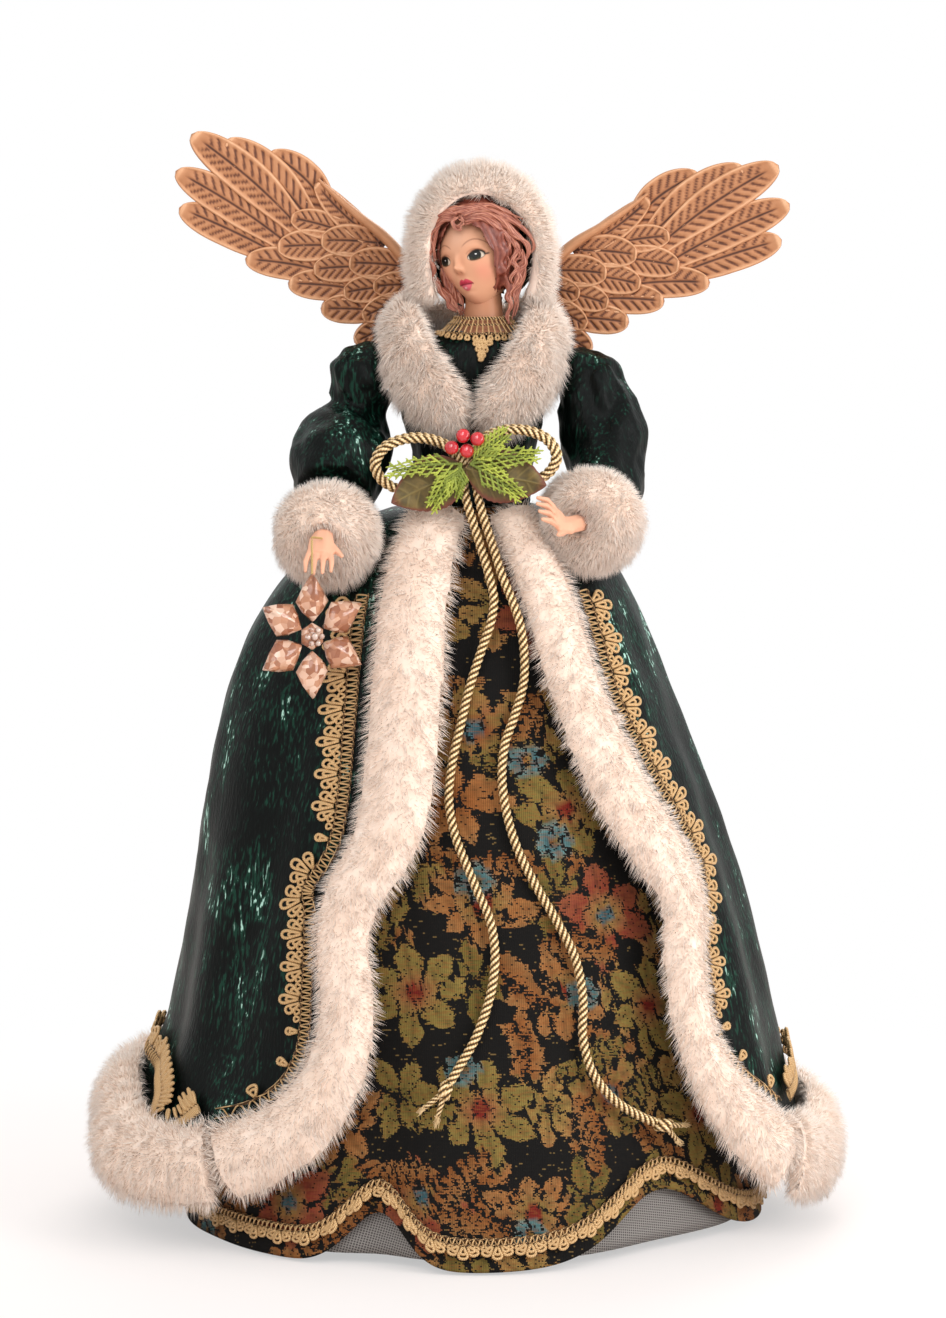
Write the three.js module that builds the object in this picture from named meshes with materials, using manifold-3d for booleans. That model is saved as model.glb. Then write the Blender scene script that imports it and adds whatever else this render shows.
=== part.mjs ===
// Angel tree topper in a hooded velvet coat with fur trim and moulded feather wings.
// Millimetres, +Z up. The angel faces -Y, and right and left are her own sides,
// so her right hand, which holds the snowflake, is at -X.

import * as THREE from 'three';
import { mergeVertices } from 'three/addons/utils/BufferGeometryUtils.js';
import Module from 'manifold-3d';

const wasm = await Module();
wasm.setup();

// Clearances and angles
const seatGap = 0.3;
const furSeatGap = 1.5;
const overrun = 2;
const mergeDistance = 1e-4;
const degree = Math.PI / 180;
const turn = 2 * Math.PI;

// Stiff cone that drops over the top shoot of the tree
const coneRimRadius = 82;
const coneWall = 1.6;

// Skirts: one surface that narrows from the hem to the waist
const waistHeight = 268;
const coneTopDrop = 6;
const coneHeight = waistHeight - coneTopDrop;
const waistRadius = 20.6;
const hemRadiusFront = 113;
const hemRadiusSide = 110;
const hemRadiusBack = 96;
const frontCurveShare = 0.6;
const sideCurveShare = 0.5;
const tapestryThickness = 1.2;
const tapestryHemHeight = 1;
const tapestryHemLift = 22;
const tapestryFoldDepth = 7;
const netThickness = 1;
const netHemHeight = 4;
const netTopDrop = 27;
const netTopSlack = 1.6;
const netSlack = 3;
const netSlackShare = 0.05;
const velvetThickness = 1.4;
const coatPuffFront = 2.5;
const coatPuffSide = 15.5;
const coatPuffShare = 0.06;
const coatFlareFront = 6;
const coatFlareRight = 22;
const coatFlareLeft = 4;
const coatFlareHeight = 80;
const coatLean = 10;
const coatLeanShare = 0.8;
const coatLeanSpread = 0.3;
const coatFoldDepth = 1.6;

// Trims on the coat and the tapestry
const frontFurWidth = 29;
const frontFurThickness = 10;
const hemFurWidth = 34;
const hemFurThickness = 12;
const furJointGap = 0.6;
const braidWidth = 14;
const braidThickness = 1.4;
const braidStandoff = 2.6;
const braidSeatGap = 0.8;
const hemSeatGap = 2.5;
const braidLoopPitch = 15;
const hemBraidWidth = 9;
const hemBraidRise = 7;

// Torso under the clothes
const torsoHeight = 68;
const torsoWaistRadius = 17;
const torsoChestHalfWidth = 22;
const torsoChestHalfDepth = 14;
const torsoTopRadius = 12;
const spigotLength = 8;
const bodiceCloth = 2.4;
const bodiceTopLift = 3;
const bodiceTopHeight = coneHeight + torsoHeight + bodiceTopLift;

// Head, neck and hair
const neckX = 4;
const neckRadius = 7;
const neckPlateRadius = 11;
const neckPlateThickness = 2.4;
const headX = 2.5;
const headY = -1;
const headRise = 30;
const headHeight = bodiceTopHeight + headRise;
const headHalfWidth = 13.6;
const headHalfDepth = 15.6;
const headHalfHeight = 18.6;
const headTurn = -27 * degree;
const headLean = -5 * degree;
const noseLength = 2.6;
const chinForward = 1.6;
const eyeSocketDepth = 1.1;
const hairThickness = 2.6;
const curlRadius = 2.4;
const neckBraidRadius = 11.8;
const neckBraidWidth = 6.4;
const neckBraidThickness = 1.3;

// Hood
const hoodX = 2.4;
const hoodHalfWidth = 21.5;
const hoodRise = 20.5;
const hoodBandHalfWidth = 9.8;
const hoodBandHalfDepth = 8.6;
const hoodBandY = -4;
const hoodLift = 3;
const hoodCentreHeight = headHeight + hoodLift;
const hoodCrownDepth = 27;
const hoodCrownHalfWidth = 24.5;
const hoodCrownHalfHeight = 26;

// Fur collar
const collarHalfWidth = 13.5;
const collarHalfThickness = 6.5;
const collarSpread = 31;
const collarTopDrop = 1;
const collarTopHeight = bodiceTopHeight - collarTopDrop;
const collarFrontRise = 32;
const collarFrontHeight = waistHeight + collarFrontRise;
const collarFrontDepth = 27;
const collarBackDepth = 22;

// Arms
const armPivotX = 33;
const armPivotY = 2;
const armPivotDrop = 16;
const armPivotHeight = bodiceTopHeight - armPivotDrop;
const wireRadius = 1.2;
const sleeveTopRadius = 12;
const sleeveFullRadius = 17.5;
const armSwing = 15 * degree;
const shoulderWireGap = 6 * seatGap;
const cuffRadius = 20.5;
const wristRadius = 3.6;
const fingerRadius = 1.35;
const fingerLength = 10.5;
const palmHalfWidth = 5.2;
const palmHalfDepth = 2.6;

// Wings
const wingSpan = 92;
const wingRise = 82;
const wingRootX = 16;
const wingRootY = 33;
const wingRootDrop = 7;
const wingRootHeight = bodiceTopHeight - wingRootDrop;
const wingBack = 8 * degree;
const leftWingDrop = 7 * degree;
const featherThickness = 1.6;
const featherWidth = 15;
const quillHeight = 1.1;
const featherTilt = 7 * degree;
const wingArmRadius = 3.4;
const bracketThickness = 3;
const bracketHalfWidth = 26;
const bracketHeight = 16;

// Bow of twisted cord, and the holly bunch on it
const cordDiameter = 3.4;
const bowX = -2.6;
const bowY = -43;
const bowRise = 18;
const bowHeight = waistHeight + bowRise;
const knotRadius = 4.2;
const loopSpread = 32;
const loopRise = 10.5;
const loopTurnGap = 2;
const berryRadius = 2.6;
const berryStemRadius = 0.5;
const bowWireRadius = 0.8;
const leafLength = 30;
const leafWidth = 19;
const leafThickness = 0.8;
const sprigLength = 24;
const sprigStemRadius = 0.7;
const sprigLeafLength = 4.2;
const sprigLeafRadius = 0.75;
const tailKnotRadius = 3.2;
const tailEndLength = 11;

// Snowflake on its thread
const flakeX = -58;
const flakeY = -70.1;
const flakeTurn = 28 * degree;
const flakeHubRadius = 5;
const flakeHubThickness = 3.6;
const petalLength = 17.5;
const petalHalfWidth = 6.6;
const petalHalfThickness = 3.4;
const petalShoulderShare = 0.42;
const threadRadius = 0.5;
const threadHangDrop = 57;
const threadHangHeight = armPivotHeight - threadHangDrop;
const threadDrop = 35;
const flakeCentreHeight = threadHangHeight - threadDrop;
const threadReachX = 3.3;
const threadReachY = 8.6;
const threadReachDrop = 0.9;

// Colours seen in daylight, with how each surface shines
const finishes = {
  tapestry: { color: 0x4a3d22, roughness: 0.9, metalness: 0 },
  velvet: { color: 0x0f3b31, roughness: 0.7, metalness: 0 },
  fur: { color: 0xefe0d0, roughness: 1, metalness: 0 },
  braid: { color: 0xc59a5a, roughness: 0.5, metalness: 0.4 },
  cord: { color: 0xb98f3e, roughness: 0.4, metalness: 0.6 },
  skin: { color: 0xf2c9a8, roughness: 0.45, metalness: 0 },
  hair: { color: 0x7f3f2c, roughness: 0.5, metalness: 0 },
  wing: { color: 0xb07f55, roughness: 0.4, metalness: 0.6 },
  net: { color: 0x9a968f, roughness: 0.9, metalness: 0 },
  card: { color: 0xd8d2c4, roughness: 0.9, metalness: 0 },
  foam: { color: 0xe8e6e0, roughness: 0.9, metalness: 0 },
  wire: { color: 0x8f9296, roughness: 0.4, metalness: 0.9 },
  berry: { color: 0xb3121b, roughness: 0.15, metalness: 0 },
  leaf: { color: 0x6b6a35, roughness: 0.7, metalness: 0 },
  sprig: { color: 0x9fb04a, roughness: 0.6, metalness: 0 },
  acrylic: { color: 0xd9a37f, roughness: 0.05, metalness: 0 },
};

const angel = new THREE.Group();

// Places and interpolation
function clamp(value, low, high) {
  return Math.min(Math.max(value, low), high);
}

function smoothStep(start, end, value) {
  const share = clamp((value - start) / (end - start), 0, 1);
  return share * share * (3 - 2 * share);
}

function bump(value, centre, spread) {
  const away = (value - centre) / spread;
  return Math.exp(-away * away);
}

function alongList(list, share) {
  const place = clamp(share, 0, 1) * (list.length - 1);
  const index = Math.min(Math.floor(place), list.length - 2);
  return THREE.MathUtils.lerp(list[index], list[index + 1], place - index);
}

function mirrored(points) {
  return points.map((point) => new THREE.Vector3(-point.x, point.y, point.z));
}

// Closed skins: equal loops of points joined one after the other.
// A loop is folded flat at its ends, so its cap is a strip between opposite points.
function skin(loops, isRing = false) {
  const count = loops[0].length;
  const positions = [];
  loops.forEach((loop) => loop.forEach((point) => positions.push(point.x, point.y, point.z)));
  const indices = [];
  const lastLoop = isRing ? loops.length : loops.length - 1;
  for (let row = 0; row < lastLoop; row += 1) {
    const here = row * count;
    const next = ((row + 1) % loops.length) * count;
    for (let k = 0; k < count; k += 1) {
      const after = (k + 1) % count;
      indices.push(here + k, here + after, next + after);
      indices.push(here + k, next + after, next + k);
    }
  }
  if (!isRing) {
    const end = (loops.length - 1) * count;
    for (let k = 0; k < count / 2 - 1; k += 1) {
      const far = count - 1 - k;
      indices.push(k, far, far - 1, k, far - 1, k + 1);
      indices.push(end + k, end + far - 1, end + far, end + k, end + k + 1, end + far - 1);
    }
  }
  const geometry = new THREE.BufferGeometry();
  geometry.setAttribute('position', new THREE.Float32BufferAttribute(positions, 3));
  geometry.setIndex(indices);
  return facingOut(geometry);
}

function facingOut(geometry) {
  const position = geometry.attributes.position;
  const index = geometry.index.array;
  const a = new THREE.Vector3();
  const b = new THREE.Vector3();
  const c = new THREE.Vector3();
  let volume = 0;
  for (let k = 0; k < index.length; k += 3) {
    a.fromBufferAttribute(position, index[k]);
    b.fromBufferAttribute(position, index[k + 1]);
    c.fromBufferAttribute(position, index[k + 2]);
    volume += a.dot(b.cross(c));
  }
  if (volume < 0) {
    geometry.setIndex(Array.from(index).reverse());
  }
  return geometry;
}

// Soft and tapered forms along a curve: facing gives the side that halfDepth is measured to
function loft({ route, facing, halfWidths, halfDepths, steps, sides, isRing = false }) {
  const curve = new THREE.CatmullRomCurve3(route, isRing, 'centripetal');
  const loops = [];
  const rows = isRing ? steps : steps + 1;
  for (let row = 0; row < rows; row += 1) {
    const share = row / steps;
    const centre = curve.getPoint(share);
    const ahead = curve.getTangent(share);
    const outward = typeof facing === 'function' ? facing(centre, share) : facing.clone();
    outward.addScaledVector(ahead, -outward.dot(ahead)).normalize();
    const across = ahead.clone().cross(outward);
    const halfWidth = alongList(halfWidths, share);
    const halfDepth = alongList(halfDepths, share);
    const loop = [];
    for (let k = 0; k < sides; k += 1) {
      const angle = turn * (k + 0.5) / sides;
      const point = centre.clone();
      point.addScaledVector(across, halfWidth * Math.cos(angle));
      point.addScaledVector(outward, halfDepth * Math.sin(angle));
      loop.push(point);
    }
    loops.push(loop);
  }
  return skin(loops, isRing);
}

function tube(points, radius, sides, steps) {
  const section = new THREE.Shape();
  for (let k = 0; k < sides; k += 1) {
    const angle = turn * k / sides;
    const x = radius * Math.cos(angle);
    const y = radius * Math.sin(angle);
    if (k === 0) {
      section.moveTo(x, y);
    } else {
      section.lineTo(x, y);
    }
  }
  const extrudePath = new THREE.CatmullRomCurve3(points, false, 'centripetal');
  return new THREE.ExtrudeGeometry(section, { steps, extrudePath, bevelEnabled: false });
}

// Joins and cuts
function toSolid(geometry) {
  let bare = geometry.clone();
  bare.deleteAttribute('normal');
  bare.deleteAttribute('uv');
  bare = mergeVertices(bare, mergeDistance);
  const vertProperties = new Float32Array(bare.attributes.position.array);
  const triVerts = new Uint32Array(bare.index.array);
  return new wasm.Manifold(new wasm.Mesh({ numProp: 3, vertProperties, triVerts }));
}

function toGeometry(solid) {
  const bodies = solid.decompose();
  bodies.sort((first, second) => second.volume() - first.volume());
  const mesh = bodies[0].getMesh();
  const geometry = new THREE.BufferGeometry();
  geometry.setAttribute('position', new THREE.Float32BufferAttribute(mesh.vertProperties, 3));
  geometry.setIndex(Array.from(mesh.triVerts));
  return geometry;
}

function joined(geometries) {
  return toGeometry(geometries.map(toSolid).reduce((whole, next) => whole.add(next)));
}

function grown(geometry, gap = seatGap) {
  let bare = geometry.clone();
  bare.deleteAttribute('normal');
  bare.deleteAttribute('uv');
  bare = mergeVertices(bare, mergeDistance);
  bare.computeVertexNormals();
  const position = bare.attributes.position;
  const normal = bare.attributes.normal;
  for (let k = 0; k < position.count; k += 1) {
    position.setXYZ(
      k,
      position.getX(k) + gap * normal.getX(k),
      position.getY(k) + gap * normal.getY(k),
      position.getZ(k) + gap * normal.getZ(k),
    );
  }
  return bare;
}

function clearOf(geometry, neighbours, gap = seatGap) {
  const cut = (solid, neighbour) => solid.subtract(toSolid(grown(neighbour, gap)));
  return toGeometry(neighbours.reduce(cut, toSolid(geometry)));
}

function placed(geometry, place, rotation = new THREE.Euler()) {
  const matrix = new THREE.Matrix4().makeRotationFromEuler(rotation);
  matrix.setPosition(place);
  return geometry.clone().applyMatrix4(matrix);
}

function addPart(name, geometry, finish) {
  const mesh = new THREE.Mesh(geometry, new THREE.MeshStandardMaterial(finishes[finish]));
  mesh.name = name;
  angel.add(mesh);
  return geometry;
}

// Skirt surfaces. Angle 0 is the front, and positive angles turn to her left.
function skirtRadius(angle, height) {
  const rise = clamp(height / waistHeight, 0, 1);
  const front = Math.max(Math.cos(angle), 0) ** 2;
  const back = Math.max(-Math.cos(angle), 0) ** 2;
  const side = Math.sin(angle) ** 2;
  const hem = hemRadiusFront * front + hemRadiusSide * side + hemRadiusBack * back;
  const power = frontCurveShare * front + sideCurveShare * (side + back);
  return waistRadius + (hem - waistRadius) * (1 - rise) ** power;
}

// Where the tapestry folds in, its hem rides up: once right of the middle, once on her left
const foldAngles = [-19 * degree, 42 * degree];
const foldSpreads = [8 * degree, 17 * degree];
const foldHeightShares = [0.85, 1];

function foldAt(angle) {
  const wrapped = Math.atan2(Math.sin(angle), Math.cos(angle));
  const amount = (k) => foldHeightShares[k] * bump(wrapped, foldAngles[k], foldSpreads[k]);
  return amount(0) + amount(1);
}

function tapestryRadius(angle, height) {
  const slack = clamp(1 - height / waistHeight, 0, 1) ** 2;
  return skirtRadius(angle, height) - tapestryFoldDepth * foldAt(angle) * slack;
}

function tapestryHem(angle) {
  return tapestryHemHeight + tapestryHemLift * foldAt(angle);
}

const coatGap = velvetThickness + seatGap;
const coatSideStart = 20 * degree;
const coatSideEnd = 80 * degree;
const coatFoldStart = 62 * degree;
const coatFoldEnd = 80 * degree;
const coatFoldCount = 8;

function coatRadius(angle, height) {
  const wrapped = Math.abs(Math.atan2(Math.sin(angle), Math.cos(angle)));
  const side = smoothStep(coatSideStart, coatSideEnd, wrapped);
  const drop = clamp(1 - height / waistHeight, 0, 1);
  const puffSize = THREE.MathUtils.lerp(coatPuffFront, coatPuffSide, side);
  const puff = puffSize * (1 - Math.exp(-drop / coatPuffShare));
  const sideFlare = THREE.MathUtils.lerp(coatFlareRight, coatFlareLeft, (1 + Math.sin(angle)) / 2);
  const flareSize = THREE.MathUtils.lerp(coatFlareFront, sideFlare, side);
  const flare = flareSize * smoothStep(0, 1, (coatFlareHeight - height) / coatFlareHeight);
  const folding = smoothStep(coatFoldStart, coatFoldEnd, wrapped) * smoothStep(0, 1, drop);
  const fold = coatFoldDepth * Math.cos(coatFoldCount * wrapped) * folding;
  const leaning = bump(1 - drop, coatLeanShare, coatLeanSpread) * puff / puffSize;
  const lean = coatLean * leaning * side * Math.sin(angle);
  return skirtRadius(angle, height) + coatGap + puff + flare + fold - lean;
}

function ringPoint(angle, radius, height) {
  return new THREE.Vector3(radius * Math.sin(angle), -radius * Math.cos(angle), height);
}

// A point that stands lift off a skirt surface, square to its slope
function onSurface(radiusAt, angle, height, lift) {
  const step = waistHeight / 500;
  const low = Math.min(height, waistHeight - 2 * step);
  const slope = (radiusAt(angle, low + step) - radiusAt(angle, low - step)) / (2 * step);
  const length = Math.hypot(1, slope);
  const radius = radiusAt(angle, height) + lift / length;
  return ringPoint(angle, radius, height - lift * slope / length);
}

// Front edges and hem of the coat: angle in degrees against height as a share of the waist height
const rightEdgeShares = [
  [-23, 0.985], [-22.4, 0.883], [-20.3, 0.754], [-19.9, 0.623], [-21.8, 0.556],
  [-28.2, 0.489], [-29.2, 0.423], [-26.8, 0.358], [-26.5, 0.295], [-29.4, 0.224],
  [-36, 0.165], [-46, 0.123],
];
const leftEdgeShares = [
  [25.1, 0.985], [28.7, 0.883], [32.4, 0.75], [40.1, 0.616], [46.1, 0.549],
  [50.9, 0.478], [48.2, 0.414], [47, 0.347], [47.5, 0.28], [51.5, 0.21],
  [56, 0.16], [63, 0.115],
];
const hemEdgeShares = [
  [-46, 0.123], [-59, 0.11], [-73, 0.127], [-90, 0.165], [-130, 0.17], [-180, 0.155],
  [-230, 0.14], [-265, 0.12], [-284, 0.098], [-297, 0.115],
];

function edgeAngle(shares, heightShare) {
  const upper = shares.findIndex((row, k) => k > 0 && row[1] <= heightShare);
  const index = upper < 0 ? shares.length - 1 : upper;
  const [startAngle, startShare] = shares[index - 1];
  const [endAngle, endShare] = shares[index];
  const share = clamp((startShare - heightShare) / (startShare - endShare), 0, 1);
  return THREE.MathUtils.lerp(startAngle, endAngle, share) * degree;
}

function hemHeight(angle) {
  const turned = angle / degree;
  const index = clamp(hemEdgeShares.findIndex((row) => row[0] <= turned), 1, hemEdgeShares.length - 1);
  const [startAngle, startShare] = hemEdgeShares[index - 1];
  const [endAngle, endShare] = hemEdgeShares[index];
  const share = smoothStep(0, 1, (turned - startAngle) / (endAngle - startAngle));
  return waistHeight * THREE.MathUtils.lerp(startShare, endShare, share);
}

// Sheets: at each angle a thin loop runs down the outside and up the inside
function sheetLoop(radiusAt, angleAt, bottom, thickness, rows, top = waistHeight) {
  const outside = [];
  const inside = [];
  for (let row = 0; row <= rows; row += 1) {
    const share = (1 - Math.cos(Math.PI * row / rows)) / 2;
    const height = THREE.MathUtils.lerp(top, bottom, share);
    const angle = angleAt(height);
    const radius = radiusAt(angle, height);
    outside.push(ringPoint(angle, radius, height));
    inside.unshift(ringPoint(angle, radius - thickness, height));
  }
  return outside.concat(inside);
}

function fullSkirt(radiusAt, hemAt, thickness, columns, rows, top = waistHeight) {
  const loops = [];
  for (let column = 0; column < columns; column += 1) {
    const angle = turn * column / columns;
    loops.push(sheetLoop(radiusAt, () => angle, hemAt(angle), thickness, rows, top));
  }
  return skin(loops, true);
}

function coatSheet(columns, rows) {
  const loops = [];
  const startAngle = rightEdgeShares.at(-1)[0] * degree;
  const endAngle = (leftEdgeShares.at(-1)[0] - 360) * degree;
  for (let column = 0; column <= columns; column += 1) {
    const share = column / columns;
    const bottom = hemHeight(THREE.MathUtils.lerp(startAngle, endAngle, share));
    const angleAt = (height) => {
      const right = edgeAngle(rightEdgeShares, height / waistHeight);
      const left = edgeAngle(leftEdgeShares, height / waistHeight) - turn;
      return THREE.MathUtils.lerp(right, left, share);
    };
    loops.push(sheetLoop(coatRadius, angleAt, bottom, velvetThickness, rows));
  }
  return skin(loops);
}

// Trims that follow a surface. The route is a list of angles and heights.
function surfaceStrip({ radiusAt, route, widthAt, sectionAt, steps, isRing = false }) {
  const points = route.map(([angle, height]) => new THREE.Vector3(angle, height, 0));
  const curve = new THREE.CatmullRomCurve3(points, false, 'centripetal');
  const loops = [];
  const rows = isRing ? steps : steps + 1;
  for (let row = 0; row < rows; row += 1) {
    const share = row / steps;
    const step = 1 / (8 * steps);
    const here = curve.getPoint(share);
    const before = curve.getPoint(Math.max(share - step, 0));
    const after = curve.getPoint(Math.min(share + step, 1));
    const centre = onSurface(radiusAt, here.x, here.y, 0);
    const ahead = onSurface(radiusAt, after.x, after.y, 0);
    ahead.sub(onSurface(radiusAt, before.x, before.y, 0)).normalize();
    const outward = onSurface(radiusAt, here.x, here.y, waistRadius).sub(centre).normalize();
    const across = ahead.clone().cross(outward).normalize();
    const halfWidth = widthAt(share) / 2;
    loops.push(sectionAt(share).map(([side, lift]) => {
      const point = centre.clone().addScaledVector(across, side * halfWidth);
      const height = Math.min(point.z, waistHeight);
      return onSurface(radiusAt, Math.atan2(point.x, -point.y), height, lift);
    }));
  }
  return skin(loops, isRing);
}

// Cross sections of a trim: share of the half width, and height above the surface
const padSideShares = [-0.97, -0.6, 0, 0.6, 0.97];

function padSection(thickness, seat = furSeatGap) {
  const crown = (side) => seat + thickness * Math.sqrt(1.08 - side * side);
  const top = padSideShares.map((side) => [side, crown(side)]);
  const bottom = padSideShares.map((side) => [side, seat]).reverse();
  return top.concat(bottom);
}

function bandSection(outerShare, low, loopSide) {
  const high = low + braidThickness;
  const band = [[-1, low], [-1, high], [outerShare, high], [outerShare, low]];
  return loopSide > 0 ? band : band.map(([side, lift]) => [-side, lift]).reverse();
}

// Pieces of the skirts
function buildCone() {
  const topOuter = waistRadius - tapestryThickness - seatGap;
  const profile = [
    new THREE.Vector2(coneRimRadius - coneWall, 0),
    new THREE.Vector2(coneRimRadius, 0),
    new THREE.Vector2(topOuter, coneHeight),
    new THREE.Vector2(topOuter - coneWall, coneHeight),
    new THREE.Vector2(coneRimRadius - coneWall, 0),
  ];
  const cone = new THREE.LatheGeometry(profile, 26);
  cone.rotateX(90 * degree);
  addPart('base_cone', cone, 'card');
}

function buildSkirts() {
  const netTop = waistHeight - netTopDrop;
  const netRadius = (angle, height) => {
    const fallen = smoothStep(0, netSlackShare, (netTop - height) / waistHeight);
    const slack = THREE.MathUtils.lerp(netTopSlack, netSlack, fallen);
    return tapestryRadius(angle, height) - tapestryThickness - seatGap - slack;
  };
  const tapestry = fullSkirt(tapestryRadius, tapestryHem, tapestryThickness, 34, 6);
  const net = fullSkirt(netRadius, () => netHemHeight, netThickness, 20, 4, netTop);
  addPart('petticoat_net', net, 'net');
  addPart('tapestry_skirt', tapestry, 'tapestry');
  return addPart('coat_skirt', coatSheet(30, 7), 'velvet');
}

function edgeRoute(shares) {
  return shares.map(([angle, share]) => [angle * degree, share * waistHeight]);
}

const edgeSteps = 18;
const rightFurWidthShares = [0.9, 0.95, 1.03, 1.05, 1, 0.88, 0.82, 0.82, 0.88, 1, 1.12, 1.17];
const leftFurWidthShares = [0.76, 0.76, 0.8, 0.95, 0.98, 0.8, 0.68, 0.66, 0.7, 0.9, 1.1, 1.17];

function rightFurWidth(share) {
  return alongList(rightFurWidthShares, share) * frontFurWidth;
}

function leftFurWidth(share) {
  return alongList(leftFurWidthShares, share) * frontFurWidth;
}

function buildFrontFur() {
  const thickness = (share) => THREE.MathUtils.lerp(frontFurThickness, hemFurThickness, share ** 4);
  const right = surfaceStrip({
    radiusAt: coatRadius,
    route: edgeRoute(rightEdgeShares),
    widthAt: rightFurWidth,
    sectionAt: (share) => padSection(thickness(share)),
    steps: edgeSteps,
  });
  addPart('fur_front_right', right, 'fur');
  const left = surfaceStrip({
    radiusAt: coatRadius,
    route: edgeRoute(leftEdgeShares),
    widthAt: leftFurWidth,
    sectionAt: (share) => padSection(thickness(share)),
    steps: edgeSteps,
  });
  addPart('fur_front_left', left, 'fur');
  return [right, left];
}

function buildHemFur(neighbours) {
  const hem = surfaceStrip({
    radiusAt: coatRadius,
    route: edgeRoute(hemEdgeShares),
    widthAt: () => hemFurWidth,
    sectionAt: () => padSection(hemFurThickness, hemSeatGap),
    steps: 25,
  });
  return addPart('fur_hem', clearOf(hem, neighbours, furJointGap), 'fur');
}

// A trim's route moved sideways by a distance that changes along it
function besideRoute(route, distanceAt) {
  const points = route.map(([angle, height]) => new THREE.Vector3(angle, height, 0));
  const curve = new THREE.CatmullRomCurve3(points, false, 'centripetal');
  const count = route.length - 1;
  return route.map((row, k) => {
    const share = k / count;
    const before = curve.getPoint(Math.max(share - 1 / (4 * count), 0));
    const after = curve.getPoint(Math.min(share + 1 / (4 * count), 1));
    const centre = onSurface(coatRadius, row[0], row[1], 0);
    const ahead = onSurface(coatRadius, after.x, after.y, 0);
    ahead.sub(onSurface(coatRadius, before.x, before.y, 0)).normalize();
    const outward = onSurface(coatRadius, row[0], row[1], waistRadius).sub(centre).normalize();
    const across = ahead.cross(outward).normalize();
    const point = centre.addScaledVector(across, distanceAt(share));
    const turned = Math.atan2(point.x, -point.y);
    const wraps = Math.round((row[0] - turned) / turn);
    return [turned + wraps * turn, Math.min(point.z, row[1] + waistHeight)];
  });
}

function braidStrip(route, length, seat, pitch, loopSide = 1) {
  const loopCount = Math.round(length / pitch);
  const outer = (share) => 0.3 + 0.7 * Math.abs(Math.sin(Math.PI * share * loopCount));
  return surfaceStrip({
    radiusAt: coatRadius,
    route,
    widthAt: () => braidWidth,
    sectionAt: (share) => bandSection(outer(share), seat, loopSide),
    steps: 2 * loopCount,
  });
}

function routeLength(route) {
  const points = route.map(([angle, height]) => onSurface(coatRadius, angle, height, 0));
  return new THREE.CatmullRomCurve3(points, false, 'centripetal').getLength();
}

function buildBraids(furHem) {
  const beside = (widthAt) => (share) => (widthAt(share) + braidWidth) / 2 + braidStandoff;
  const rightRoute = besideRoute(edgeRoute(rightEdgeShares), beside(rightFurWidth));
  const leftRoute = besideRoute(edgeRoute(leftEdgeShares), (share) => -beside(leftFurWidth)(share));
  const hemRoute = besideRoute(edgeRoute(hemEdgeShares), beside(() => hemFurWidth));
  const right = braidStrip(rightRoute.slice(1), routeLength(rightRoute), braidSeatGap, braidLoopPitch);
  addPart('braid_front_right', right, 'braid');
  const left = braidStrip(leftRoute.slice(1), routeLength(leftRoute), braidSeatGap, braidLoopPitch, -1);
  addPart('braid_front_left', left, 'braid');
  const hem = braidStrip(hemRoute.slice(1, -1), routeLength(hemRoute), hemSeatGap, 2 * braidLoopPitch);
  addPart('braid_hem', clearOf(hem, [right, left, furHem]), 'braid');
}

function buildTapestryHemBraid() {
  const loopCount = Math.round(turn * hemRadiusSide / (2 * braidLoopPitch));
  const loops = [];
  const steps = 2 * loopCount;
  for (let step = 0; step < steps; step += 1) {
    const angle = turn * step / steps;
    const top = tapestryHem(angle) + hemBraidRise + hemBraidWidth / 2;
    const bottom = top - hemBraidWidth * (step % 2 === 0 ? 1 : 0.7);
    const low = onSurface(tapestryRadius, angle, bottom, furSeatGap);
    const lowOut = onSurface(tapestryRadius, angle, bottom, furSeatGap + braidThickness);
    const highOut = onSurface(tapestryRadius, angle, top, furSeatGap + braidThickness);
    const high = onSurface(tapestryRadius, angle, top, furSeatGap);
    loops.push([low, lowOut, highOut, high]);
  }
  addPart('tapestry_hem_braid', skin(loops, true), 'braid');
}

// Upright forms: level oval sections, each given as x, height, half width and half depth
function upright(sections, steps, sides) {
  const sizes = sections.map(([x, , halfWidth, halfDepth]) => new THREE.Vector3(x, halfWidth, halfDepth));
  const curve = new THREE.CatmullRomCurve3(sizes, false, 'catmullrom', 0.3);
  const heights = sections.map((section) => section[1]);
  const loops = [];
  for (let step = 0; step <= steps; step += 1) {
    const share = step / steps;
    const size = curve.getPoint(share);
    const height = alongList(heights, share);
    const loop = [];
    for (let k = 0; k < sides; k += 1) {
      const angle = turn * (k + 0.5) / sides;
      loop.push(new THREE.Vector3(size.x + size.y * Math.cos(angle), size.z * Math.sin(angle), height));
    }
    loops.push(loop);
  }
  return skin(loops);
}

function buildTrunk() {
  const foot = coneHeight + seatGap;
  const width = torsoChestHalfWidth;
  const depth = torsoChestHalfDepth;
  return upright([
    [0, foot, torsoWaistRadius, torsoWaistRadius],
    [0, foot + 0.3 * torsoHeight, 0.76 * width, 1.02 * depth],
    [0, foot + 0.6 * torsoHeight, 0.92 * width, depth],
    [0.3 * neckX, foot + 0.85 * torsoHeight, width, 0.94 * depth],
    [neckX, foot + torsoHeight, torsoTopRadius, 0.9 * torsoTopRadius],
  ], 6, 14);
}

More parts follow.
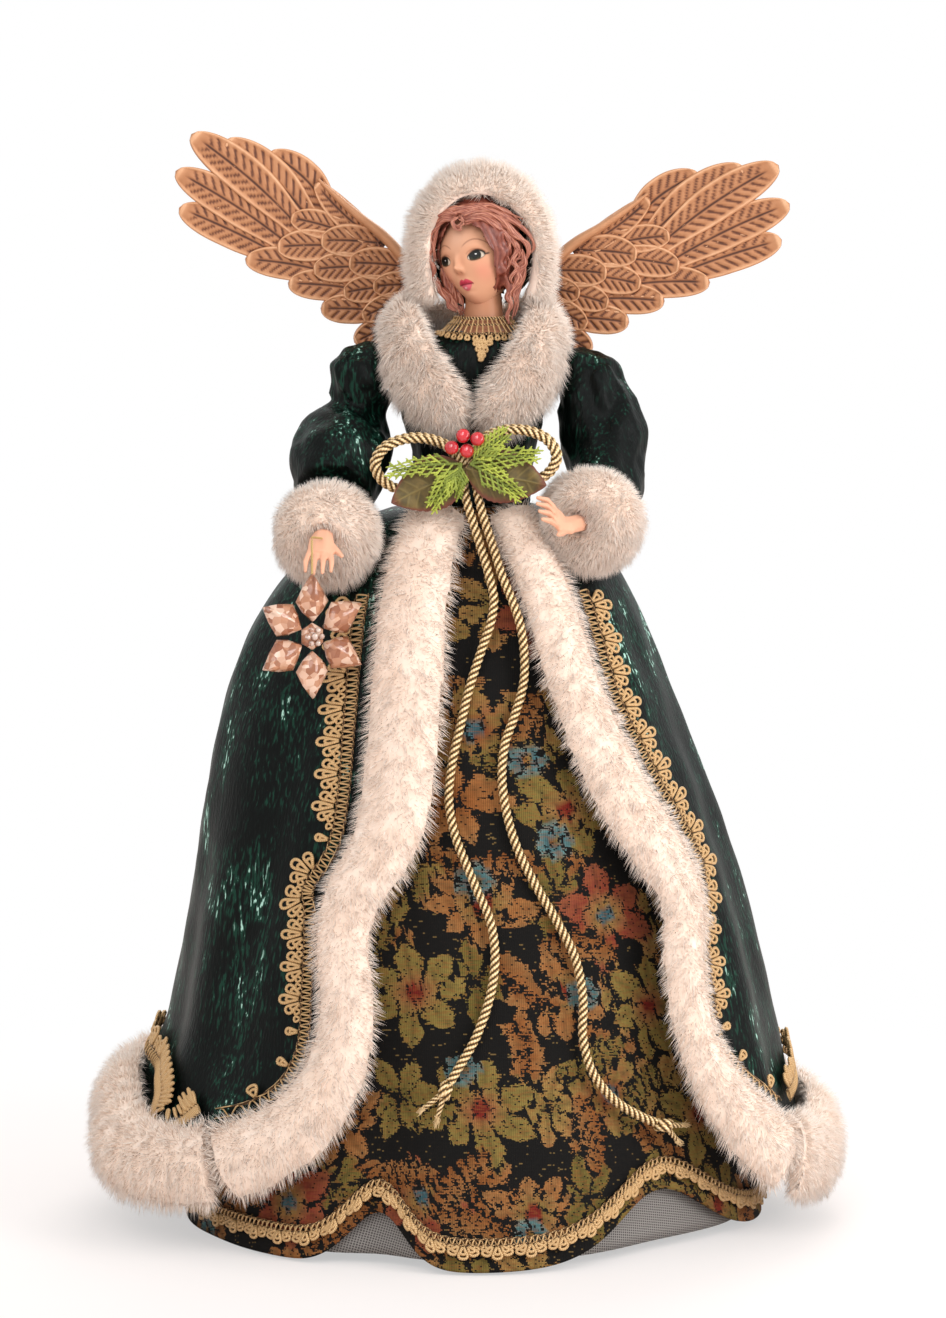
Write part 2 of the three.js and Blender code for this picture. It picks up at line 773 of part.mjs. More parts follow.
function buildTorso(trunk, wire) {
  const foot = coneHeight + seatGap;
  const topOuter = waistRadius - tapestryThickness - seatGap;
  const spigotRadius = topOuter - coneWall - seatGap;
  const spigot = new THREE.CylinderGeometry(spigotRadius, spigotRadius, spigotLength + overrun, 20);
  spigot.rotateX(90 * degree);
  spigot.translate(0, 0, foot - (spigotLength - overrun) / 2);
  const torso = clearOf(joined([trunk, spigot]), [wire]);
  addPart('torso_form', torso, 'foam');
}

function buildBodice(trunk, wire) {
  const foot = waistHeight + seatGap;
  const rise = bodiceTopHeight - foot;
  const waist = waistRadius + coatGap;
  const chest = armPivotX - bodiceCloth;
  const depth = torsoChestHalfDepth + bodiceCloth;
  const outside = upright([
    [0, foot, waist, waist],
    [0, foot + 0.25 * rise, 1.02 * waist, 1.2 * depth],
    [0, foot + 0.5 * rise, 0.88 * chest, 1.18 * depth],
    [0, foot + 0.76 * rise, chest, 1.1 * depth],
    [0.5 * neckX, foot + 0.9 * rise, 0.8 * chest, depth],
    [neckX, bodiceTopHeight, 0.5 * chest, 0.86 * depth],
  ], 8, 18);
  const bodice = clearOf(outside, [trunk, wire, neckRoom(1.05 * neckPlateRadius)]);
  return addPart('coat_bodice', bodice, 'velvet');
}

// Head: an egg whose front carries brow, nose, lips and chin
function headPoint(direction, swell) {
  const { x, y, z } = direction;
  const lower = smoothStep(0.05, 1, -z);
  const front = clamp(-y, 0, 1);
  const nose = noseLength * bump(x, 0, 0.11) * smoothStep(0.32, -0.1, z) * smoothStep(-0.3, -0.17, z);
  const lips = 0.28 * noseLength * bump(x, 0, 0.2) * bump(z, -0.46, 0.1);
  const chin = chinForward * bump(x, 0, 0.34) * bump(z, -0.82, 0.22);
  const sockets = eyeSocketDepth * bump(Math.abs(x), 0.38, 0.17) * bump(z, 0.12, 0.13);
  const cheeks = 0.25 * noseLength * bump(Math.abs(x), 0.5, 0.22) * bump(z, -0.2, 0.2);
  const relief = front * (nose + lips + chin + cheeks - sockets);
  const across = (headHalfWidth + swell) * x * (1 - 0.3 * lower);
  const depth = (headHalfDepth + swell) * y * (1 - 0.12 * lower) - relief;
  return new THREE.Vector3(across, depth, (headHalfHeight + swell) * z);
}

const headRotation = new THREE.Euler(0, headLean, headTurn, 'ZYX');
const headPlace = new THREE.Vector3(headX, headY, headHeight);

function headBall(columns, rows, swell) {
  const loops = [];
  for (let row = 0; row <= rows; row += 1) {
    const polar = Math.PI * (row + 0.12) / (rows + 0.24);
    const loop = [];
    for (let column = 0; column < columns; column += 1) {
      const even = turn * (column + 0.5) / columns;
      const around = even - 0.45 * Math.sin(even);
      const direction = new THREE.Vector3(
        Math.sin(polar) * Math.sin(around),
        -Math.sin(polar) * Math.cos(around),
        Math.cos(polar),
      );
      loop.push(headPoint(direction, swell));
    }
    loops.push(loop);
  }
  return placed(skin(loops), headPlace, headRotation);
}

function ellipsoid(halfSizes, centre, rotation, columns = 24, rows = 16) {
  const ball = new THREE.SphereGeometry(1, columns, rows);
  ball.scale(halfSizes.x, halfSizes.y, halfSizes.z);
  return placed(ball, centre, rotation);
}

function buildHead() {
  const foot = coneHeight + torsoHeight + 2 * seatGap;
  const chinHeight = headHeight - headHalfHeight;
  const neck = upright([
    [neckX, foot, neckPlateRadius, neckPlateRadius],
    [neckX, foot + neckPlateThickness, neckPlateRadius, neckPlateRadius],
    [neckX, foot + 2 * neckPlateThickness, 1.15 * neckRadius, 1.15 * neckRadius],
    [neckX, chinHeight, 0.95 * neckRadius, 0.95 * neckRadius],
    [headX, chinHeight + 0.4 * headHalfHeight, neckRadius, neckRadius],
  ], 6, 12);
  const head = joined([headBall(20, 14, 0), neck]);
  return addPart('head', head, 'skin');
}

// Room for the neck in the clothes and the hair round it
function neckRoom(radius) {
  return upright([
    [neckX, coneHeight + torsoHeight, radius, radius],
    [neckX, headHeight, radius, radius],
  ], 1, 14);
}

// Moulded hair: a cap round the face, rows of curls at both cheeks and a lock down her left side
function inHeadFrame(x, y, z) {
  return new THREE.Vector3(x, y, z).applyEuler(headRotation).add(headPlace);
}

const curlShares = [[0.92, -0.55, 0.22], [1, -0.42, -0.12], [0.92, -0.42, -0.46]];

function buildHair(head) {
  const shell = headBall(12, 8, hairThickness);
  const windowSize = new THREE.Vector3(0.86 * headHalfWidth, headHalfDepth, 0.98 * headHalfHeight);
  const windowPlace = inHeadFrame(0, -headHalfDepth, -0.36 * headHalfHeight);
  const faceWindow = ellipsoid(windowSize, windowPlace, headRotation, 11, 7);
  const cap = toGeometry(toSolid(shell).subtract(toSolid(faceWindow)));
  const curls = [];
  [-1, 1].forEach((side) => {
    curlShares.forEach(([x, y, z], k) => {
      const place = inHeadFrame(side * x * headHalfWidth, y * headHalfDepth, z * headHalfHeight);
      const size = curlRadius * (1 - 0.08 * k);
      const halfSizes = new THREE.Vector3(size, size, 1.5 * size);
      curls.push(ellipsoid(halfSizes, place, new THREE.Euler(0, side * 0.4, 0), 6, 4));
    });
  });
  const lockTop = inHeadFrame(0.8 * headHalfWidth, -0.2 * headHalfDepth, -0.5 * headHalfHeight);
  const lockFoot = lockTop.z - 4.5 * curlRadius;
  const lockEnd = new THREE.Vector3(neckX + neckRadius + curlRadius, -1.2 * neckRadius, lockFoot);
  const lockMiddle = lockTop.clone().lerp(lockEnd, 0.5).add(new THREE.Vector3(0.5 * curlRadius, 0, 0));
  const lock = loft({
    route: [lockTop, lockMiddle, lockEnd],
    facing: new THREE.Vector3(0, -1, 0),
    halfWidths: [curlRadius, 0.85 * curlRadius, 0.4 * curlRadius],
    halfDepths: [curlRadius, 0.85 * curlRadius, 0.4 * curlRadius],
    steps: 4,
    sides: 6,
  });
  const skull = headBall(12, 8, 4 * seatGap);
  const hair = clearOf(joined([cap, ...curls, lock]), [skull, neckRoom(1.05 * neckRadius)]);
  return addPart('hair', hair, 'hair');
}

function buildNeckBraid(bodice) {
  const route = [];
  for (let k = 0; k < 16; k += 1) {
    const angle = turn * k / 16;
    const x = neckX + neckBraidRadius * Math.sin(angle);
    const y = -neckBraidRadius * Math.cos(angle);
    route.push(new THREE.Vector3(x, y, bodiceTopHeight + neckBraidWidth / 2 - 1.5 * braidThickness));
  }
  const lean = new THREE.Vector3(0, 0, 0.7 * neckBraidRadius);
  const band = loft({
    route,
    facing: (centre) => new THREE.Vector3(centre.x - neckX, centre.y, 0).add(lean),
    halfWidths: [neckBraidWidth / 2, neckBraidWidth / 2],
    halfDepths: [neckBraidThickness / 2, neckBraidThickness / 2],
    steps: 16,
    sides: 4,
    isRing: true,
  });
  return addPart('neck_braid', clearOf(band, [neckRoom(neckRadius), bodice]), 'braid');
}

// Hood: a velvet crown behind the head and a roll of fur round the face opening
const hoodBandShares = [
  [-0.92, -1.08], [-1.0, -0.4], [-0.88, 0.3], [-0.5, 0.86], [0, 1.04],
  [0.56, 0.88], [0.98, 0.3], [1.08, -0.4], [0.95, -1.08],
];
const hoodRollShares = [0.72, 0.7, 0.82, 0.98, 1, 0.9, 0.68, 0.62, 0.7];

function buildHood(head, hair) {
  const route = hoodBandShares.map(([x, z]) => {
    return new THREE.Vector3(hoodX + x * hoodHalfWidth, hoodBandY, hoodCentreHeight + z * hoodRise);
  });
  const centre = new THREE.Vector3(hoodX, hoodBandY, hoodCentreHeight);
  const band = loft({
    route,
    facing: (point) => point.clone().sub(centre),
    halfWidths: hoodRollShares.map((share) => (0.35 + 0.65 * share) * hoodBandHalfWidth),
    halfDepths: hoodRollShares.map((share) => share * hoodBandHalfDepth),
    steps: 16,
    sides: 8,
  });
  const fur = clearOf(band, [head, hair]);
  addPart('hood_fur', fur, 'fur');
  const crownSize = new THREE.Vector3(hoodCrownHalfWidth, hoodCrownDepth, hoodCrownHalfHeight);
  const crownPlace = new THREE.Vector3(hoodX, hoodBandY, hoodCentreHeight);
  const ball = ellipsoid(crownSize, crownPlace, new THREE.Euler(), 16, 8);
  const wide = 3 * hoodCrownHalfWidth;
  const front = new THREE.BoxGeometry(wide, 2 * hoodCrownDepth, 3 * hoodCrownHalfHeight);
  const cutter = placed(front, new THREE.Vector3(hoodX, hoodBandY - hoodCrownDepth, hoodCentreHeight));
  const half = toGeometry(toSolid(ball).subtract(toSolid(cutter)));
  const hairRoom = headBall(14, 8, hairThickness + curlRadius);
  const crown = clearOf(half, [hairRoom, fur, neckRoom(neckRadius)], 2 * seatGap);
  addPart('hood_crown', crown, 'velvet');
  return [fur, crown];
}

// Fur collar: each lapel runs from the nape over the shoulder to the waist knot
const lapelShares = [
  [-0.08, 0.95, 0.02], [-0.62, 0.78, 0.08], [-0.9, 0.16, 0.12], [-0.87, -0.38, -0.05],
  [-0.73, -0.72, -0.38], [-0.42, -0.96, -0.75], [-0.17, -1.1, -1.05],
];

function buildCollar(neighbours) {
  const drop = collarTopHeight - collarFrontHeight;
  const route = lapelShares.map(([x, y, z]) => {
    const depth = y > 0 ? collarBackDepth : collarFrontDepth;
    return new THREE.Vector3(x * collarSpread, y * depth, collarTopHeight + z * drop);
  });
  const halfWidths = [0.75, 0.85, 1, 1.02, 1, 0.9, 0.66].map((share) => share * collarHalfWidth);
  const halfDepths = [0.85, 0.95, 1, 1, 1, 0.95, 0.8].map((share) => share * collarHalfThickness);
  const lift = new THREE.Vector3(0, 0, collarHalfWidth);
  const facing = (point) => new THREE.Vector3(point.x, point.y, 0).add(lift);
  const lapel = (points, side) => {
    const whole = loft({ route: points, facing, halfWidths, halfDepths, steps: 12, sides: 8 });
    const otherHalf = new THREE.BoxGeometry(2 * collarSpread, 4 * collarSpread, 4 * collarSpread);
    otherHalf.translate(-side * collarSpread, 0, collarTopHeight);
    return clearOf(whole, [otherHalf, ...neighbours]);
  };
  addPart('fur_collar_right', lapel(route, -1), 'fur');
  addPart('fur_collar_left', lapel(mirrored(route), 1), 'fur');
}

// A sleeve swung outward to the end of the arm's travel
function swungOut(sleeve, side) {
  const pivot = new THREE.Vector3(side * armPivotX, armPivotY, armPivotHeight);
  const swung = sleeve.clone().translate(-pivot.x, -pivot.y, -pivot.z);
  return swung.rotateY(-side * armSwing).translate(pivot.x, pivot.y, pivot.z);
}

// Arms. Each route runs from the shoulder to the wrist, and is chosen for the pose in hand.
const rightSleeveShares = [
  [0.94, 1, 0], [1.09, 1, 0.02], [1.24, 0.5, -0.08], [1.28, 0, -0.3],
  [1.42, -2, -0.54], [1.52, -7, -0.78], [1.56, -13, -0.97],
];
const rightSleeveFullShares = [0.42, 0.78, 0.86, 0.62, 1.02, 1.08, 0.84];
const leftSleeveShares = [
  [0.94, 1, 0], [1.09, 1, -0.02], [1.28, 0.5, -0.12], [1.42, -0.5, -0.33],
  [1.49, -2.5, -0.56], [1.5, -6, -0.78], [1.44, -12, -0.98],
];
const leftSleeveFullShares = [0.42, 0.78, 0.86, 0.9, 0.92, 0.9, 0.78];
const armDrop = 45;

function armRoute(shares, side) {
  return shares.map(([x, y, z]) => {
    return new THREE.Vector3(side * x * armPivotX, y * armPivotY, armPivotHeight + z * armDrop);
  });
}

// The cuff lies on the line from the sleeve's end to the wrist, as shares of the cuff radius
const rightCuffShares = [[-0.03, -0.1, -0.25], [-0.1, -0.68, -0.68], [-0.15, -1.28, -0.96]];
const rightPalmShares = [[-0.14, -1.4, -0.64], [-0.17, -1.62, -0.76], [-0.19, -1.82, -0.94]];
const leftCuffShares = [[-0.05, -0.1, -0.2], [-0.2, -0.66, -0.4], [-0.44, -1.26, -0.48]];
const leftPalmShares = [[-0.56, -1.46, -0.42], [-0.72, -1.74, -0.4], [-0.9, -1.98, -0.22]];

function alongFrom(start, shares) {
  return shares.map(([x, y, z]) => {
    return new THREE.Vector3(x * cuffRadius, y * cuffRadius, z * cuffRadius).add(start);
  });
}

function buildHand(wristStart, palmRoute, palmFacing, thumbSide) {
  const route = [wristStart, ...palmRoute];
  const palm = loft({
    route,
    facing: palmFacing,
    halfWidths: [wristRadius, wristRadius, palmHalfWidth, 0.9 * palmHalfWidth],
    halfDepths: [wristRadius, 0.85 * wristRadius, palmHalfDepth, 0.75 * palmHalfDepth],
    steps: 5,
    sides: 8,
  });
  const end = route.at(-1);
  const ahead = end.clone().sub(route.at(-2)).normalize();
  const outward = palmFacing.clone().addScaledVector(ahead, -palmFacing.dot(ahead)).normalize();
  const across = ahead.clone().cross(outward);
  const fingers = [];
  for (let k = 0; k < 4; k += 1) {
    const side = (k - 1.5) / 1.5;
    const length = fingerLength * (1 - 0.14 * Math.abs(side - 0.2));
    const base = end.clone().addScaledVector(across, 0.72 * side * palmHalfWidth);
    base.addScaledVector(ahead, -fingerRadius);
    const middle = base.clone().addScaledVector(ahead, 0.55 * length);
    middle.addScaledVector(across, 0.1 * side * length);
    const tip = middle.clone().addScaledVector(ahead, 0.4 * length);
    tip.addScaledVector(outward, -0.22 * length);
    fingers.push(loft({
      route: [base, middle, tip],
      facing: palmFacing,
      halfWidths: [fingerRadius, fingerRadius, 0.6 * fingerRadius],
      halfDepths: [fingerRadius, fingerRadius, 0.6 * fingerRadius],
      steps: 2,
      sides: 4,
    }));
  }
  const thumbBase = route.at(-2).clone().addScaledVector(across, 0.6 * thumbSide * palmHalfWidth);
  const thumbTip = thumbBase.clone().addScaledVector(across, 0.5 * thumbSide * fingerLength);
  thumbTip.addScaledVector(ahead, 0.6 * fingerLength);
  fingers.push(loft({
    route: [thumbBase, thumbBase.clone().lerp(thumbTip, 0.5), thumbTip],
    facing: palmFacing,
    halfWidths: [1.2 * fingerRadius, 1.1 * fingerRadius, 0.7 * fingerRadius],
    halfDepths: [1.2 * fingerRadius, 1.1 * fingerRadius, 0.7 * fingerRadius],
    steps: 2,
    sides: 4,
  }));
  return joined([palm, ...fingers]);
}

function buildArm(name, side, shares, fullShares, cuffShares, palmShares, palmFacing, thumbSide) {
  const route = armRoute(shares, side);
  const sleeveEnd = route.at(-1);
  const cuffRoute = alongFrom(sleeveEnd, cuffShares);
  const wireRoute = route.slice(1).concat([cuffRoute[1]]);
  const wireStart = new THREE.Vector3(side * (armPivotX + 2 * seatGap), armPivotY, armPivotHeight);
  const wire = tube([wireStart, ...wireRoute], wireRadius, 6, 10);
  addPart(`arm_wire_${name}`, wire, 'wire');
  const radii = fullShares.map((share) => share * sleeveFullRadius);
  radii[0] = 0.5 * sleeveTopRadius;
  radii[1] = sleeveTopRadius;
  const facing = new THREE.Vector3(0, -1, 0.15);
  const ruffled = loft({ route, facing, halfWidths: radii, halfDepths: radii, steps: 12, sides: 12 });
  const wristStart = cuffRoute[1].clone().lerp(cuffRoute[2], 0.06);
  const hand = buildHand(wristStart, alongFrom(sleeveEnd, palmShares), palmFacing, thumbSide);
  const handPart = clearOf(hand, [wire, coat, ...frontFurs]);
  addPart(`hand_${name}`, handPart, 'skin');
  const roll = [0.74, 1, 0.98, 0.66].map((share) => share * cuffRadius);
  const rolled = loft({ route: cuffRoute, facing, halfWidths: roll, halfDepths: roll, steps: 6, sides: 12 });
  const cuff = clearOf(rolled, [hand, wire, coat, ...frontFurs]);
  addPart(`cuff_fur_${name}`, cuff, 'fur');
  const pivot = new THREE.Vector3(side * armPivotX, armPivotY, armPivotHeight);
  const wireRoom = tube([pivot, ...wireRoute], wireRadius + 1.5 * seatGap, 6, 10);
  const sleeve = clearOf(ruffled, [wireRoom, cuff, hand]);
  addPart(`sleeve_${name}`, sleeve, 'velvet');
  return sleeve;
}

function buildShoulderWire() {
  const reach = rightSleeveShares[0][0] * armPivotX - shoulderWireGap;
  const end = new THREE.Vector3(reach, armPivotY, armPivotHeight);
  const start = new THREE.Vector3(-reach, armPivotY, armPivotHeight);
  const wire = tube([start, start.clone().lerp(end, 0.5), end], wireRadius, 8, 4);
  return addPart('shoulder_wire', wire, 'wire');
}

// Wings: four rows of feathers that overlap like shingles, on one leading arm.
// Tips and roots are shares of the wing's span and rise, from the root upwards and outwards.
const featherTipShares = [
  [0.63, 0.92], [0.8, 0.98], [0.94, 1], [1, 0.83], [0.99, 0.67], [0.93, 0.58],
  [0.76, 0.46], [0.67, 0.37], [0.57, 0.32], [0.5, 0.25], [0.41, 0.163], [0.31, 0.078],
];
const featherRootShares = [[0.36, 0.64], [0.1, 0.07]];
const wingArmShares = [[0.02, 0.12], [0.06, 0.26], [0.17, 0.46], [0.28, 0.64], [0.42, 0.79], [0.56, 0.87]];
const rowReachShares = [1, 0.56];
const rowWidthShares = [1, 1.15];
const featherOutlineShares = [[0, 0.28], [0.5, 0.48], [0.86, 0.44], [1, 0.12]];

function wingPoint([u, v], depth) {
  return new THREE.Vector3(-u * wingSpan, depth, v * wingRise);
}

// A feather is a thin blade with its quill as a ridge along the middle
function feather(root, tip, width, depth) {
  const along = tip.clone().sub(root);
  const across = new THREE.Vector3(-along.z, 0, along.x).normalize();
  const tilt = Math.tan(featherTilt);
  const loops = featherOutlineShares.map(([place, spread]) => {
    const centre = root.clone().addScaledVector(along, place);
    const half = spread * width;
    const quill = quillHeight * (1 - 0.6 * place);
    const left = centre.clone().addScaledVector(across, half);
    const right = centre.clone().addScaledVector(across, -half);
    const ridge = centre.clone();
    left.y += depth + half * tilt;
    right.y += depth - half * tilt;
    ridge.y += depth - quill;
    const lift = new THREE.Vector3(0, featherThickness, 0);
    return [left, ridge, right, right.clone().add(lift), left.clone().add(lift)];
  });
  return evenSkin(loops);
}

// A skin whose end loops have an odd number of points, closed with a fan
function evenSkin(loops) {
  const doubled = loops.map((loop) => [...loop, loop.at(-1).clone().lerp(loop[0], 0.5)]);
  return skin(doubled);
}

function buildWing() {
  const pieces = [];
  const count = featherTipShares.length;
  rowReachShares.forEach((reach, row) => {
    for (let k = 0; k < count - 6 * row; k += 1) {
      const place = (k + 0.5 * Math.sign(row)) * (count - 1) / (count - 6 * row);
      const first = Math.min(Math.floor(place), count - 1);
      const second = Math.min(first + 1, count - 1);
      const blend = place - first;
      const tipU = THREE.MathUtils.lerp(featherTipShares[first][0], featherTipShares[second][0], blend);
      const tipV = THREE.MathUtils.lerp(featherTipShares[first][1], featherTipShares[second][1], blend);
      const down = place / (count - 1);
      const rootU = THREE.MathUtils.lerp(featherRootShares[0][0], featherRootShares[1][0], down);
      const rootV = THREE.MathUtils.lerp(featherRootShares[0][1], featherRootShares[1][1], down);
      const root = wingPoint([rootU, rootV], 0);
      const tip = root.clone().lerp(wingPoint([tipU, tipV], 0), reach);
      const depth = -row * featherThickness * 0.7;
      pieces.push(feather(root, tip, rowWidthShares[row] * featherWidth, depth));
    }
  });
  const armRoutePoints = wingArmShares.map((share) => wingPoint(share, -2 * featherThickness));
  pieces.push(loft({
    route: armRoutePoints,
    facing: new THREE.Vector3(0, -1, 0),
    halfWidths: [1, 1.1, 1, 0.9, 0.7, 0.4].map((share) => share * wingArmRadius),
    halfDepths: [1, 1.1, 1, 0.9, 0.7, 0.4].map((share) => share * wingArmRadius),
    steps: 6,
    sides: 6,
  }));
  const tab = new THREE.BoxGeometry(0.2 * wingSpan, bracketThickness, 0.4 * wingRise);
  tab.translate(-0.08 * wingSpan, 0, -0.06 * wingRise);
  pieces.push(tab);
  return joined(pieces);
}

function buildWings(bodice) {
  const wing = buildWing();
  const tabHeight = wingRootHeight - 0.14 * wingRise;
  const turned = placed(wing, new THREE.Vector3(), new THREE.Euler(0, 0, wingBack));
  const rightPlace = new THREE.Vector3(-wingRootX, wingRootY, wingRootHeight);
  const right = placed(turned, rightPlace);
  const flipped = turned.clone().scale(-1, 1, 1);
  const leftPlace = new THREE.Vector3(wingRootX, wingRootY, wingRootHeight);
  const left = facingOut(placed(flipped, leftPlace, new THREE.Euler(0, leftWingDrop, 0)));
  const blockEnd = wingRootY - bracketThickness / 2 - seatGap;
  const blockDepth = blockEnd - torsoChestHalfDepth;
  const block = new THREE.BoxGeometry(2 * bracketHalfWidth, blockDepth, bracketHeight);
  block.translate(0, blockEnd - blockDepth / 2, tabHeight);
  addPart('wing_right', right, 'wing');
  addPart('wing_left', left, 'wing');
  const bracket = clearOf(block, [bodice, right, left]);
  addPart('wing_bracket', bracket, 'card');
}

// Bow: each loop is one cord wound twice round, tied at the knot
function bowLoop(centreX, centreHeight, halfWidth, halfRise, side, knot) {
  const points = [];
  const count = 10;
  for (let k = 0; k <= 2 * count; k += 1) {
    const angle = turn * k / count;
    const share = k / (2 * count);
    const x = centreX + side * -Math.cos(angle) * halfWidth * (1 - 0.12 * share);
    const z = centreHeight + Math.sin(angle) * halfRise * (1 - 0.12 * share);
    points.push(new THREE.Vector3(x, bowY + (0.5 - share) * 2 * loopTurnGap, z));
  }
  return clearOf(tube(points, cordDiameter / 2, 6, 2 * count), [knot]);
}

function buildBow() {
  const knotPlace = new THREE.Vector3(bowX, bowY, bowHeight);
  const knotSize = new THREE.Vector3(knotRadius, 0.85 * knotRadius, knotRadius);
  const knot = ellipsoid(knotSize, knotPlace, new THREE.Euler(), 10, 7);
  addPart('bow_knot', knot, 'cord');
  const reach = loopSpread / 2;
  const rightCentre = bowX - reach - knotRadius / 2;
  const right = bowLoop(rightCentre, bowHeight - 3 * seatGap, reach, loopRise, -1, knot);
  addPart('bow_loop_right', right, 'cord');
  const left = bowLoop(bowX + reach + knotRadius / 2, bowHeight + knotRadius / 2, reach, loopRise, 1, knot);
  addPart('bow_loop_left', left, 'cord');
  return { knot, knotPlace, loops: [right, left] };
}

// Tails: each route is chosen by hand, lies over the fur and then on the tapestry
// The upper points are measured from the bow, and the others are an angle, a height share and a lift
const rightTailHang = [[-0.8, 0, -6.5], [0.2, -1.6, -13.5], [2.4, -2, -21], [5.2, -3.4, -30]];
const rightTailShares = [
  [6.5, 0.907, 5.1], [8.1, 0.877, 3.7], [6.6, 0.849, 2.8], [3.3, 0.819, 0], [-1, 0.77, -1.2],
  [-3.7, 0.722, -1.5], [-6.1, 0.668, -1.6], [-6.7, 0.62, -1.5], [-4.7, 0.576, -1.6],
  [-1.8, 0.538, -1.6], [1, 0.504, -1.6], [4, 0.465, -1.6], [5, 0.419, -1.6], [4, 0.371, -1.6],
  [0.6, 0.313, -1.6], [-3.1, 0.271, -1.8], [-4.7, 0.254, -1.8],
];
const leftTailHang = [[3.5, 0, -6.5], [4.8, -1.6, -13.5], [6.8, -2.2, -21], [9.8, -3.8, -30]];
const leftTailShares = [
  [11.7, 0.906, 5.7], [14.8, 0.875, 4.9], [16.7, 0.842, 4.8], [17.7, 0.809, 2.1], [17, 0.773, -0.1],
  [13.4, 0.732, -1.2], [9.7, 0.694, -1.6], [8.3, 0.65, -1.6], [9.2, 0.601, -1.6],
  [11.7, 0.555, -1.6], [15.5, 0.51, -1.6], [20.3, 0.459, -1.5], [23.9, 0.411, -1.7],
  [24.8, 0.358, -1.7], [23.9, 0.306, -1.7], [25.3, 0.261, -1.9], [29.6, 0.223, -3],
  [36.1, 0.198, -5.2], [39, 0.191, -6.3],
];

function tailPoints(hang, shares) {
  const upper = hang.map(([x, y, z]) => new THREE.Vector3(bowX + x, bowY + y, bowHeight + z));
  const lower = shares.map(([angle, share, lift]) => {
    return onSurface(coatRadius, angle * degree, share * waistHeight, lift);
  });
  return upper.concat(lower);
}

function buildTail(name, points, otherEnd) {
  const length = new THREE.CatmullRomCurve3(points, false, 'centripetal').getLength();
  const steps = Math.round(length / (3.2 * cordDiameter));
  addPart(`bow_tail_${name}`, tube(points, cordDiameter / 2, 8, steps), 'cord');
  const end = points.at(-1);
  const ahead = end.clone().sub(points.at(-2)).normalize();
  const centre = end.clone().addScaledVector(ahead, tailKnotRadius + seatGap);
  const outward = new THREE.Vector3(end.x, end.y, 0).normalize();
  centre.addScaledVector(outward, tailKnotRadius - cordDiameter / 2);
  const size = new THREE.Vector3(tailKnotRadius, 0.9 * tailKnotRadius, tailKnotRadius);
  const pieces = [ellipsoid(size, centre, new THREE.Euler(), 8, 6)];
  otherEnd.forEach((spread) => {
    const away = ahead.clone().applyAxisAngle(outward, spread);
    const tip = centre.clone().addScaledVector(away, tailKnotRadius + tailEndLength);
    pieces.push(tube([centre, centre.clone().lerp(tip, 0.5), tip], 0.36 * cordDiameter, 6, 2));
  });
  const knot = clearOf(joined(pieces), [tube(points, cordDiameter / 2, 8, steps)]);
  addPart(`tail_knot_${name}`, knot, 'cord');
  return length;
}

// Holly bunch: two cloth leaves, two cedar sprays and four berries, laid over the knot in that order
const berryShares = [[-0.38, 3.96, 0], [1.62, 3.54, 0.64], [-2, 2.3, 0], [0.15, 1.85, 0]];
const sprayTipShares = [
  [[-1.05, -0.12], [-0.42, -0.62], [-0.1, -0.4]],
  [[0.5, 0.42], [0.98, 0.12], [0.72, -0.48]],
];
const leafTipAngles = [205 * degree, -12 * degree];

function leaf(place, angle) {
  const outline = new THREE.Shape();
  outline.moveTo(0, 0);
  const l = leafLength;
  const w = leafWidth;
  outline.bezierCurveTo(0.25 * l, 0.62 * w, 0.7 * l, 0.55 * w, l, 0.06 * w);
  outline.bezierCurveTo(0.75 * l, -0.6 * w, 0.3 * l, -0.62 * w, 0, 0);
  const settings = { depth: leafThickness, bevelEnabled: false, curveSegments: 6 };
  const blade = new THREE.ExtrudeGeometry(outline, settings);
  blade.rotateX(90 * degree);
  blade.rotateY(-angle);
  blade.translate(place.x, place.y, place.z);
  return blade;
}

function sprig(start, tip) {
  const along = tip.clone().sub(start);
  const across = new THREE.Vector3(-along.z, 0, along.x).normalize();
  const ahead = along.clone().normalize();
  const bend = start.clone().addScaledVector(along, 0.5).addScaledVector(across, 0.06 * sprigLength);
  const taper = [sprigStemRadius, sprigStemRadius, 0.5 * sprigStemRadius];
  const facing = new THREE.Vector3(0, -1, 0);
  const limb = (route, radii, steps) => {
    return loft({ route, facing, halfWidths: radii, halfDepths: radii, steps, sides: 4 });
  };
  const pieces = [limb([start, bend, tip], taper, 2)];
  for (let k = 1; k <= 2; k += 1) {
    [-1, 1].forEach((side) => {
      const base = start.clone().addScaledVector(along, 0.34 * k - 0.1 + 0.05 * side);
      const end = base.clone().addScaledVector(across, 0.75 * side * sprigLeafLength);
      end.addScaledVector(ahead, sprigLeafLength);
      const radii = [sprigLeafRadius, sprigLeafRadius, 0.5 * sprigLeafRadius];
      pieces.push(limb([base, base.clone().lerp(end, 0.5), end], radii, 1));
    });
  }
  return joined(pieces);
}

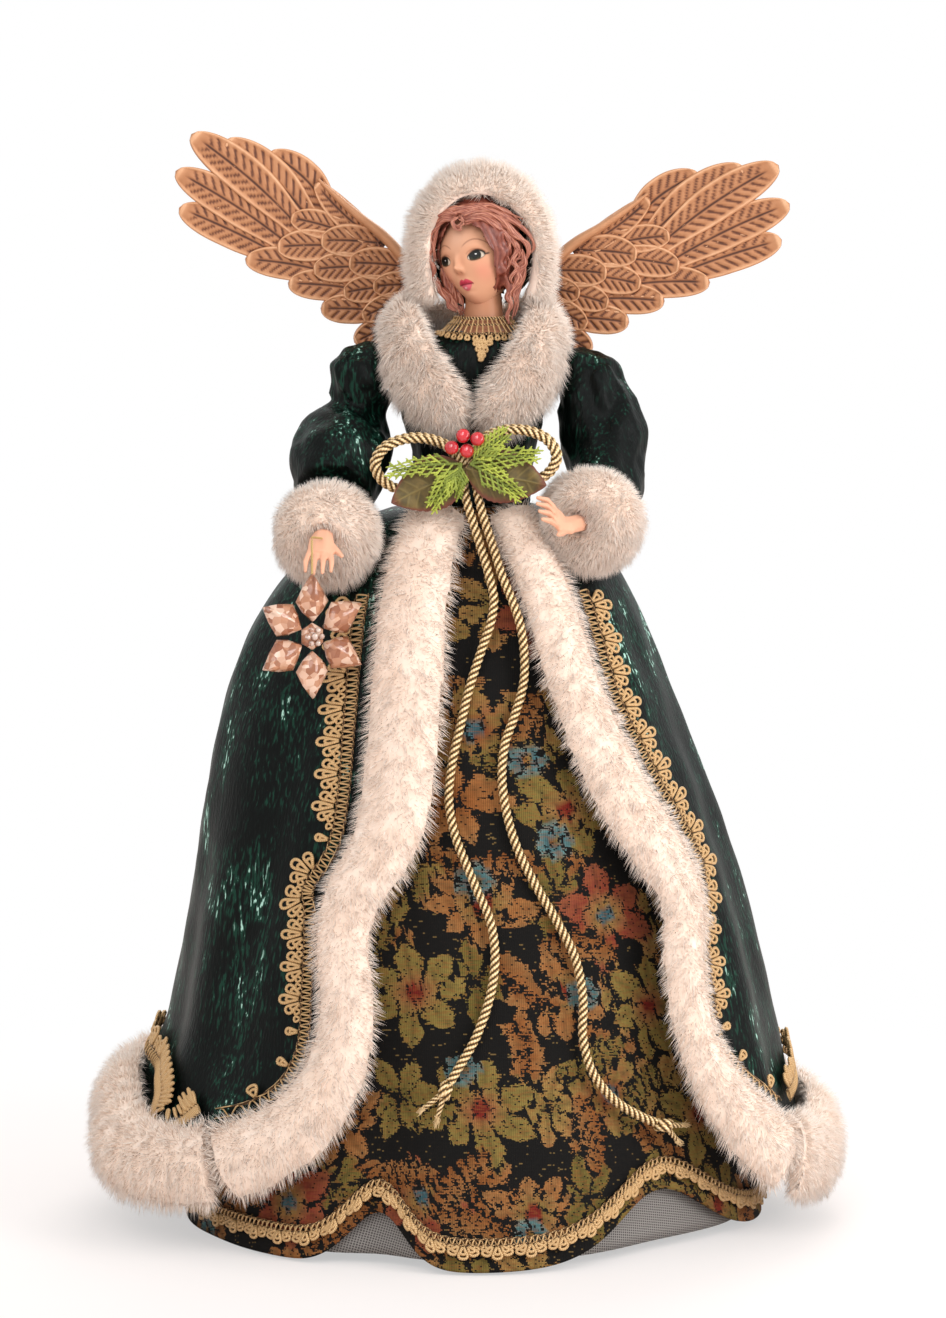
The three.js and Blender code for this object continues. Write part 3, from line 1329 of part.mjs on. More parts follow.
function buildHolly(bow) {
  const front = bowY - loopTurnGap - cordDiameter / 2 - seatGap;
  const leafY = front;
  const leafStart = bow.knotPlace.clone().add(new THREE.Vector3(0, 0, -0.4 * knotRadius));
  const leaves = leafTipAngles.map((angle, k) => {
    const place = new THREE.Vector3(leafStart.x, leafY - k * (leafThickness + seatGap), leafStart.z);
    return leaf(place, angle);
  });
  addPart('leaf_right', leaves[0], 'leaf');
  addPart('leaf_left', leaves[1], 'leaf');
  ['right', 'left'].forEach((name, k) => {
    const start = bow.knotPlace.clone();
    start.x += (2 * k - 1) * 0.4 * knotRadius;
    const leafFront = leafY - leafThickness - k * (leafThickness + seatGap);
    start.y = leafFront - seatGap - sprigLeafRadius;
    const sprigs = sprayTipShares[k].map(([x, z]) => {
      return sprig(start, start.clone().add(new THREE.Vector3(x * sprigLength, 0, z * sprigLength)));
    });
    addPart(`cedar_spray_${name}`, joined(sprigs), 'sprig');
  });
  const made = [];
  berryShares.forEach(([x, z, depth], k) => {
    const y = leafY - leafThickness - seatGap - berryRadius * (1 + depth);
    const place = new THREE.Vector3(bowX + x * berryRadius, y, bowHeight + z * berryRadius);
    const size = new THREE.Vector3(berryRadius, berryRadius, berryRadius);
    const ball = ellipsoid(size, place, new THREE.Euler(), 8, 5);
    const away = place.clone().sub(bow.knotPlace).normalize();
    const foot = bow.knotPlace.clone().addScaledVector(away, knotRadius + seatGap);
    const stem = tube([foot, foot.clone().lerp(place, 0.5), place], berryStemRadius, 4, 2);
    made.push(addPart(`berry_${k + 1}`, clearOf(joined([ball, stem]), made), 'berry'));
  });
}

// The wire that ties the bow to the front of the bodice
function buildBowWire(knot, bodice) {
  const front = new THREE.Vector3(bowX, bowY, bowHeight);
  const back = new THREE.Vector3(bowX, 0, bowHeight);
  const wire = tube([front, front.clone().lerp(back, 0.5), back], bowWireRadius, 6, 2);
  addPart('bow_wire', clearOf(wire, [knot, bodice]), 'wire');
}

// Snowflake: six kite-shaped petals round a hub, hung on a thread from her right hand
function petal(angle) {
  const length = petalLength;
  const start = flakeHubRadius + seatGap;
  const shoulder = start + petalShoulderShare * length;
  const points = [
    [start, 0, 0], [start + length, 0, 0],
    [shoulder, petalHalfWidth, 0], [shoulder, -petalHalfWidth, 0],
    [shoulder, 0, petalHalfThickness], [shoulder, 0, -petalHalfThickness],
  ];
  const sides = [2, 4, 3, 5];
  const indices = [];
  sides.forEach((side, k) => {
    const next = sides[(k + 1) % sides.length];
    indices.push(0, next, side, 1, side, next);
  });
  const geometry = new THREE.BufferGeometry();
  const flat = points.flatMap(([along, across, out]) => [along, -out, across]);
  geometry.setAttribute('position', new THREE.Float32BufferAttribute(flat, 3));
  geometry.setIndex(indices);
  geometry.rotateY(-angle);
  return facingOut(geometry);
}

function buildSnowflake() {
  const flake = new THREE.Group();
  flake.position.set(flakeX, flakeY, flakeCentreHeight);
  flake.rotation.z = flakeTurn;
  const hub = new THREE.CylinderGeometry(flakeHubRadius, flakeHubRadius, flakeHubThickness, 6);
  hub.rotateY(30 * degree);
  const hubMesh = new THREE.Mesh(hub, new THREE.MeshStandardMaterial(finishes.acrylic));
  hubMesh.name = 'snowflake_hub';
  flake.add(hubMesh);
  for (let k = 0; k < 6; k += 1) {
    const shape = petal(90 * degree + turn * k / 6);
    const mesh = new THREE.Mesh(shape, new THREE.MeshStandardMaterial(finishes.acrylic));
    mesh.name = `snowflake_petal_${k + 1}`;
    flake.add(mesh);
  }
  angel.add(flake);
}

function buildThread() {
  const top = flakeCentreHeight + flakeHubRadius + petalLength + 2 * seatGap;
  const start = new THREE.Vector3(flakeX, flakeY, top);
  const end = new THREE.Vector3(flakeX, flakeY, threadHangHeight);
  addPart('hanging_thread', tube([start, start.clone().lerp(end, 0.5), end], threadRadius, 6, 2), 'cord');
  const loopStart = end.clone().add(new THREE.Vector3(0, 0, threadRadius + seatGap));
  const loopEnd = loopStart.clone().add(new THREE.Vector3(threadReachX, threadReachY, -threadReachDrop));
  const loopTop = loopStart.clone().lerp(loopEnd, 0.5).add(new THREE.Vector3(0, 0, threadRadius));
  addPart('thread_loop', tube([loopStart, loopTop, loopEnd], threadRadius, 6, 3), 'cord');
}

buildCone();
const coat = buildSkirts();
const frontFurs = buildFrontFur();
buildBraids(buildHemFur(frontFurs));
buildTapestryHemBraid();
const shoulderWire = buildShoulderWire();
const trunk = buildTrunk();
buildTorso(trunk, shoulderWire);
const head = buildHead();
const bodice = buildBodice(trunk, shoulderWire);
const hair = buildHair(head);
const neckBraid = buildNeckBraid(bodice);
const hood = buildHood(head, hair);
const rightSleeve = buildArm(
  'right', -1, rightSleeveShares, rightSleeveFullShares, rightCuffShares, rightPalmShares,
  new THREE.Vector3(0, -0.6, 0.8), -1,
);
const leftSleeve = buildArm(
  'left', 1, leftSleeveShares, leftSleeveFullShares, leftCuffShares, leftPalmShares,
  new THREE.Vector3(0, -0.75, 0.65), -1,
);
buildCollar([
  bodice, neckRoom(neckPlateRadius), hair, neckBraid, ...hood, rightSleeve, leftSleeve,
  swungOut(rightSleeve, -1), swungOut(leftSleeve, 1),
]);
buildWings(bodice);
const bow = buildBow();
buildBowWire(bow.knot, bodice);
buildTail('right', tailPoints(rightTailHang, rightTailShares), [-14 * degree, 16 * degree]);
buildTail('left', tailPoints(leftTailHang, leftTailShares), [-50 * degree, -12 * degree]);
buildHolly(bow);
buildSnowflake();
buildThread();

// The origin goes to the middle of the bottom of the whole, measured without the loose tails
const whole = new THREE.Box3();
angel.updateMatrixWorld(true);
const seated = angel.children.filter((child) => !child.name.includes('tail'));
seated.forEach((child) => whole.expandByObject(child));
const middle = whole.getCenter(new THREE.Vector3());
angel.children.forEach((child) => child.position.sub(new THREE.Vector3(middle.x, middle.y, 0)));

export default angel;
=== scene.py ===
import math

import bpy
import numpy as np
from mathutils import Euler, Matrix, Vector
from mathutils.bvhtree import BVHTree


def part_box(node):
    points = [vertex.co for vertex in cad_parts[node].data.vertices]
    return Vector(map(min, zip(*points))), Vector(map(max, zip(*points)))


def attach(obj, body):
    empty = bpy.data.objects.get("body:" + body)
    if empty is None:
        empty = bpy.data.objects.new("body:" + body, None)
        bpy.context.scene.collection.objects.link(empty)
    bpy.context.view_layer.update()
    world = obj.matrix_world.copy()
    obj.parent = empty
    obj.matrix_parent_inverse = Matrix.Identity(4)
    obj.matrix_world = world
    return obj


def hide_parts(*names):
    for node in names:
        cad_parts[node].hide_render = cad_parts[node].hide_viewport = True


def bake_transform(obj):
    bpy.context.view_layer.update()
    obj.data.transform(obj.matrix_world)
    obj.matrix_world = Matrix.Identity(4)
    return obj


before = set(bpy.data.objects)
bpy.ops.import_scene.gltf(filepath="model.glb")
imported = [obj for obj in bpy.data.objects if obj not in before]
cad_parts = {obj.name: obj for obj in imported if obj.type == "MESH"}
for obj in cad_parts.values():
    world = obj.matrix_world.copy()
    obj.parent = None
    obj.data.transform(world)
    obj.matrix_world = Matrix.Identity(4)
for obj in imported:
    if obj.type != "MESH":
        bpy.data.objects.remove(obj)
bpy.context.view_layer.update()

# The figure stands on a stiff cone whose middle line is the axis that everything is measured from.
# The pieces below are written in millimetres from that axis, and mm turns them into metres.
mm = 0.001
cone_low, cone_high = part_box("base_cone")
axis = Vector(((cone_low.x + cone_high.x) / 2, (cone_low.y + cone_high.y) / 2, 0))


def place(points):
    """Points in millimetres from the figure's axis, as metres in the frame."""
    return np.asarray(points, float) * mm + np.array(axis)


def pick(*objects):
    """Only these objects are selected, and the first is active."""
    bpy.ops.object.select_all(action="DESELECT")
    for o in objects:
        o.select_set(True)
    bpy.context.view_layer.objects.active = objects[0]


def linear(colour):
    """An sRGB hex colour as linear red, green, blue and alpha."""
    parts = [int(colour[k : k + 2], 16) / 255 for k in (1, 3, 5)]
    return tuple(c / 12.92 if c <= 0.04045 else ((c + 0.055) / 1.055) ** 2.4 for c in parts) + (1,)


def add_node(material, kind, inputs=None, stops=None, **settings):
    """Adds one node: settings are its own fields; inputs are its sockets, each a value or an output to link."""
    node = material.node_tree.nodes.new("ShaderNode" + kind)
    for name, value in settings.items():
        setattr(node, name, value)
    for name, value in (inputs or {}).items():
        if isinstance(value, bpy.types.NodeSocket):
            material.node_tree.links.new(value, node.inputs[name])
        else:
            node.inputs[name].default_value = value
    for k, (position, colour) in enumerate(stops or []):
        ramp = node.color_ramp.elements
        stop = ramp[k] if k < 2 else ramp.new(position)
        stop.position = position
        stop.color = linear(colour)
    return node


def new_material(name):
    """An empty material and its output node."""
    material = bpy.data.materials.new(name)
    material.use_nodes = True
    material.node_tree.nodes.clear()
    return material, add_node(material, "OutputMaterial")


# The camera stands 1.7 m away and 6 degrees above the middle of the figure, as in the photograph.
# One pixel of the 946 by 1318 picture is 0.3765 mm at the axis.
camera_distance = 1.7
camera_elevation = math.radians(6)
aim_height = 209.4 * mm
pixel_size = 0.3765 * mm
sensor = 36
bpy.ops.object.camera_add()
camera = bpy.context.object
camera.location = axis + Vector(
    (
        0,
        -camera_distance * math.cos(camera_elevation),
        aim_height + camera_distance * math.sin(camera_elevation)
    )
)
camera.rotation_euler = (math.radians(90) - camera_elevation, 0, 0)
camera.data.sensor_fit = "HORIZONTAL"
camera.data.sensor_width = sensor
camera.data.lens = sensor * camera_distance / (pixel_size * 946)
camera.data.clip_end = 50
bpy.context.scene.camera = camera
bpy.context.scene.view_settings.view_transform = "Standard"

# A white floor in a white room, lit by soft lamps: one in front on the left, a stronger one on the right,
# and one behind.
# The camera sees the floor nearly white, and the floor keeps the figure's shadow.
bpy.ops.mesh.primitive_plane_add(size=30)
floor = bpy.context.object
floor.name = "studio_floor"
paper, paper_out = new_material("white background paper")
paper_matt = add_node(paper, "BsdfDiffuse", {"Color": linear("#f6ebe6")})
paper_glow = add_node(paper, "Emission", {"Color": (1, 1, 1, 1), "Strength": 1.0})
paper_ray = add_node(paper, "LightPath")
paper_spot = add_node(paper, "TexCoord")
paper_far = add_node(paper, "VectorMath", {0: paper_spot.outputs["Object"]}, operation="LENGTH")
paper_share = add_node(
    paper,
    "MapRange",
    {0: paper_far.outputs["Value"], 1: 0.12, 2: 0.42, 3: 0.5, 4: 1.0},
    interpolation_type="SMOOTHSTEP"
)
paper_seen = add_node(
    paper, "Math", {0: paper_ray.outputs["Is Camera Ray"], 1: paper_share.outputs[0]}, operation="MULTIPLY"
)
paper_mix = add_node(
    paper, "MixShader", {0: paper_seen.outputs[0], 1: paper_matt.outputs[0], 2: paper_glow.outputs[0]}
)
paper.node_tree.links.new(paper_mix.outputs[0], paper_out.inputs["Surface"])
floor.data.materials.append(paper)

room = bpy.data.worlds.new("white studio room")
bpy.context.scene.world = room
room.use_nodes = True
room.node_tree.nodes.clear()
room_light = add_node(room, "Background", {"Color": (1, 1, 1, 1), "Strength": 0.78})
room_seen = add_node(room, "Background", {"Color": (1, 1, 1, 1), "Strength": 1.0})
room_ray = add_node(room, "LightPath")
room_camera = add_node(
    room,
    "Math",
    {0: room_ray.outputs["Is Camera Ray"], 1: room_ray.outputs["Is Transmission Ray"]},
    operation="MAXIMUM"
)
room_any = add_node(
    room, "Math", {0: room_camera.outputs[0], 1: room_ray.outputs["Is Glossy Ray"]}, operation="MAXIMUM"
)
room_mix = add_node(
    room, "MixShader", {0: room_any.outputs[0], 1: room_light.outputs[0], 2: room_seen.outputs[0]}
)
add_node(room, "OutputWorld", {"Surface": room_mix.outputs[0]})

lamps = [
    ("key_softbox", (-0.35, -1.6, 1.2), 1.1, 11),
    ("right_softbox", (1.3, -0.9, 0.8), 0.9, 16),
    ("back_softbox", (0.3, 1.3, 1.3), 1.0, 14),
]
for name, spot, size, power in lamps:
    bpy.ops.object.light_add(type="AREA", location=spot)
    lamp = bpy.context.object
    lamp.name = name
    lamp.data.size = size
    lamp.data.energy = power
    toward = Vector((0, 0, 0.2)) - Vector(spot)
    lamp.rotation_euler = toward.to_track_quat("-Z", "Y").to_euler()

# Two tails of twisted gold cord, 3.4 mm thick, hang from the bow over the fur and the tapestry.
# Each is three strands laid together, and ends in an overhand knot with a frayed tip.
# They are bought trimming cord of metallic thread, tied and glued at the bow.


def curve_through(points, count, ring=False):
    """A smooth curve through points of any dimension, as count evenly spaced points."""
    p = np.asarray(points, float)
    if ring:
        p = np.vstack([p[-1], p, p[0], p[1]])
    else:
        p = np.vstack([2 * p[0] - p[1], p, 2 * p[-1] - p[-2]])
    fine = []
    for k in range(1, len(p) - 2):
        x0, x1, x2, x3 = p[k - 1 : k + 3]
        d0, d1, d2 = (max(np.linalg.norm(b - a), 1e-6) ** 0.5 for a, b in ((x0, x1), (x1, x2), (x2, x3)))
        t1 = ((x1 - x0) / d0 - (x2 - x0) / (d0 + d1) + (x2 - x1) / d1) * d1
        t2 = ((x2 - x1) / d1 - (x3 - x1) / (d1 + d2) + (x3 - x2) / d2) * d1
        t = np.linspace(0, 1, 60, endpoint=False)[:, None]
        fine.append(x1 + t1 * t + (3 * (x2 - x1) - 2 * t1 - t2) * t**2 + (2 * (x1 - x2) + t1 + t2) * t**3)
    fine = np.vstack(fine + [p[-2:-1]])
    run = np.concatenate([[0], np.cumsum(np.linalg.norm(np.diff(fine, axis=0), axis=1))])
    at = np.linspace(0, run[-1], count, endpoint=not ring)
    return np.stack([np.interp(at, run, fine[:, k]) for k in range(p.shape[1])], axis=1)


def route_length(points):
    return float(np.linalg.norm(np.diff(points, axis=0), axis=1).sum())


def grid_faces(rows, columns, wrap_rows=False, wrap_columns=False, start=0):
    """Four-cornered faces between neighbouring points of a grid."""
    r = np.arange(rows if wrap_rows else rows - 1)[:, None]
    c = np.arange(columns if wrap_columns else columns - 1)[None, :]
    r2, c2 = (r + 1) % rows, (c + 1) % columns
    corners = [r * columns + c, r * columns + c2, r2 * columns + c2, r2 * columns + c]
    return np.stack(
        [np.broadcast_to(k, (len(r), c.shape[1])) for k in corners], axis=-1
    ).reshape(-1, 4) + start


def build(name, points, faces, uv=None, smooth=True, repair=True, **values):
    """A mesh object from points in millimetres and faces, with a UV point and named values for each vertex."""
    groups = [np.asarray(f, int) for f in (faces if isinstance(faces, list) else [faces]) if len(f)]
    mesh = bpy.data.meshes.new(name)
    points = np.asarray(points, float)
    mesh.vertices.add(len(points))
    mesh.vertices.foreach_set("co", place(points).astype(np.float32).ravel())
    sizes = np.concatenate([np.full(len(f), f.shape[1]) for f in groups])
    corners = np.concatenate([f.ravel() for f in groups])
    mesh.loops.add(len(corners))
    mesh.loops.foreach_set("vertex_index", corners.astype(np.int32))
    mesh.polygons.add(len(sizes))
    mesh.polygons.foreach_set("loop_start", np.concatenate([[0], np.cumsum(sizes)[:-1]]).astype(np.int32))
    mesh.update(calc_edges=True)
    if uv is not None:
        layer = mesh.uv_layers.new(name="UVMap")
        layer.data.foreach_set("uv", np.asarray(uv, float)[corners].astype(np.float32).ravel())
    for key, value in values.items():
        value = np.asarray(value, float)
        kind = "FLOAT" if value.ndim == 1 else "FLOAT_COLOR"
        layer = mesh.attributes.new(key, kind, "POINT")
        layer.data.foreach_set("value" if kind == "FLOAT" else "color", value.astype(np.float32).ravel())
    o = bpy.data.objects.new(name, mesh)
    bpy.context.collection.objects.link(o)
    pick(o)
    if smooth:
        bpy.ops.object.shade_smooth()
    if repair:
        bpy.ops.object.mode_set(mode="EDIT")
        bpy.ops.mesh.select_all(action="SELECT")
        bpy.ops.mesh.normals_make_consistent(inside=False)
        bpy.ops.object.mode_set(mode="OBJECT")
    return o


def join_parts(parts):
    """Several (points, list of faces, values) as one, with the faces renumbered."""
    points, faces, values, start = [], [], {}, 0
    for part_points, part_faces, part_values in parts:
        points.append(part_points)
        faces += [np.asarray(f, int) + start for f in part_faces]
        for key, value in part_values.items():
            values.setdefault(key, []).append(value)
        start += len(part_points)
    return np.vstack(points), faces, {key: np.concatenate(value) for key, value in values.items()}


def sweep(path, section, up=(0, 0, 1), ring=False):
    """A closed skin of a section (rings, sides, 2) carried along a path, its frame turned as little as can be."""
    path = np.asarray(path, float)
    if ring:
        ahead = np.roll(path, -1, axis=0) - np.roll(path, 1, axis=0)
    else:
        ahead = np.gradient(path, axis=0)
    ahead /= np.linalg.norm(ahead, axis=1)[:, None]
    normal = np.cross(np.cross(ahead[0], up), ahead[0])
    if np.linalg.norm(normal) < 1e-6:
        normal = np.array([0.0, 1.0, 0.0])
    normals = []
    for direction in ahead:
        normal = normal - direction * (normal @ direction)
        normal /= np.linalg.norm(normal)
        normals.append(normal)
    normals = np.array(normals)
    sideways = np.cross(ahead, normals)
    points = path[:, None] + section[:, :, 0:1] * normals[:, None] + section[:, :, 1:2] * sideways[:, None]
    rings, sides = points.shape[:2]
    faces = [grid_faces(rings, sides, wrap_rows=ring, wrap_columns=True)]
    flat = points.reshape(-1, 3)
    if not ring:
        ends = np.vstack([points[0].mean(0), points[-1].mean(0)])
        k = np.arange(sides)
        foot = np.stack([np.full(sides, rings * sides), (k + 1) % sides, k], axis=1)
        base = (rings - 1) * sides
        head_cap = np.stack([np.full(sides, rings * sides + 1), base + k, base + (k + 1) % sides], axis=1)
        flat = np.vstack([flat, ends])
        faces.append(np.vstack([foot, head_cap]))
    return flat, faces


def rope(path, radius, pitch, sides=21, ring=False, strands=3, squeeze=None):
    """Strands laid together into a rope that follows the path: points, faces and values."""
    count = len(path)
    run = np.concatenate([[0], np.cumsum(np.linalg.norm(np.diff(path, axis=0), axis=1))])
    if ring:
        pitch = run[-1] / max(round(run[-1] / pitch), 1)
    angle = 2 * math.pi * np.arange(sides) / sides
    strand = radius * (0.54 if strands == 3 else 0.5)
    off = radius - strand
    local = angle[None, :] - 2 * math.pi * run[:, None] / pitch
    local = (local + math.pi / strands) % (2 * math.pi / strands) - math.pi / strands
    reach = off * np.cos(local) + np.sqrt(np.maximum(strand**2 - (off * np.sin(local)) ** 2, 0))
    if squeeze is not None:
        reach = reach * squeeze[:, None]
    section = np.stack([reach * np.cos(angle), reach * np.sin(angle)], axis=-1)
    points, faces = sweep(path, section, ring=ring)
    # The relief value is low in the grooves between strands and high on their crowns; the materials turn it into
    # painted shade and painted highlights.
    relief = (reach / reach.max(axis=1, keepdims=True) - 0.72) / 0.28
    twist = local * strands / (2 * math.pi) + 0.5
    along = np.repeat(run, sides)
    extra = len(points) - count * sides
    pad = np.zeros(extra)
    uv = np.stack([np.concatenate([twist.ravel(), pad]), np.concatenate([along, pad])], axis=1)
    return points, faces, {"relief": np.concatenate([relief.ravel(), pad + 0.5]), "uv": uv}


def fray(root, direction, length, radius, count, random):
    """A short brush of loose threads at a cord's end."""
    parts = []
    direction = np.array(direction, float) / np.linalg.norm(direction)
    for _ in range(count):
        spread = random.normal(0, 0.2, 3)
        tip = root + (direction + spread) * length * random.uniform(0.7, 1.1)
        middle = (root + tip) / 2 + random.normal(0, 0.35, 3)
        start = root + random.normal(0, radius * 0.4, 3)
        path = curve_through([start, middle, tip], 7)
        angle = 2 * math.pi * np.arange(4) / 4
        width = np.linspace(0.22, 0.1, 7)[:, None]
        section = np.stack([width * np.cos(angle), width * np.sin(angle)], axis=-1)
        points, faces = sweep(path, section)
        values = {"relief": np.full(len(points), 0.8), "uv": np.zeros((len(points), 2))}
        parts.append((points, faces, values))
    return parts


def thread_material(name, stops, metallic, roughness):
    """Twisted shiny thread: fine slanting fibres, with painted shade in the grooves and painted highlights on the
    crowns and along the fibres.
    """
    thread, out = new_material(name)
    uv = add_node(thread, "UVMap", uv_map="UVMap")
    relief = add_node(thread, "Attribute", attribute_name="relief")
    split = add_node(thread, "SeparateXYZ", {0: uv.outputs[0]})
    along = add_node(thread, "Math", {0: split.outputs[1], 1: 9.0}, operation="MULTIPLY")
    across = add_node(thread, "Math", {0: split.outputs[0], 1: 16.0}, operation="MULTIPLY")
    phase = add_node(thread, "Math", {0: along.outputs[0], 1: across.outputs[0]}, operation="ADD")
    wave = add_node(thread, "Math", {0: phase.outputs[0]}, operation="SINE")
    lift = add_node(thread, "MapRange", {0: wave.outputs[0], 1: -1.0, 2: 1.0, 3: -0.16, 4: 0.16})
    # Painted shade and painted highlights: the relief value plus the fibre wave sets how dark or light each spot is
    # coloured.
    shade_and_highlight = add_node(thread, "Math", {0: relief.outputs["Fac"], 1: lift.outputs[0]}, operation="ADD")
    ramp = add_node(thread, "ValToRGB", {0: shade_and_highlight.outputs[0]}, stops)
    fibres = add_node(thread, "Bump", {"Height": wave.outputs[0], "Strength": 0.45, "Distance": 0.0001})
    look = {
        "Base Color": ramp.outputs[0],
        "Metallic": metallic,
        "Roughness": roughness,
        "Normal": fibres.outputs[0]
    }
    shader = add_node(thread, "BsdfPrincipled", look)
    thread.node_tree.links.new(shader.outputs[0], out.inputs[0])
    return thread


# The darkest stop is painted shade in the grooves and the palest a painted highlight on the crowns.
gold_cord = thread_material(
    "twisted metallic gold cord", [
        (0.0, "#3c2811"), (0.95, "#f0d8ab"), (0.3, "#80602f"), (0.62, "#bd955c")
    ], 0.35, 0.42
)


def gold_rope(name, parts, thread=gold_cord):
    points, faces, values = join_parts(parts)
    o = build(name, points, faces, uv=values["uv"], relief=values["relief"])
    o.data.materials.append(thread)
    return o


cord_radius = 1.7
tail_routes = {
    "right": [
        (-3.4, -43, 279.5), (-2.4, -44.6, 272.5), (-0.2, -45, 265), (2.6, -46.4, 256), (5.8, -50.7, 245.5),
        (7.6, -53.7, 236.6), (6.5, -56.5, 228.8), (3.3, -57.8, 219.4), (-1.1, -61.8, 206), (-4.3, -66.1, 193),
        (-7.6, -70.6, 178.6), (-8.7, -74.6, 165.7), (-6.5, -78.3, 153.8), (-2.5, -81.4, 143.7), (1.4, -83.9, 134.6),
        (6.1, -86.6, 124.1), (7.9, -89.6, 111.9), (6.5, -93, 99.1), (1.1, -97, 83.5), (-5.4, -99.5, 72.3),
        (-8.3, -100.6, 67.5),
    ],
    "left": [
        (0.9, -43, 279.5), (2.2, -44.6, 272.5), (4.2, -45.2, 265), (7.2, -46.8, 256), (10.5, -50.8, 245.5),
        (14.2, -53.9, 236.6), (17.2, -57.4, 227.7), (18.6, -58.4, 217.7), (18.4, -60.2, 207.2), (15.2, -64, 195.7),
        (11.6, -67.8, 185.6), (10.5, -71.8, 173.7), (12.3, -75.6, 160.7), (16.2, -78.5, 148.4), (22.3, -80.6, 136.3),
        (30.3, -82, 122.7), (36.8, -83, 109.7), (39.6, -85.7, 95.5), (39.6, -89.2, 81.6), (43, -90.9, 69.5),
        (51, -89.6, 59), (61.5, -84.4, 51.6), (66, -81.4, 49.2),
    ],
}
threads = np.random.default_rng(5)
tails = {}
for side, route in tail_routes.items():
    path = curve_through(route, 700)
    length = route_length(path)
    tail = gold_rope("gold_tail_" + side, [rope(path, cord_radius, 7.5)])
    ahead = path[-1] - path[-6]
    ahead /= np.linalg.norm(ahead)
    outward = np.array([path[-1][0], path[-1][1], 0]) / np.linalg.norm(path[-1][:2])
    across = np.cross(ahead, outward)
    centre = path[-1] + ahead * 3.0 + outward * 1.3
    turns = np.linspace(0, 2 * math.pi * 1.6, 90)[:, None]
    wound = centre + (
        ahead * np.cos(turns) + outward * np.sin(turns)
    ) * 1.9 + across * np.linspace(-1.5, 1.5, 90)[:, None]
    parts = [rope(wound, 1.5, 7.0)]
    for spread in (0.35, -0.25):
        direction = ahead * math.cos(spread) + across * math.sin(spread)
        stub = curve_through(
            [
                centre + direction * 1.5,
                centre + direction * 7 - outward * 0.8,
                centre + direction * 9.5 - outward * 1.4
            ],
            24
        )
        parts.append(rope(stub, 1.2, 6.0, squeeze=np.linspace(1, 0.75, 24)))
        parts += fray(stub[-1], direction - outward * 0.1, 3.6, 1.2, 26, threads)
    knot = gold_rope("gold_tail_knot_" + side, parts)
    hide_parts("bow_tail_" + side)
    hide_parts("tail_knot_" + side)
    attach(tail, "figure")
    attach(knot, "figure")
    tails[side] = tail

# The tapestry skirt is a wide cone of jacquard cloth, cut flat as a sector and hung over a net petticoat.
# It has two soft folds at the front, and its hem dips between them.
# The cloth has a black ground with leaves and flowers in olive gold, tan, brick red, blue green and pinkish tan.
waist = 268.0
degree = math.pi / 180


def smooth_step(start, end, value):
    t = np.clip((value - start) / (end - start), 0, 1)
    return t * t * (3 - 2 * t)


def bump(value, centre, spread):
    return np.exp(-(((value - centre) / spread) ** 2))


def mix(a, b, t):
    return a + (b - a) * t


def along_list(values, share):
    values = np.asarray(values, float)
    return np.interp(np.asarray(share) * (len(values) - 1), np.arange(len(values)), values)


def skirt_radius(angle, height):
    rise = np.clip(height / waist, 0, 1)
    front = np.maximum(np.cos(angle), 0) ** 2
    back = np.maximum(-np.cos(angle), 0) ** 2
    side = np.sin(angle) ** 2
    hem = 113 * front + 110 * side + 96 * back
    power = 0.6 * front + 0.5 * (side + back)
    return 20.6 + (hem - 20.6) * np.maximum(1 - rise, 0) ** power


def fold_at(angle):
    turned = (angle + math.pi) % (2 * math.pi) - math.pi
    return 0.85 * bump(turned, -19 * degree, 8 * degree) + bump(turned, 42 * degree, 17 * degree)


def tapestry_radius(angle, height):
    return skirt_radius(angle, height) - 7 * fold_at(angle) * np.clip(1 - height / waist, 0, 1) ** 2


def tapestry_hem(angle):
    return 1 + 22 * fold_at(angle)


def coat_radius(angle, height):
    turned = np.abs((angle + math.pi) % (2 * math.pi) - math.pi)
    side = smooth_step(20 * degree, 80 * degree, turned)
    drop = 1 - height / waist
    puff_size = mix(2.5, 15.5, side)
    puff = puff_size * (1 - np.exp(-drop / 0.06))
    flare_size = mix(6, mix(22, 4, (1 + np.sin(angle)) / 2), side)
    flare = flare_size * smooth_step(0, 1, (80 - height) / 80)
    folding = smooth_step(62 * degree, 80 * degree, turned) * smooth_step(0, 1, drop)
    lean = 10 * bump(1 - drop, 0.8, 0.3) * puff / puff_size * side * np.sin(angle)
    return skirt_radius(angle, height) + 1.7 + puff + flare + 1.6 * np.cos(8 * turned) * folding - lean


def ring_point(angle, radius, height):
    return np.stack(np.broadcast_arrays(radius * np.sin(angle), -radius * np.cos(angle), height), axis=-1)


def on_surface(radius_at, angle, height, lift):
    """Points at a distance square to a skirt's surface."""
    step = waist / 500
    slope = (radius_at(angle, height + step) - radius_at(angle, height - step)) / (2 * step)
    size = np.sqrt(1 + slope**2)
    return ring_point(angle, radius_at(angle, height) + lift / size, height - lift * slope / size)


def wobble(points, size, seed):
    """Smooth made-up unevenness of about -1 to 1 at points in millimetres, for dents no smaller than size."""
    random = np.random.default_rng(seed)
    total = np.zeros(points.shape[:-1])
    for _ in range(9):
        direction = random.normal(0, 1, 3)
        direction *= random.uniform(0.6, 1.3) * 2 * math.pi / (size * np.linalg.norm(direction))
        total += np.sin(points @ direction + random.uniform(0, 6.28))
    return total / 4


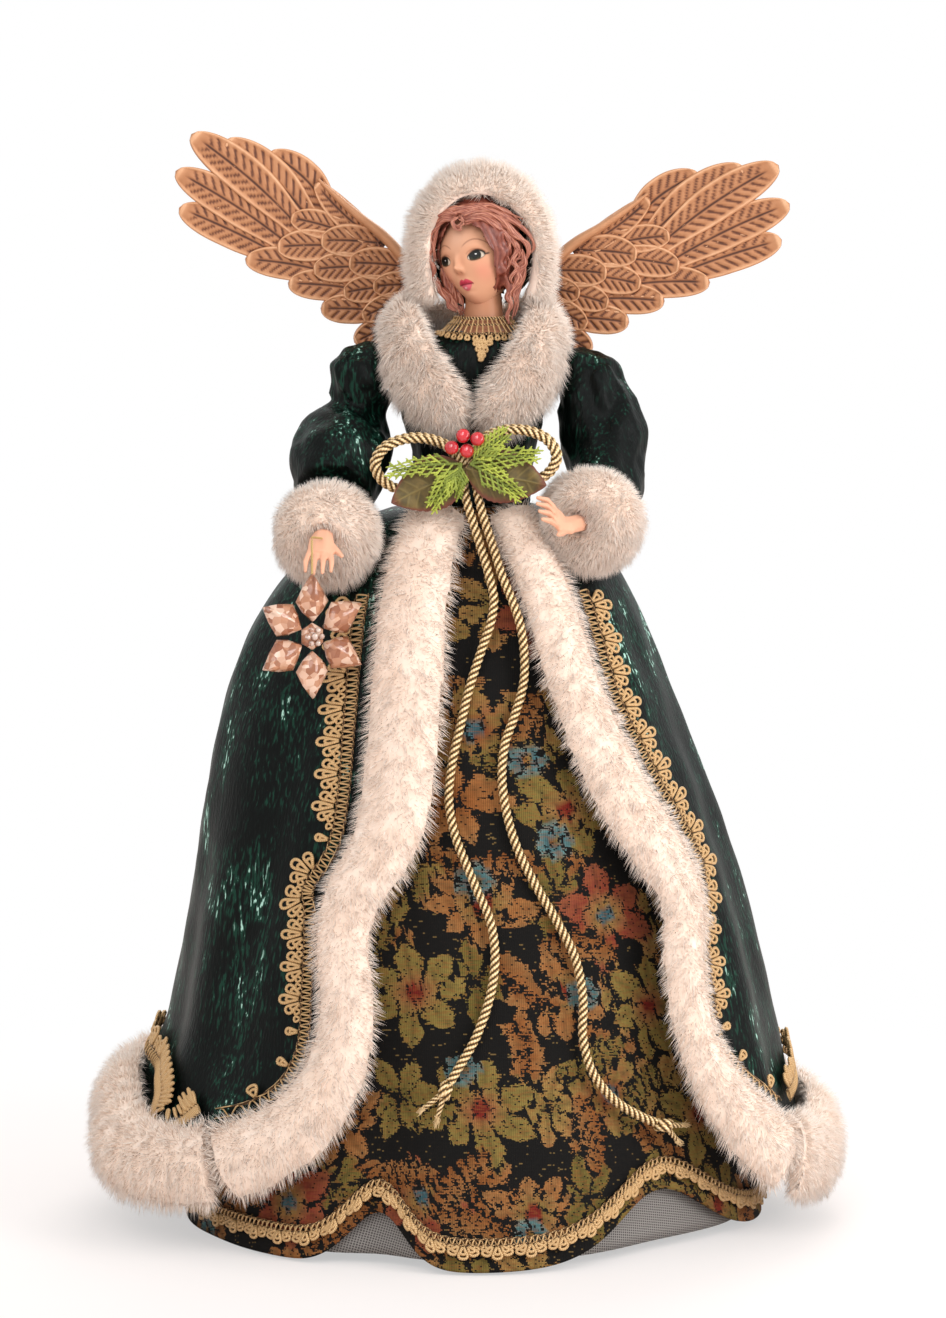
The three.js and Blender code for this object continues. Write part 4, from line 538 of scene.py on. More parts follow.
def hung_sheet(name, radius_at, bottom_at, angles, thickness, rows, unevenness, wrap, top=waist):
    """A hung cloth: down its outside and up its inside at each angle."""
    share = (1 - np.cos(math.pi * np.arange(rows + 1) / rows)) / 2
    share = mix(share, np.arange(rows + 1) / rows, 0.6)
    height = mix(top, bottom_at[:, None], share[None, :])
    angle = angles(height) if callable(angles) else np.broadcast_to(angles[:, None], height.shape)
    radius = radius_at(angle, height)
    outside = ring_point(angle, radius, height)
    radius = radius + unevenness(outside)
    outside = ring_point(angle, radius, height)
    inside = ring_point(angle, radius - thickness, height)[:, ::-1]
    loops = np.concatenate([outside, inside], axis=1)
    columns, size = loops.shape[:2]
    faces = [grid_faces(columns, size, wrap_rows=wrap, wrap_columns=True)]
    if not wrap:
        k = np.arange(rows)
        end = np.stack([k, k + 1, size - 2 - k, size - 1 - k], axis=1)
        faces += [end, (end + (columns - 1) * size)[:, ::-1]]
    slant = np.concatenate(
        [np.zeros((columns, 1)), np.cumsum(np.linalg.norm(np.diff(outside, axis=1), axis=2), axis=1)], axis=1
    )
    reach = 68 + slant
    flat = np.stack([reach * np.sin(angle * 0.3), -reach * np.cos(angle * 0.3)], axis=-1)
    uv = np.concatenate([flat, flat[:, ::-1]], axis=1).reshape(-1, 2)
    o = build(name, loops.reshape(-1, 3), faces, uv=uv)
    edges = np.linalg.norm(np.diff(outside, axis=0), axis=2)
    widths = (edges[:, 1:] + edges[:, :-1]) / 2
    downs = np.diff(slant, axis=1)
    area = float((widths * (downs[1:] + downs[:-1]) / 2).sum()) * mm * mm
    return o, area


# The columns are close together in front, where the coat is open, and wide apart under the coat
front_angles = np.linspace(-68, 68, 213) * degree
around = np.concatenate([front_angles, np.linspace(68, 292, 86)[1:-1] * degree])
tapestry, tapestry_area = hung_sheet(
    "tapestry_cloth", tapestry_radius, tapestry_hem(around), around, 1.2, 122, lambda p: 0.35 * wobble(p, 45, 3), True
)
uv_points = np.empty(2 * len(tapestry.data.loops), np.float32)
tapestry.data.uv_layers[0].data.foreach_get("uv", uv_points)
corner_points = np.empty(len(tapestry.data.loops), np.int32)
tapestry.data.loops.foreach_get("vertex_index", corner_points)
flat_cloth = np.empty((len(tapestry.data.vertices), 2))
flat_cloth[corner_points] = uv_points.reshape(-1, 2)
motif_inside = np.full(len(flat_cloth), -6.0)
motif_paint = np.tile(np.array(linear("#14110d")), (len(flat_cloth), 1))
bloom = np.random.default_rng(19)


def stamp(centre, turned, length, width, base, tip, outline=1.5, pointed=1.9, start=0.0):
    """Weaves one petal or leaf into the cloth: an oval with a dark outline, from its base colour to its tip colour."""
    away = flat_cloth - centre
    near = np.abs(away).max(axis=1) < length + 4
    away = away[near]
    along = away[:, 0] * math.cos(turned) + away[:, 1] * math.sin(turned) - start - length / 2
    across = -away[:, 0] * math.sin(turned) + away[:, 1] * math.cos(turned)
    inside = width / 2 * (1 - np.abs(2 * along / length) ** pointed) - np.abs(across)
    cover = inside > -outline
    chosen = np.flatnonzero(near)[cover]
    motif_inside[chosen] = inside[cover]
    share = np.clip(along[cover] / length + 0.5, 0, 1)[:, None]
    vein = np.exp(-((across[cover] / 0.8) ** 2))[:, None] * 0.45
    tone = mix(np.array(linear(base)), np.array(linear(tip)), share)
    motif_paint[chosen] = tone * (1 - vein) + np.array(linear("#2a2414")) * vein


olive, straw, tan, orange = "#7b6c33", "#9c8646", "#b5834f", "#9c5a26"
brick, teal, rose = "#86241a", "#3f6a74", "#a25a3e"
flower_kinds = [
    (7, 17, 11.0, olive, straw, rose, brick),
    (6, 16, 12.5, rose, straw, brick, teal),
    (8, 15, 8.5, orange, tan, olive, brick),
    (6, 17, 12.0, brick, rose, straw, teal),
    (7, 16, 10.5, straw, olive, tan, brick),
]
centres = []
for row in range(9):
    for column in range(-4, 5):
        spot = np.array(
            [column * 43 + (21.5 if row % 2 else 0), -84 - 35 * row], float
        ) + bloom.uniform(-6, 6, 2)
        centres.append(spot)
# Curved stems with small paired leaves, in orange and tan
for spot in centres:
    heading = bloom.uniform(0, 2 * math.pi)
    for k in range(9):
        spot = spot + 4.2 * np.array([math.cos(heading), math.sin(heading)])
        heading += 0.22
        if k > 2:
            for hand in (-1, 1):
                stamp(spot, heading + hand * 0.9, 7.2, 3.8, orange, tan, outline=1.0)
# Leaves in fans between the flowers
for spot in centres:
    middle = spot + np.array([21.5, 4]) + bloom.uniform(-3, 3, 2)
    first = bloom.uniform(0, 2 * math.pi)
    base, tip = [(olive, straw), (olive, olive), (orange, tan), (straw, tan)][bloom.integers(4)]
    for k in range(6):
        stamp(
            middle,
            first + k * 1.047 + bloom.uniform(-0.2, 0.2),
            bloom.uniform(13, 17),
            bloom.uniform(6.5, 8.5),
            base,
            tip,
            start=1.5
        )
# Large flowers: outer petals, a ring of inner petals and a small heart
for spot in centres:
    petals, length, width, base, tip, inner, heart = flower_kinds[bloom.integers(5)]
    first = bloom.uniform(0, 2 * math.pi)
    for k in range(petals):
        grow = bloom.uniform(0.78, 1.15)
        turned = first + k * 2 * math.pi / petals + bloom.normal(0, 0.12)
        stamp(spot, turned, length * grow, width * 0.84, base, tip, start=2.0, pointed=2.2, outline=1.8)
    for k in range(5):
        stamp(spot, first + 0.4 + k * 1.257, 8.5, 7.0, inner, tip, start=0.5, pointed=2.4, outline=1.0)
    stamp(spot, first, 5.6, 5.6, heart, heart, start=-2.8, pointed=2.2, outline=1.0)
# One-sided combs of slim curved leaves, in orange, tan and straw
for spot in centres:
    spot = spot + (21, 15) + bloom.uniform(-5, 5, 2)
    heading = bloom.uniform(0, 2 * math.pi)
    shades = (orange, tan) if bloom.uniform() < 0.6 else (olive, straw)
    for k in range(8):
        spot = spot + 4.3 * np.array([math.cos(heading), math.sin(heading)])
        heading += 0.2
        stamp(spot, heading + 1.15, 6 + 6.5 * math.sin(0.4 * k + 0.4), 3.0, *shades, outline=1.2, pointed=2.4)
# Small teal posies
for spot in centres[1::3]:
    middle = spot + bloom.uniform(-16, 16, 2)
    for k in range(5):
        stamp(middle, k * 1.257, 5.4, 4.8, teal, "#6f9a98", start=0.8, pointed=2.4, outline=1.2)
    stamp(middle, 0, 3.0, 3.0, orange, straw, start=-1.5, outline=0.6)
inside_layer = tapestry.data.attributes.new("inside", "FLOAT", "POINT")
inside_layer.data.foreach_set("value", motif_inside.astype(np.float32))
paint_layer = tapestry.data.attributes.new("motif", "FLOAT_COLOR", "POINT")
paint_layer.data.foreach_set("color", motif_paint.astype(np.float32).ravel())

# Thread by thread the motifs' edges are ragged, threads of the ground show through, and light and dark threads mix.
# The threads are drawn at 0.6 mm, about one and a half times their real size, so that they show.
jacquard, jacquard_out = new_material("woven jacquard tapestry cloth")
thread_pitch = 0.6
cloth_uv = add_node(jacquard, "UVMap", uv_map="UVMap")
inside = add_node(jacquard, "Attribute", attribute_name="inside")
motif = add_node(jacquard, "Attribute", attribute_name="motif")
thread_cell = add_node(
    jacquard,
    "VectorMath",
    {0: cloth_uv.outputs[0], 1: (thread_pitch, thread_pitch * 0.8, 1)},
    operation="SNAP"
)
chance = add_node(jacquard, "TexWhiteNoise", {"Vector": thread_cell.outputs[0]}, noise_dimensions="2D")
flat_cell = add_node(
    jacquard, "VectorMath", {0: thread_cell.outputs[0], 1: (0.3, 1.4, 1)}, operation="MULTIPLY"
)
weft_streak = add_node(
    jacquard, "TexNoise", {"Vector": flat_cell.outputs[0], "Scale": 1.0, "Detail": 1.0}, noise_dimensions="2D"
)


def number(operation, *values):
    return add_node(jacquard, "Math", dict(enumerate(values)), operation=operation).outputs[0]


ragged = number(
    "ADD",
    number("MULTIPLY", number("SUBTRACT", chance.outputs[0], 0.5), 1.3),
    number("MULTIPLY", number("SUBTRACT", weft_streak.outputs[0], 0.5), 2.6)
)
shown = number("GREATER_THAN", number("ADD", inside.outputs["Fac"], ragged), 0.0)
fleck = number(
    "GREATER_THAN", number("ADD", weft_streak.outputs[0], number("MULTIPLY", chance.outputs[0], 0.2)), 0.86
)
ground = add_node(jacquard, "Mix", {0: fleck, 6: linear("#0d0b09"), 7: linear("#6f5a34")}, data_type="RGBA")
skipped = number("GREATER_THAN", chance.outputs[0], 0.05)
cover = number("MULTIPLY", shown, skipped)
warmed = add_node(jacquard, "MapRange", {0: weft_streak.outputs[0], 1: 0.48, 2: 0.62, 3: 0.0, 4: 0.5})
flame = add_node(
    jacquard, "Mix", {0: warmed.outputs[0], 6: motif.outputs["Color"], 7: linear("#7c4722")}, data_type="RGBA"
)
woven = add_node(jacquard, "Mix", {0: cover, 6: ground.outputs[2], 7: flame.outputs[2]}, data_type="RGBA")
cloth_split = add_node(jacquard, "SeparateXYZ", {0: cloth_uv.outputs[0]})
# The weave's sines darken the gaps between threads and lighten their crowns: painted shade and painted light. The weft
# streaks are real tone that differs from thread to thread.
warp = number("SINE", number("MULTIPLY", cloth_split.outputs[0], 2 * math.pi / thread_pitch))
weft = number("SINE", number("MULTIPLY", cloth_split.outputs[1], 2 * math.pi / (thread_pitch * 0.8)))
weave = number("MULTIPLY", number("ADD", warp, weft), 0.5)
weave_shade_and_tone = number("MULTIPLY", number("ADD", weave, number("MULTIPLY", weft_streak.outputs[0], 2.4)), 1.0)
shade = add_node(jacquard, "MapRange", {0: weave_shade_and_tone, 1: -0.2, 2: 2.4, 3: 0.3, 4: 1.0})
cloth = add_node(
    jacquard,
    "Mix",
    {0: 1.0, 6: woven.outputs[2], 7: shade.outputs[0]},
    data_type="RGBA",
    blend_type="MULTIPLY"
)
weave_bump = add_node(jacquard, "Bump", {"Height": weave, "Strength": 0.5, "Distance": 0.00015})
jacquard_shader = add_node(
    jacquard, "BsdfPrincipled", {
        "Base Color": cloth.outputs[2],
        "Roughness": 0.85,
        "Specular IOR Level": 0.2,
        "Normal": weave_bump.outputs[0]
    }
)
jacquard.node_tree.links.new(jacquard_shader.outputs[0], jacquard_out.inputs[0])
tapestry.data.materials.append(jacquard)
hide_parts("tapestry_skirt")
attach(tapestry, "figure")

# Under it a stiff grey net petticoat holds the skirt out, and its edge shows a little below the hem.
# It is nylon net of about 1.6 mm mesh, sewn into a cone and hung from the same waist.
def net_radius(angle, height):
    return tapestry_radius(angle, height) - 1.5 - 3 * smooth_step(0, 0.05, 1 - height / waist)


net_around = 2 * math.pi * np.arange(180) / 180
petticoat, petticoat_area = hung_sheet(
    "net_cloth",
    net_radius,
    np.full(180, 4.0),
    net_around,
    1.0,
    36,
    lambda p: 0.2 * wobble(p, 30, 8),
    True,
    waist - 27
)
net, net_out = new_material("stiff nylon net")
net_uv = add_node(net, "UVMap", uv_map="UVMap")
net_cells = add_node(
    net,
    "TexVoronoi",
    {"Vector": net_uv.outputs[0], "Scale": 1.1, "Randomness": 0.1},
    feature="DISTANCE_TO_EDGE",
    voronoi_dimensions="2D"
)
# The holes are painted dark grey: painted shade of the dark inside of the skirt, seen through the net. The threads are
# grey.
net_hole_shade = add_node(net, "MapRange", {0: net_cells.outputs["Distance"], 1: 0.12, 2: 0.2, 3: 0.0, 4: 1.0})
net_colour = add_node(net, "ValToRGB", {0: net_hole_shade.outputs[0]}, [(0.0, "#8f8b87"), (1.0, "#45413f")])
net_shader = add_node(net, "BsdfPrincipled", {"Base Color": net_colour.outputs[0], "Roughness": 0.8})
net.node_tree.links.new(net_shader.outputs[0], net_out.inputs[0])
petticoat.data.materials.append(net)
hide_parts("petticoat_net")
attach(petticoat, "figure")

# The coat's skirt is crushed velvet, cut as one wide piece, open at the front, lined and pleated in at the waist.
# It stands out over the hips, hangs in loose flutes at the sides and back, and its hem rises towards the front.
# The velvet is very dark green; its teal sheen in streaks and patches where the pile is crushed is painted into its
# colour as highlights, with rare painted glints.
right_edge = np.array([
    (-23, 0.985), (-22.4, 0.883), (-20.3, 0.754), (-19.9, 0.623), (-21.8, 0.556), (-28.2, 0.489),
    (-29.2, 0.423), (-26.8, 0.358), (-26.5, 0.295), (-29.4, 0.224), (-36, 0.165), (-46, 0.123),
])
left_edge = np.array([
    (25.1, 0.985), (28.7, 0.883), (32.4, 0.75), (40.1, 0.616), (46.1, 0.549), (50.9, 0.478),
    (48.2, 0.414), (47, 0.347), (47.5, 0.28), (51.5, 0.21), (56, 0.16), (63, 0.115),
])
hem_edge = np.array([
    (-46, 0.123), (-59, 0.11), (-73, 0.127), (-90, 0.165), (-130, 0.17), (-180, 0.155),
    (-230, 0.14), (-265, 0.12), (-284, 0.098), (-297, 0.115),
])


def edge_angle(table, share):
    return np.interp(-share, -table[:, 1], table[:, 0]) * degree


def hem_height(angle):
    turned = angle / degree
    k = np.clip(np.searchsorted(-hem_edge[:, 0], -turned, side="right"), 1, len(hem_edge) - 1)
    start, end = hem_edge[k - 1], hem_edge[k]
    return waist * mix(
        start[:, 1], end[:, 1], smooth_step(0, 1, (turned - start[:, 0]) / (end[:, 0] - start[:, 0]))
    )


def velvet_material(name, dark, middle, light, glint):
    """Crushed velvet, nearly black face on, with painted sheen: fine upright dashes of laid pile, broad soft streaks
    and rare painted glints, all in the base colour.
    """
    velvet, out = new_material(name)
    spot = add_node(velvet, "TexCoord")
    long_spot = add_node(
        velvet, "VectorMath", {0: spot.outputs["Object"], 1: (1, 1, 0.16)}, operation="MULTIPLY"
    )
    dashes = add_node(
        velvet, "TexNoise", {"Vector": long_spot.outputs[0], "Scale": 950.0, "Detail": 2.0, "Distortion": 0.3}
    )
    streaks = add_node(
        velvet, "TexNoise", {"Vector": long_spot.outputs[0], "Scale": 130.0, "Detail": 2.5, "Roughness": 0.55}
    )
    patches = add_node(
        velvet,
        "TexNoise",
        {"Vector": spot.outputs["Object"], "Scale": 30.0, "Detail": 2.0, "Distortion": 0.8}
    )
    broad = add_node(velvet, "Math", {0: streaks.outputs[0], 1: patches.outputs[0]}, operation="ADD")
    dash_part = add_node(velvet, "MapRange", {0: dashes.outputs[0], 1: 0.32, 2: 0.68, 3: -0.34, 4: 0.34})
    laid = add_node(velvet, "Math", {0: broad.outputs[0], 1: dash_part.outputs[0]}, operation="ADD")
    scaled = add_node(velvet, "MapRange", {0: laid.outputs[0], 1: 0.6, 2: 1.55})
    # The light colour is painted sheen and the glint colour a painted highlight.
    stops = [(0.3, dark), (0.97, glint), (0.52, middle), (0.72, light), (0.86, light)]
    pile = add_node(velvet, "ValToRGB", {0: scaled.outputs[0]}, stops)
    dents = add_node(velvet, "Bump", {"Height": dashes.outputs[0], "Strength": 0.5, "Distance": 0.0006})
    look = {
        "Base Color": pile.outputs[0],
        "Roughness": 0.46,
        "Specular IOR Level": 0.12,
        "Sheen Weight": 0.02,
        "Sheen Roughness": 0.4,
        "Sheen Tint": linear("#5fae96"),
        "Normal": dents.outputs[0],
    }
    shader = add_node(velvet, "BsdfPrincipled", look)
    velvet.node_tree.links.new(shader.outputs[0], out.inputs[0])
    return velvet


# The third colour is the painted sheen and the fourth the painted glints.
green_velvet = velvet_material("dark green crushed velvet", "#000302", "#030e0a", "#103428", "#a9d3c4")

coat_share = np.linspace(0, 1, 301)
coat_start = right_edge[-1, 0] * degree
coat_end = (left_edge[-1, 0] - 360) * degree
coat_bottom = hem_height(mix(coat_start, coat_end, coat_share))


def coat_angles(height):
    right = edge_angle(right_edge, height / waist)
    left = edge_angle(left_edge, height / waist) - 2 * math.pi
    return mix(right, left, coat_share[:, None])


def coat_dents(points):
    low = np.clip(1 - points[..., 2] / waist, 0, 1)
    turned = np.arctan2(points[..., 0], -points[..., 1])
    folds = 1.3 * np.sin(
        11 * turned + 0.012 * points[..., 2] + 0.6
    ) + 0.8 * np.sin(19 * turned - 0.02 * points[..., 2])
    return (folds * (0.4 + low) + 0.3 * wobble(points, 20, 22)) * smooth_step(0.03, 0.2, low)


coat, coat_area = hung_sheet(
    "velvet_coat_skirt", coat_radius, coat_bottom, coat_angles, 1.4, 84, coat_dents, False
)
coat.data.materials.append(green_velvet)
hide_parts("coat_skirt")
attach(coat, "figure")

# The bodice and the back of the hood are the same velvet, glued over the trunk and round the back of the head.
# Each starts as a close copy of its solid, made of even small faces and smoothed, with soft puckers.


def from_solid(name, node, voxel, rounds, shrink=0.0):
    """An even fine mesh in the shape of a CAD node, smoothed and drawn in a little, as its own object."""
    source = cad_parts[node]
    o = source.copy()
    o.data = source.data.copy()
    for key in list(o.keys()):
        del o[key]
    o.name = name
    bpy.context.collection.objects.link(o)
    o.parent = None
    o.matrix_world = source.matrix_world
    o.data.materials.clear()
    o.hide_viewport = o.hide_render = False
    o.hide_set(False)
    pick(o)
    bpy.ops.object.transform_apply(location=True, rotation=True, scale=True)
    bpy.ops.object.mode_set(mode="EDIT")
    bpy.ops.mesh.select_all(action="SELECT")
    bpy.ops.mesh.remove_doubles(threshold=1e-6)
    bpy.ops.mesh.normals_make_consistent(inside=False)
    bpy.ops.object.mode_set(mode="OBJECT")
    remesh = o.modifiers.new("even faces", "REMESH")
    remesh.mode = "VOXEL"
    remesh.voxel_size = voxel * mm
    bpy.ops.object.modifier_apply(modifier=remesh.name)
    soften = o.modifiers.new("soften", "SMOOTH")
    soften.iterations = rounds
    soften.factor = 0.5
    bpy.ops.object.modifier_apply(modifier=soften.name)
    bpy.ops.object.shade_smooth()
    if shrink:
        points, normals = mesh_points(o), mesh_normals(o)
        set_points(o, points - normals * shrink)
    return o


def mesh_points(o):
    """An object's points in millimetres from the figure's axis."""
    flat = np.empty(3 * len(o.data.vertices), np.float32)
    o.data.vertices.foreach_get("co", flat)
    return (flat.reshape(-1, 3).astype(float) - np.array(axis)) / mm


def mesh_normals(o):
    flat = np.empty(3 * len(o.data.vertices), np.float32)
    o.data.vertex_normals.foreach_get("vector", flat)
    return flat.reshape(-1, 3).astype(float)


def set_points(o, points):
    o.data.vertices.foreach_set("co", place(points).astype(np.float32).ravel())
    o.data.update()


for name, node, dent in (("velvet_bodice", "coat_bodice", 0.5), ("velvet_hood_crown", "hood_crown", 0.9)):
    piece = from_solid(name, node, 0.9, 6)
    points, normals = mesh_points(piece), mesh_normals(piece)
    set_points(
        piece, points + normals * (dent * wobble(points, 14, 31) + 0.3 * wobble(points, 6, 32) - 0.3)[:, None]
    )
    piece.data.materials.append(green_velvet)
    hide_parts(node)
    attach(piece, "figure")

# Sleeves: full, ruched tubes of the same velvet over a bent wire, gathered at the shoulder and into the cuff.
# Each is glued to its wire.
for side, sign in (("right", -1), ("left", 1)):
    sleeve = from_solid("velvet_sleeve_" + side, "sleeve_" + side, 0.9, 8)
    points, normals = mesh_points(sleeve), mesh_normals(sleeve)
    down = (329 - points[:, 2]) / 62
    around = np.arctan2(points[:, 1] + 8 + 26 * np.clip(down, 0, 1) ** 2, (points[:, 0] - sign * 47) * sign)
    rings = np.sin(14 * down + 1.4 * np.sin(around * 2 + sign) + 0.6 * wobble(points, 26, 41))
    gathers = np.sin(9 * around + 2 * down)
    swell = 0.9 * rings + 0.45 * gathers * smooth_step(0.35, 0, down) + 0.45 * wobble(points, 9, 42)
    set_points(sleeve, points + normals * (swell * smooth_step(-0.02, 0.15, down))[:, None])
    sleeve.data.materials.append(green_velvet)
    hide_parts("sleeve_" + side)
    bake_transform(sleeve)

# The fur trims are cream fake fur, cut in strips, padded and glued on: down both front edges, round the hem,
# as the collar's two lapels, as cuffs, and as a roll round the hood.
# Each piece is a soft pad with thousands of fine tapered tufts, rooted on it at random and combed outwards and down.
fake_fur, fake_fur_out = new_material("cream fake fur")
fur_spot = add_node(fake_fur, "TexCoord")
fur_along = add_node(fake_fur, "Attribute", attribute_name="along")
fur_tint = add_node(fake_fur, "Attribute", attribute_name="tint")
fur_clouds = add_node(
    fake_fur, "TexNoise", {"Vector": fur_spot.outputs["Object"], "Scale": 90.0, "Detail": 3.0}
)
# The tufts are darker at their roots than at their tips: painted shade down in the pile.
fur_root_shade = add_node(fake_fur, "ValToRGB", {0: fur_clouds.outputs[0]}, [(0.35, "#ead0bc"), (0.7, "#f6e2d2")])
fur_high = add_node(fake_fur, "ValToRGB", {0: fur_tint.outputs["Fac"]}, [(0.0, "#f6e1d1"), (1.0, "#fff8f0")])
fur_mix = add_node(
    fake_fur, "Mix", {
        0: fur_along.outputs["Fac"], 6: fur_root_shade.outputs[0], 7: fur_high.outputs[0]
    }, data_type="RGBA"
)
fur_shader = add_node(
    fake_fur,
    "BsdfPrincipled",
    {
        "Base Color": fur_mix.outputs[2],
        "Roughness": 0.8,
        "Sheen Weight": 0.35,
        "Sheen Roughness": 0.5,
        "Specular IOR Level": 0.2
    },
)
fake_fur.node_tree.links.new(fur_shader.outputs[0], fake_fur_out.inputs[0])


def tufts(roots, directions, lengths, widths, bend, random):
    """Closed three-sided tapered tufts, more than one in four with a bend half way: points, triangles and values."""
    count = len(roots)
    side = np.cross(directions, random.normal(0, 1, (count, 3)))
    side /= np.linalg.norm(side, axis=1)[:, None]
    other = np.cross(directions, side)
    middle = roots + directions * (lengths * 0.5)[:, None]
    tip = middle + (directions + bend) * (lengths * 0.5)[:, None]
    points = np.empty((count, 7, 3))
    for k in range(3):
        turned = side * math.cos(2.0944 * k) + other * math.sin(2.0944 * k)
        points[:, k] = roots + turned * widths[:, None]
        points[:, 3 + k] = middle + turned * (widths * 0.8)[:, None]
    points[:, 6] = tip
    bent = int(count * 0.28)
    bent_faces, straight_faces = [(0, 2, 1)], [(0, 2, 1)]
    for k in range(3):
        n = (k + 1) % 3
        bent_faces += [(k, n, 3 + n), (k, 3 + n, 3 + k), (3 + k, 3 + n, 6)]
        straight_faces.append((k, n, 3))
    first = (np.array(bent_faces)[None] + 7 * np.arange(bent)[:, None, None]).reshape(-1, 3)
    second = (
        np.array(straight_faces)[None] + 7 * bent + 4 * np.arange(count - bent)[:, None, None]
    ).reshape(-1, 3)
    straight = points[bent:][:, [0, 1, 2, 6]]
    along = np.append(
        np.tile([0.25, 0.25, 0.25, 0.75, 0.75, 0.75, 1.0], bent),
        np.tile([0.25, 0.25, 0.25, 1.0], count - bent)
    )
    shade = random.uniform(0, 1, count)
    tint = np.append(np.repeat(shade[:bent], 7), np.repeat(shade[bent:], 4))
    return np.vstack(
        [points[:bent].reshape(-1, 3), straight.reshape(-1, 3)]
    ), [np.vstack([first, second])], {"along": along, "tint": tint}


def fur_piece(name, node, body, count, length, comb, seed, shrink=2.2, keep=None, meets=()):
    """A furry piece in place of a CAD fur node. comb gives a direction in which the tufts lean at each point."""
    random = np.random.default_rng(seed)
    pad = from_solid(name + "_pad", node, 2.3, 6, shrink)
    mesh = pad.data
    mesh.calc_loop_triangles()
    corners = np.empty(3 * len(mesh.loop_triangles), np.int32)
    mesh.loop_triangles.foreach_get("vertices", corners)
    corners = corners.reshape(-1, 3)
    points, normals = mesh_points(pad), mesh_normals(pad)
    if keep is not None:
        corners = corners[keep(points[corners].mean(axis=1))]
    a, b, c = (points[corners[:, k]] for k in range(3))
    area = np.linalg.norm(np.cross(b - a, c - a), axis=1)
    chosen = random.choice(len(corners), count, p=area / area.sum())
    u, v = random.uniform(0, 1, (2, count, 1))
    over = u + v > 1
    u, v = np.where(over, 1 - u, u), np.where(over, 1 - v, v)
    roots = a[chosen] + u * (b - a)[chosen] + v * (c - a)[chosen]
    normal = normals[corners[chosen]].mean(axis=1)
    normal /= np.linalg.norm(normal, axis=1)[:, None]
    clump = np.stack([wobble(roots, 7.0, seed + k) for k in range(3)], axis=1)
    lean = comb(roots, normal)
    direction = 0.6 * normal + 1.7 * lean + 0.2 * clump + random.normal(0, 0.09, (count, 3))
    direction /= np.linalg.norm(direction, axis=1)[:, None]
    droop = 0.6 * lean + np.array([0, 0, -0.2]) + 0.14 * clump
    lengths = length * random.uniform(0.75, 1.1, count) * (1 + 0.12 * wobble(roots, 9.0, seed + 9))
    widths = random.uniform(0.1, 0.18, count)
    for other in meets:
        # Where two strips of fur meet, the tufts stand across the seam and hide it
        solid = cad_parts[other]
        corner_points = (
            np.array([solid.matrix_world @ v.co for v in solid.data.vertices]) - np.array(axis)
        ) / mm
        tree = BVHTree.FromPolygons(corner_points.tolist(), [tuple(p.vertices) for p in solid.data.polygons])
        gap = np.array([tree.find_nearest(Vector(root))[3] for root in roots])
        near = np.clip(1 - gap / 5, 0, 1)
        roots = roots + normal * (2.6 * near)[:, None]
        lengths = lengths * (1 + 0.45 * near)
    hair = tufts(roots - normal * 0.6, direction, lengths, widths, droop, random)
    # The pad under the tufts takes the darker root colour: painted shade.
    pad_values = {"along": np.full(len(points), 0.3), "tint": np.full(len(points), 0.3)}
    if keep is None or node not in fur_pads:
        fur_pads.add(node)
        all_corners = np.empty(3 * len(mesh.loop_triangles), np.int32)
        mesh.loop_triangles.foreach_get("vertices", all_corners)
        parts = [(points, [all_corners.reshape(-1, 3)], pad_values), hair]
    else:
        parts = [hair]
    bpy.data.objects.remove(pad)
    merged, faces, values = join_parts(parts)
    o = build(name, merged, np.vstack(faces), repair=False, along=values["along"], tint=values["tint"])
    o.data.materials.append(fake_fur)
    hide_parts(node)
    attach(o, body)
    return o


fur_pads = set()


def comb_down(roots, normal):
    outward = np.stack([roots[:, 0], roots[:, 1], 0 * roots[:, 2]], axis=1)
    outward /= np.linalg.norm(outward, axis=1)[:, None]
    away = normal - outward * (normal * outward).sum(axis=1)[:, None]
    return 0.35 * away + np.array([0, 0, -0.3])


def comb_hood(roots, normal):
    away = roots - np.array([2.4, roots[:, 1].mean(), 366.0])
    away[:, 1] = 0
    away /= np.linalg.norm(away, axis=1)[:, None]
    return 0.4 * away + np.array([0, -0.1, 0])


fur_piece("fur_edge_right", "fur_front_right", "figure", 17500, 5.2, comb_down, 101, 1.7, meets=["fur_hem"])
fur_piece("fur_edge_left", "fur_front_left", "figure", 17500, 5.2, comb_down, 102, 1.7, meets=["fur_hem"])
fur_piece(
    "fur_hem_front",
    "fur_hem",
    "figure",
    17500,
    5.4,
    comb_down,
    103,
    1.9,
    keep=lambda p: p[:, 1] < 10,
    meets=["fur_front_right", "fur_front_left"]
)
fur_piece("fur_hem_back", "fur_hem", "figure", 13500, 5.4, comb_down, 104, 1.9, keep=lambda p: p[:, 1] >= 10)
fur_piece("fur_lapel_right", "fur_collar_right", "figure", 14500, 6.2, comb_down, 105, 1.7)
fur_piece("fur_lapel_left", "fur_collar_left", "figure", 14500, 6.2, comb_down, 106, 1.7)
fur_piece("fur_cuff_right", "cuff_fur_right", "right_arm", 13500, 4.6, comb_down, 107, 1.7)
fur_piece("fur_cuff_left", "cuff_fur_left", "left_arm", 13500, 4.6, comb_down, 108, 1.7)
fur_piece("fur_hood_roll", "hood_fur", "figure", 16500, 5.0, comb_hood, 109, 1.6)

# Gold gimp braid is glued beside every fur edge, round the tapestry's hem and round the neck.
# It is 14 mm wide: a ladder of thread between two cords, and loops of doubled cord in big and small clusters.
# It is bought trimming of shiny rayon thread with a little metal thread in it.
# Its darkest stop is painted shade in the grooves and its palest a painted highlight on the crowns.
gimp_thread = thread_material(
    "gold rayon gimp braid", [
        (0.0, "#4a3016"), (0.95, "#efd3a4"), (0.3, "#97703f"), (0.62, "#c79f6b")
    ], 0.2, 0.5
)


